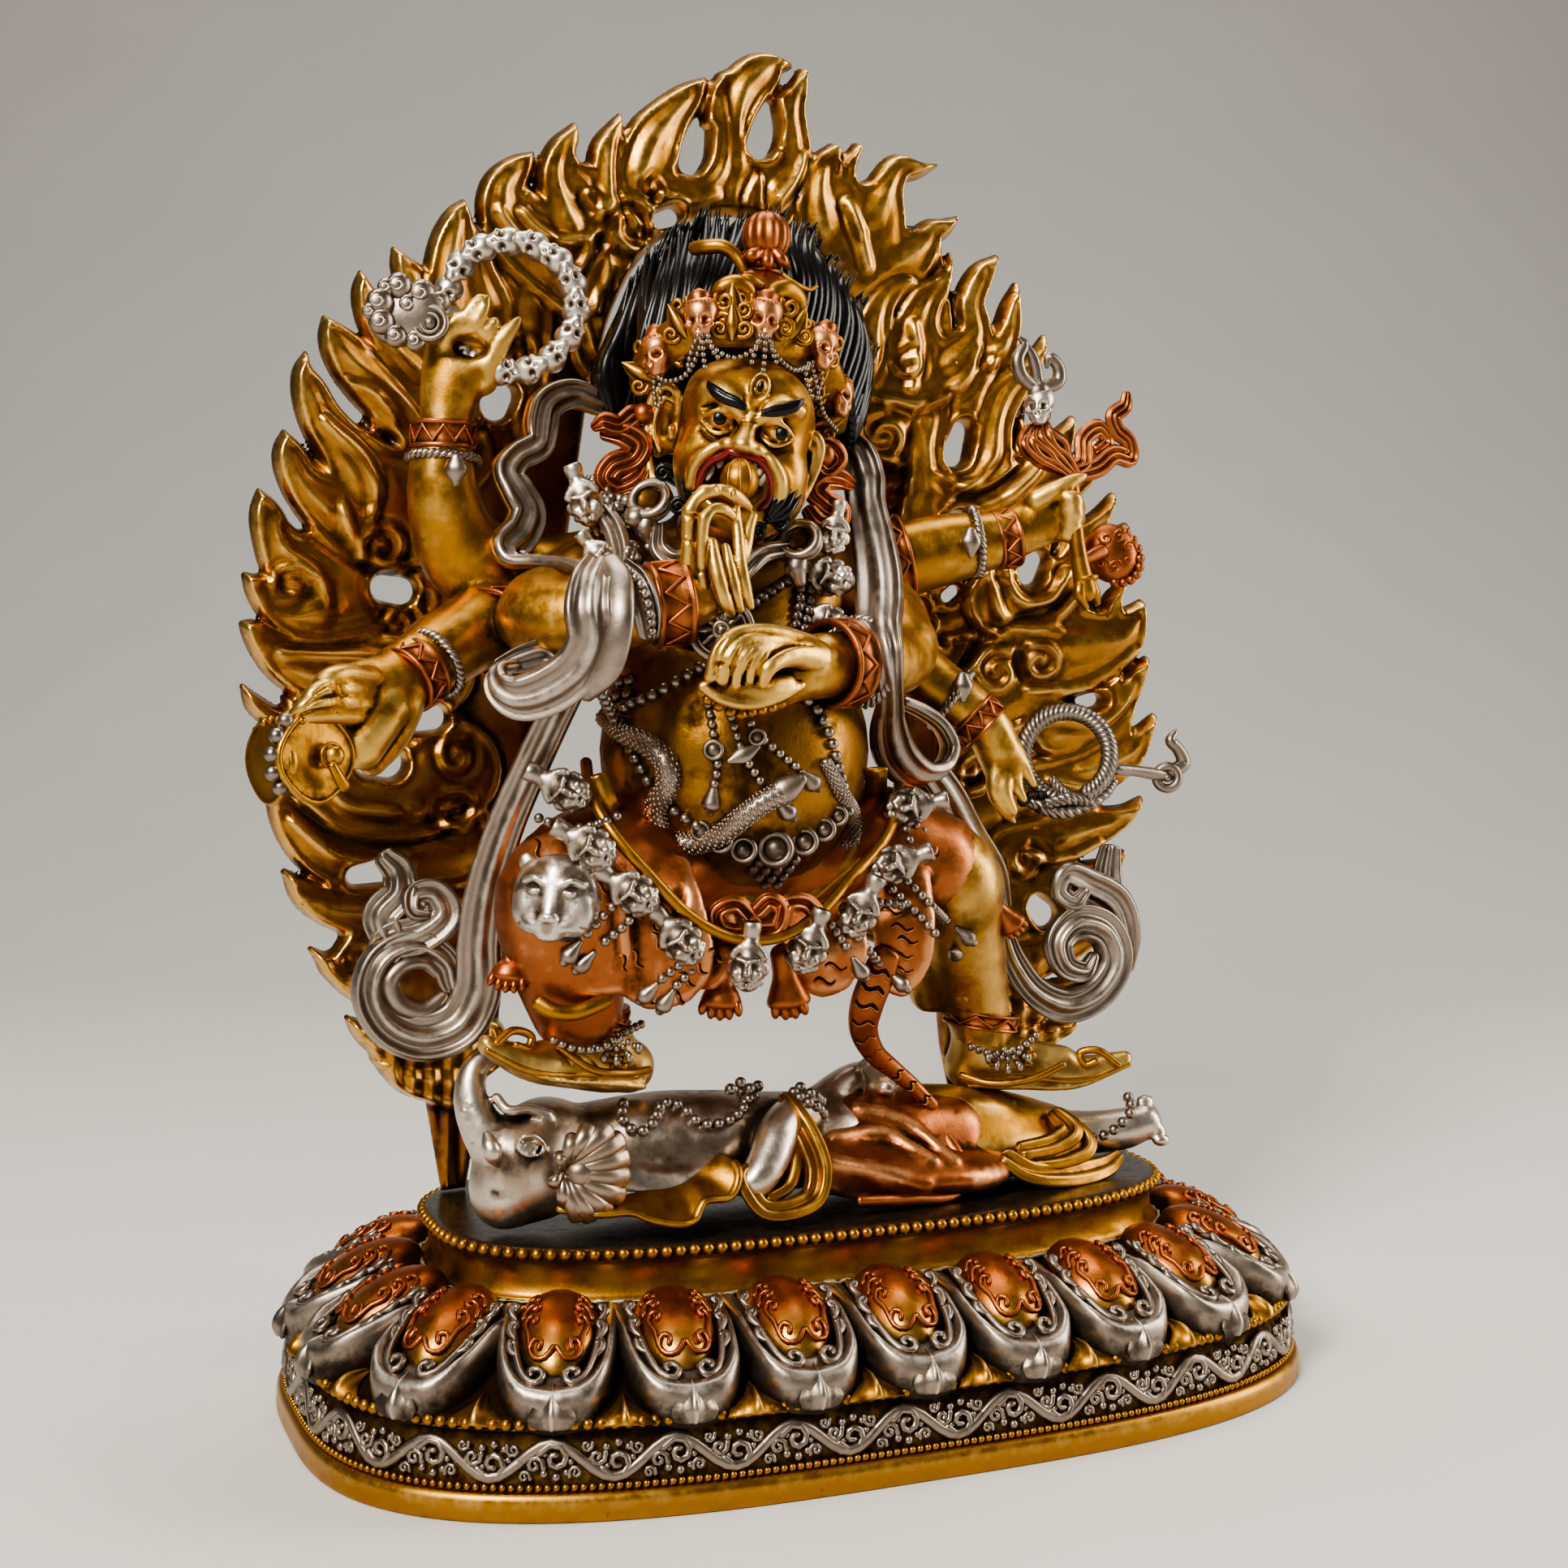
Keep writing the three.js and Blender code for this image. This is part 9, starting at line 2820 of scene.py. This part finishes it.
def trampled_cloth(piece):
    """Gold cloth on the deck, copper trousers and the gold shin that comes out of them"""
    hips = Clay((-14, -36, -1), (96, 4, 34), 0.62)
    hips.stroke([(2, -10, 13, 12, 11), (20, -10, 12.5, 13, 11.5), (34, -9, 12, 12, 10.5)], facing=UP,
                blend=3)
    hips.stroke([(-2, -18, 10, 11, 8), (16, -22, 7, 13, 6), (32, -22, 5.5, 12, 5), (42, -18, 5, 8, 4)],
                facing=UP, blend=3)
    for fold in ([(1030, 1400, -20), (1090, 1396, -26), (1150, 1430, -30)],
                 [(1010, 1430, -26), (1070, 1440, -32), (1140, 1462, -32)],
                 [(1060, 1366, -14), (1120, 1386, -20), (1176, 1430, -24)],
                 [(1010, 1460, -30), (1050, 1470, -34), (1110, 1474, -33)]):
        hips.stroke([(*met(hips, *at[:2], 0.2), 1.3) for at in fold if met(hips, *at[:2]) is not None],
                    blend=2.4)
    piece.add(hips.mesh(adaptivity=0.06, cavity=1.3), COPPER)
    piece.add(loft(seen_rows([(1120, 1356, -14, 1.6, 1.2), (1160, 1396, -20, 1.8, 1.3),
                              (1186, 1440, -26, 1.8, 1.3), (1176, 1470, -29, 1.6, 1.2),
                              (1120, 1478, -33, 1.5, 1.1), (1060, 1480, -35, 1.3, 1.0)]),
                   facing=BACK, per=6), COPPER, wash=-0.1)
    leg = Clay((20, -30, -1), (98, 2, 30), 0.6)
    leg.stroke([(24, -9, 15, 9.5), (44, -8.5, 13, 9.0), (60, -8, 10.5, 7.0), (70, -9.5, 8.5, 5.2)], blend=3)
    leg.stroke([(30, -14, 8, 8.0), (50, -14, 7, 6.8), (64, -14, 5.6, 5.0)], blend=3)
    piece.add(leg.mesh(adaptivity=0.06), GOLD)
    foot = Clay((56, -34, -1), (104, 2, 26), 0.6)
    foot.stroke([(66, -9, 9.0, 5.6), (75, -11, 8.6, 5.4), (83, -13.5, 9.4, 5.2), (88, -15, 11, 4.4)],
                blend=2)
    for index in range(5):
        foot.lump((90.5 - 0.5 * index, -19.0 + 1.2 * index, 7.0 + 2.3 * index), (2.5, 1.7, 1.6), blend=0.3)
    piece.add(foot.mesh(adaptivity=0.06), ASH_SILVER)
    beads = [seen(*at) for at in ((1346, 1402, -18), (1362, 1398, -20), (1382, 1384, -22),
                                  (1394, 1368, -22), (1390, 1352, -18))]
    piece.add(bead_string(beads, 1.4, 0.05, segments=9, rings=6), PEWTER)
    for rows in ([(1300, 1372, -15, 2.2, 1.4), (1318, 1392, -20, 3.4, 1.6), (1300, 1408, -22, 3.0, 1.5),
                  (1260, 1418, -24, 2.6, 1.4)],
                 [(1326, 1390, -18, 2.4, 1.4), (1334, 1410, -21, 3.6, 1.6), (1310, 1424, -23, 3.4, 1.5),
                  (1268, 1432, -25, 2.4, 1.3)],
                 [(1240, 1426, -26, 2.6, 1.5), (1270, 1444, -27, 3.4, 1.7), (1320, 1446, -25, 3.8, 1.7),
                  (1362, 1436, -21, 3.0, 1.5), (1378, 1424, -17, 1.6, 1.2)]):
        piece.add(ribbon(seen_rows(rows), ridges=2, facing=BACK + UP), GOLD)


def flat_cloth(piece, edge, inner, height):
    """A thin wavy cloth lying on the deck between two rows of pixels"""
    count = 40
    outer_line = smooth_rows([seen(*at) for at in edge], 12)
    inner_line = smooth_rows([seen(*at) for at in inner], 12)
    share = np.linspace(0, 1, count)
    pick = [np.stack([np.interp(share * (len(line) - 1), np.arange(len(line)), line[:, axis])
                      for axis in range(3)], 1)
            for line in (outer_line, inner_line)]
    rings = []
    for way in np.linspace(0, 1, 7):
        ring = pick[0] * (1 - way) + pick[1] * way
        ring[:, 2] = np.maximum(ring[:, 2], 0.9) + height * math.sin(way * 2.4)
        rings.append(ring)
    front = np.vstack(rings)
    front[:, 2] = np.maximum(front[:, 2], 1.6)
    back = front - np.array([0, 0, 1.0])
    verts = np.vstack([front, back])
    quads = [tuple(face)[::-1] for face in ring_faces(7, count, closed_ring=False)]
    quads += [tuple(corner + len(front) for corner in face)[::-1] for face in quads]
    piece.add((verts, quads, np.zeros(len(verts)), np.zeros(len(verts))), GOLD)
    piece.add(loft([(*point, 1.1, 0.9) for point in front[:count:2]], per=3, sides=8, facing=UP), GOLD,
              wash=-0.15)


def trampled_beads(piece, clay):
    strings = [[(768, 1360), (766, 1378), (778, 1392), (792, 1394), (806, 1382), (812, 1366), (826, 1358),
                (842, 1366), (856, 1380), (872, 1386), (890, 1384), (906, 1376), (918, 1362), (914, 1346)],
               [(900, 1342), (912, 1334), (924, 1342), (922, 1358), (930, 1350), (934, 1338)],
               [(978, 1346), (990, 1356), (1004, 1362), (1014, 1372)],
               [(986, 1340), (1000, 1348), (1012, 1356)]]
    for pixels in strings:
        rows = draped(clay, pixels, 0.9, default=-20)
        piece.add(bead_string(rows, 1.4, 0.05, segments=9, rings=6), PEWTER)
    scarf_loop = [(966, 1352, -22, 1.6, 1.2), (978, 1372, -27, 2.8, 1.5), (996, 1404, -31, 3.2, 1.6),
                  (1008, 1440, -33, 3.2, 1.6), (1002, 1474, -35, 3.0, 1.5), (974, 1490, -37, 2.8, 1.4),
                  (942, 1490, -37, 2.8, 1.4), (926, 1472, -36, 3.0, 1.4), (918, 1452, -34, 3.0, 1.4),
                  (934, 1442, -32, 2.0, 1.2)]
    piece.add(ribbon(seen_rows(scarf_loop), ridges=2, per=7, facing=BACK, carried=True), GOLD)
    inner_loop = [(972, 1400, -28, 1.2, 0.9), (980, 1430, -31, 1.5, 1.0), (972, 1462, -33, 1.4, 1.0),
                  (948, 1478, -34, 1.4, 1.0)]
    piece.add(loft(seen_rows(inner_loop), facing=BACK), GOLD)
    flat_cloth(piece,
               [(690, 1490, -34), (740, 1496, -38), (780, 1494, -39), (800, 1502, -40), (840, 1508, -41),
                (856, 1502, -40), (868, 1480, -39), (900, 1474, -38), (910, 1446, -36), (904, 1430, -33)],
               [(700, 1478, -30), (760, 1476, -31), (800, 1470, -31), (840, 1462, -31), (862, 1446, -31),
                (880, 1428, -30)], 1.0)


def make_trampled():
    clay = trampled_clay()
    figure = Piece("trampled_body", ["trampled_figure"], "trampled_figure")
    figure.add(clay.mesh(adaptivity=0.05, cavity=1.6), ASH_SILVER)
    trampled_ear(figure)
    figure.make()
    dress = Piece("trampled_dress", ["trampled_figure"], "trampled_figure")
    trampled_cloth(dress)
    trampled_beads(dress, clay)
    dress.make()


# Trident staff and rope noose

def make_staff():
    """Shaft, skull with its three prongs, ribbons and the copper disc"""
    staff = Piece("staff_trident", ["trident_staff"], "trident_staff")
    shaft = seen_rows([(1322, 600, -11, 1.7), (1324, 640, -13, 1.9), (1330, 690, -13.5, 2.2),
                       (1338, 728, -14, 2.8)])
    staff.add(loft(shaft, sides=14, per=5), GOLD)
    for rows in ([(1332, 716, -14, 1.6), (1330, 732, -15, 1.6), (1338, 748, -14, 0.8)],
                 [(1342, 716, -14, 1.6), (1348, 730, -14, 1.6), (1352, 742, -13, 0.9)]):
        staff.add(loft(seen_rows(rows), sides=8), GOLD)
    staff.add(ring_band(seen(1338, 712, -13.8), (0.12, -0.05, -1), 2.6, 0.7, 0.6, segments=20,
                        section_sides=7), GOLD)
    staff.add(placed(SKULL, seen(1281, 500, -6), turned_axes(-40, -4), 1.08), SILVER)
    staff.add(loft(seen_rows([(1281, 512, -6, 2.9, 2.4), (1280, 478, -6, 2.8, 2.4),
                              (1280, 470, -6, 1.4, 1.4)]), sides=12), SILVER, wash=0.1)
    for rows in ([(1274, 478, -6, 1.6), (1258, 462, -6, 1.8), (1254, 442, -6, 1.7), (1262, 424, -6, 1.2),
                  (1256, 416, -6, 0.5)],
                 [(1286, 478, -6, 1.6), (1304, 470, -6, 1.8), (1304, 452, -6, 1.6), (1292, 440, -6, 1.3),
                  (1290, 452, -6, 0.6)],
                 [(1280, 478, -6, 1.5), (1276, 452, -6, 1.6), (1270, 434, -6, 1.2), (1262, 424, -6, 0.6)]):
        staff.add(loft([(*seen(*row[:3]), row[3], row[3] * 0.8) for row in rows], sides=9, facing=BACK),
                  SILVER)
    # A tuft of hair below it, in twisted locks
    locks = 6
    for index in range(locks):
        shift = (index - (locks - 1) / 2) * 5.0
        sway = 3.0 * math.sin(index * 2.1)
        rows = [(1280 + shift * 0.7, 524 - shift * 0.2, -6, 0.9),
                (1278 + shift * 1.4 + sway, 540 - shift * 0.6, -8.5, 1.5),
                (1292 + shift * 1.2 - sway, 556 - shift * 0.8, -9.0, 1.5),
                (1306 + shift * 0.9 + sway, 568 - shift * 0.6, -9.0, 1.3),
                (1322 + shift * 0.4, 584 - shift * 0.3, -9.5, 0.7)]
        staff.add(loft(seen_rows(rows), ridge_section(8, 2), per=6), COPPER, wash=0.04)
    staff.add(loft(seen_rows([(1266, 530, -5, 1.4), (1262, 544, -6, 1.6), (1276, 552, -8, 1.2)]), sides=7),
              COPPER)
    for rows in ([(1318, 580, -8, 2.0, 1.1), (1334, 570, -7, 2.4, 1.1), (1336, 540, -6, 2.4, 1.1),
                  (1354, 528, -5, 2.4, 1.1), (1364, 544, -5, 2.2, 1.1), (1352, 556, -6, 1.8, 1.0)],
                 [(1326, 584, -8, 2.2, 1.1), (1352, 576, -7, 2.6, 1.2), (1372, 560, -6, 2.6, 1.2),
                  (1392, 564, -5, 2.4, 1.1), (1390, 544, -5, 2.2, 1.1), (1376, 530, -5, 2.2, 1.1),
                  (1372, 512, -5, 2.2, 1.1), (1386, 500, -5, 2.0, 1.0), (1388, 486, -5, 1.2, 0.9)]):
        staff.add(ribbon(seen_rows(rows), ridges=3, per=6, facing=BACK, carried=True), COPPER)
    # Knobbly copper disc and its stem
    disc = seen(1369, 682, -8)
    staff.add(ellipsoid(disc, (6.6, 4.2, 7.6), turn=(0, -24, CAMERA_AZIMUTH), segments=26, rings=14),
              COPPER)
    for index in range(9):
        angle = math.radians(-100 + 18 * index)
        way = ACROSS * math.cos(angle) * 6.8 + UPRIGHT * math.sin(angle) * 7.4
        lean = ACROSS * math.sin(angle) * -2.0
        staff.add(ellipsoid(disc + way + lean + BACK * 0.8, (1.3,) * 3, segments=9, rings=7), COPPER,
                  wash=-0.06)
    for index in range(7):
        angle = 2 * math.pi * index / 7 + 0.3
        at = disc + BACK * 4.1 + (ACROSS * math.cos(angle) + UPRIGHT * math.sin(angle)) * 4.0
        staff.add(loft(spiral_rows(at, ACROSS, UPRIGHT, 90 * index, 1.1, 1.7, 0.4, 0.42), per=1,
                       facing=BACK, sides=5), COPPER)
    staff.add(loft(seen_rows([(1334, 690, -12, 1.4), (1346, 684, -11, 1.8), (1356, 680, -10, 2.2)]),
                   sides=8), COPPER)
    staff.make()


def make_noose():
    """A ring of twisted rope with a tangle at its foot and a silver hook"""
    rope = Piece("noose_rope", ["noose"], "noose")
    centre, radius = seen(1314, 930, -15.6), 10.6
    strands, steps = 3, 150
    for strand in range(strands):
        rows = []
        for index in range(steps + 1):
            angle = math.radians(-64 + 326 * index / steps)
            roll = 34 * angle / 2 + strand * 2 * math.pi / strands
            out = ACROSS * math.cos(angle) + UPRIGHT * math.sin(angle)
            rows.append((*(centre + out * (radius + 1.15 * math.cos(roll)) + BACK * 1.15 * math.sin(roll)),
                         1.15))
        rope.add(loft(rows, per=1, sides=7, carried=True), PEWTER)
    # Tangle at the foot with the blackened glue beside the fingertips
    for rows in ([(1268, 988, -15, 1.5), (1300, 1000, -17, 1.9), (1334, 994, -17, 1.9),
                  (1362, 976, -16, 1.7), (1372, 962, -15, 1.4)],
                 [(1290, 990, -18, 1.4), (1318, 984, -19, 1.7), (1344, 988, -18, 1.5)],
                 [(1296, 960, -15, 1.3), (1312, 978, -17, 1.6), (1332, 986, -17, 1.3)]):
        line = smooth_rows(seen_rows(rows), 10)
        _, side, face = frames_along(line[:, :3], BACK)
        for strand in range(3):
            twisted = []
            for index, row in enumerate(line):
                roll = index * 0.75 + strand * 2.09
                out = side[index] * math.cos(roll) + face[index] * math.sin(roll)
                twisted.append((*(row[:3] + out * row[3] * 0.45), row[3] * 0.55))
            rope.add(loft(twisted, per=1, sides=6), PEWTER, wash=0.15)
    lumps = [seen(1270 + random.uniform(-14, 26), 986 + random.uniform(-8, 10),
                  -15 + random.uniform(-1, 1)) for _ in range(12)]
    rope.add(spheres(lumps, random.uniform(0.9, 1.7, 12), 8, 6), PEWTER, wash=0.75)
    rope.add(loft(seen_rows([(1376, 948, -14, 1.5), (1400, 950, -13.5, 1.4), (1424, 954, -13, 1.6),
                             (1440, 956, -12.5, 1.6)]), sides=10),
             SILVER)
    rope.add(ring_band(seen(1438, 958, -13.5), BACK, 2.8, 1.2, 1.2, segments=22, section_sides=9), SILVER)
    rope.add(ellipsoid(seen(1438, 958, -13.5), (1.2,) * 3, segments=9, rings=7), SILVER)
    rope.add(loft(seen_rows([(1446, 950, -13, 2.0), (1458, 940, -13, 1.9), (1452, 924, -13, 1.6),
                             (1442, 912, -13, 1.4), (1448, 902, -13, 0.8)]), sides=9), SILVER)
    rope.make()


make_trampled()
make_staff()
make_noose()


# Camera, floor and light

def make_camera():
    azimuth, elevation, roll = (math.radians(v) for v in (CAMERA_AZIMUTH, CAMERA_ELEVATION, CAMERA_ROLL))
    back = Vector((math.sin(azimuth) * math.cos(elevation), -math.cos(azimuth) * math.cos(elevation),
                   math.sin(elevation)))
    right = Vector((math.cos(azimuth), math.sin(azimuth), 0))
    up = back.cross(right)
    turned_right = right * math.cos(roll) + up * math.sin(roll)
    turned_up = up * math.cos(roll) - right * math.sin(roll)
    data = bpy.data.cameras.new("camera")
    data.sensor_width = 36.0
    data.lens = FOCAL_PIXELS / PHOTO_PIXELS * data.sensor_width
    data.clip_start = 0.01
    camera = bpy.data.objects.new("camera", data)
    bpy.context.scene.collection.objects.link(camera)
    matrix = Matrix((turned_right, turned_up, back)).transposed().to_4x4()
    matrix.translation = (Vector(CAMERA_AT) + Vector((0, 0, DECK))) * MILLIMETRE
    camera.matrix_world = matrix
    bpy.context.scene.camera = camera


def area_light(name, position, target, size, power, colour=(1, 1, 1)):
    data = bpy.data.lights.new(name, "AREA")
    data.shape = "RECTANGLE"
    data.size, data.size_y = size
    data.energy = power
    data.color = colour
    light = bpy.data.objects.new(name, data)
    bpy.context.scene.collection.objects.link(light)
    light.location = position
    light.rotation_euler = (Vector(target) - Vector(position)).to_track_quat("-Z", "Y").to_euler()


SWEEP_FROM, SWEEP_RADIUS, SWEEP_TOP = 0.55, 0.9, 3.2   # the floor curves up behind the figure


def make_stage():
    """A pale floor that sweeps up into the background, and soft studio light"""
    away = Vector((-math.sin(math.radians(CAMERA_AZIMUTH)), math.cos(math.radians(CAMERA_AZIMUTH)), 0))
    side = Vector((away.y, -away.x, 0))
    profile = [(-2.5, 0.0), (-0.5, 0.0), (0.2, 0.0), (SWEEP_FROM, 0.0)]
    for step in range(1, 25):
        angle = math.radians(90 * step / 24)
        profile.append((SWEEP_FROM + SWEEP_RADIUS * math.sin(angle), SWEEP_RADIUS * (1 - math.cos(angle))))
    profile.append((SWEEP_FROM + SWEEP_RADIUS, SWEEP_TOP))
    verts = [tuple(away * reach + side * across + Vector((0, 0, height)))
             for reach, height in profile for across in (-4.0, 4.0)]
    faces = [(2 * row, 2 * row + 1, 2 * row + 3, 2 * row + 2) for row in range(len(profile) - 1)]
    mesh = bpy.data.meshes.new("floor")
    mesh.from_pydata(verts, [], faces)
    mesh.polygons.foreach_set("use_smooth", [True] * len(faces))
    floor = bpy.data.objects.new("floor", mesh)
    bpy.context.scene.collection.objects.link(floor)
    material, nodes, links, shader = new_material("floor")
    place = nodes.new("ShaderNodeTexCoord").outputs["Object"]
    cloud = noise_node(nodes, links, place, 9, 4, 0.5)
    links.new(mixed(nodes, links, cloud, (0.56, 0.545, 0.525), (0.60, 0.585, 0.565)),
              shader.inputs["Base Color"])
    shader.inputs["Roughness"].default_value = 0.7
    mesh.materials.append(material)
    world = bpy.data.worlds.new("studio")
    bpy.context.scene.world = world
    world.use_nodes = True
    ground = world.node_tree.nodes["Background"]
    ground.inputs["Color"].default_value = (0.50, 0.48, 0.46, 1)
    ground.inputs["Strength"].default_value = 0.24
    middle = (0, 0, 0.16)
    area_light("key", (-0.70, -0.62, 0.80), middle, (0.30, 0.42), 20, (1.0, 0.95, 0.88))
    area_light("fill", (0.85, -0.30, 0.42), middle, (0.25, 0.8), 8, (1.0, 0.94, 0.86))
    area_light("top", (0.0, 0.15, 1.1), middle, (0.8, 0.4), 8, (1.0, 0.97, 0.93))
    bpy.context.scene.view_settings.view_transform = "AgX"
    bpy.context.scene.view_settings.look = "AgX - Medium High Contrast"


make_camera()
make_stage()
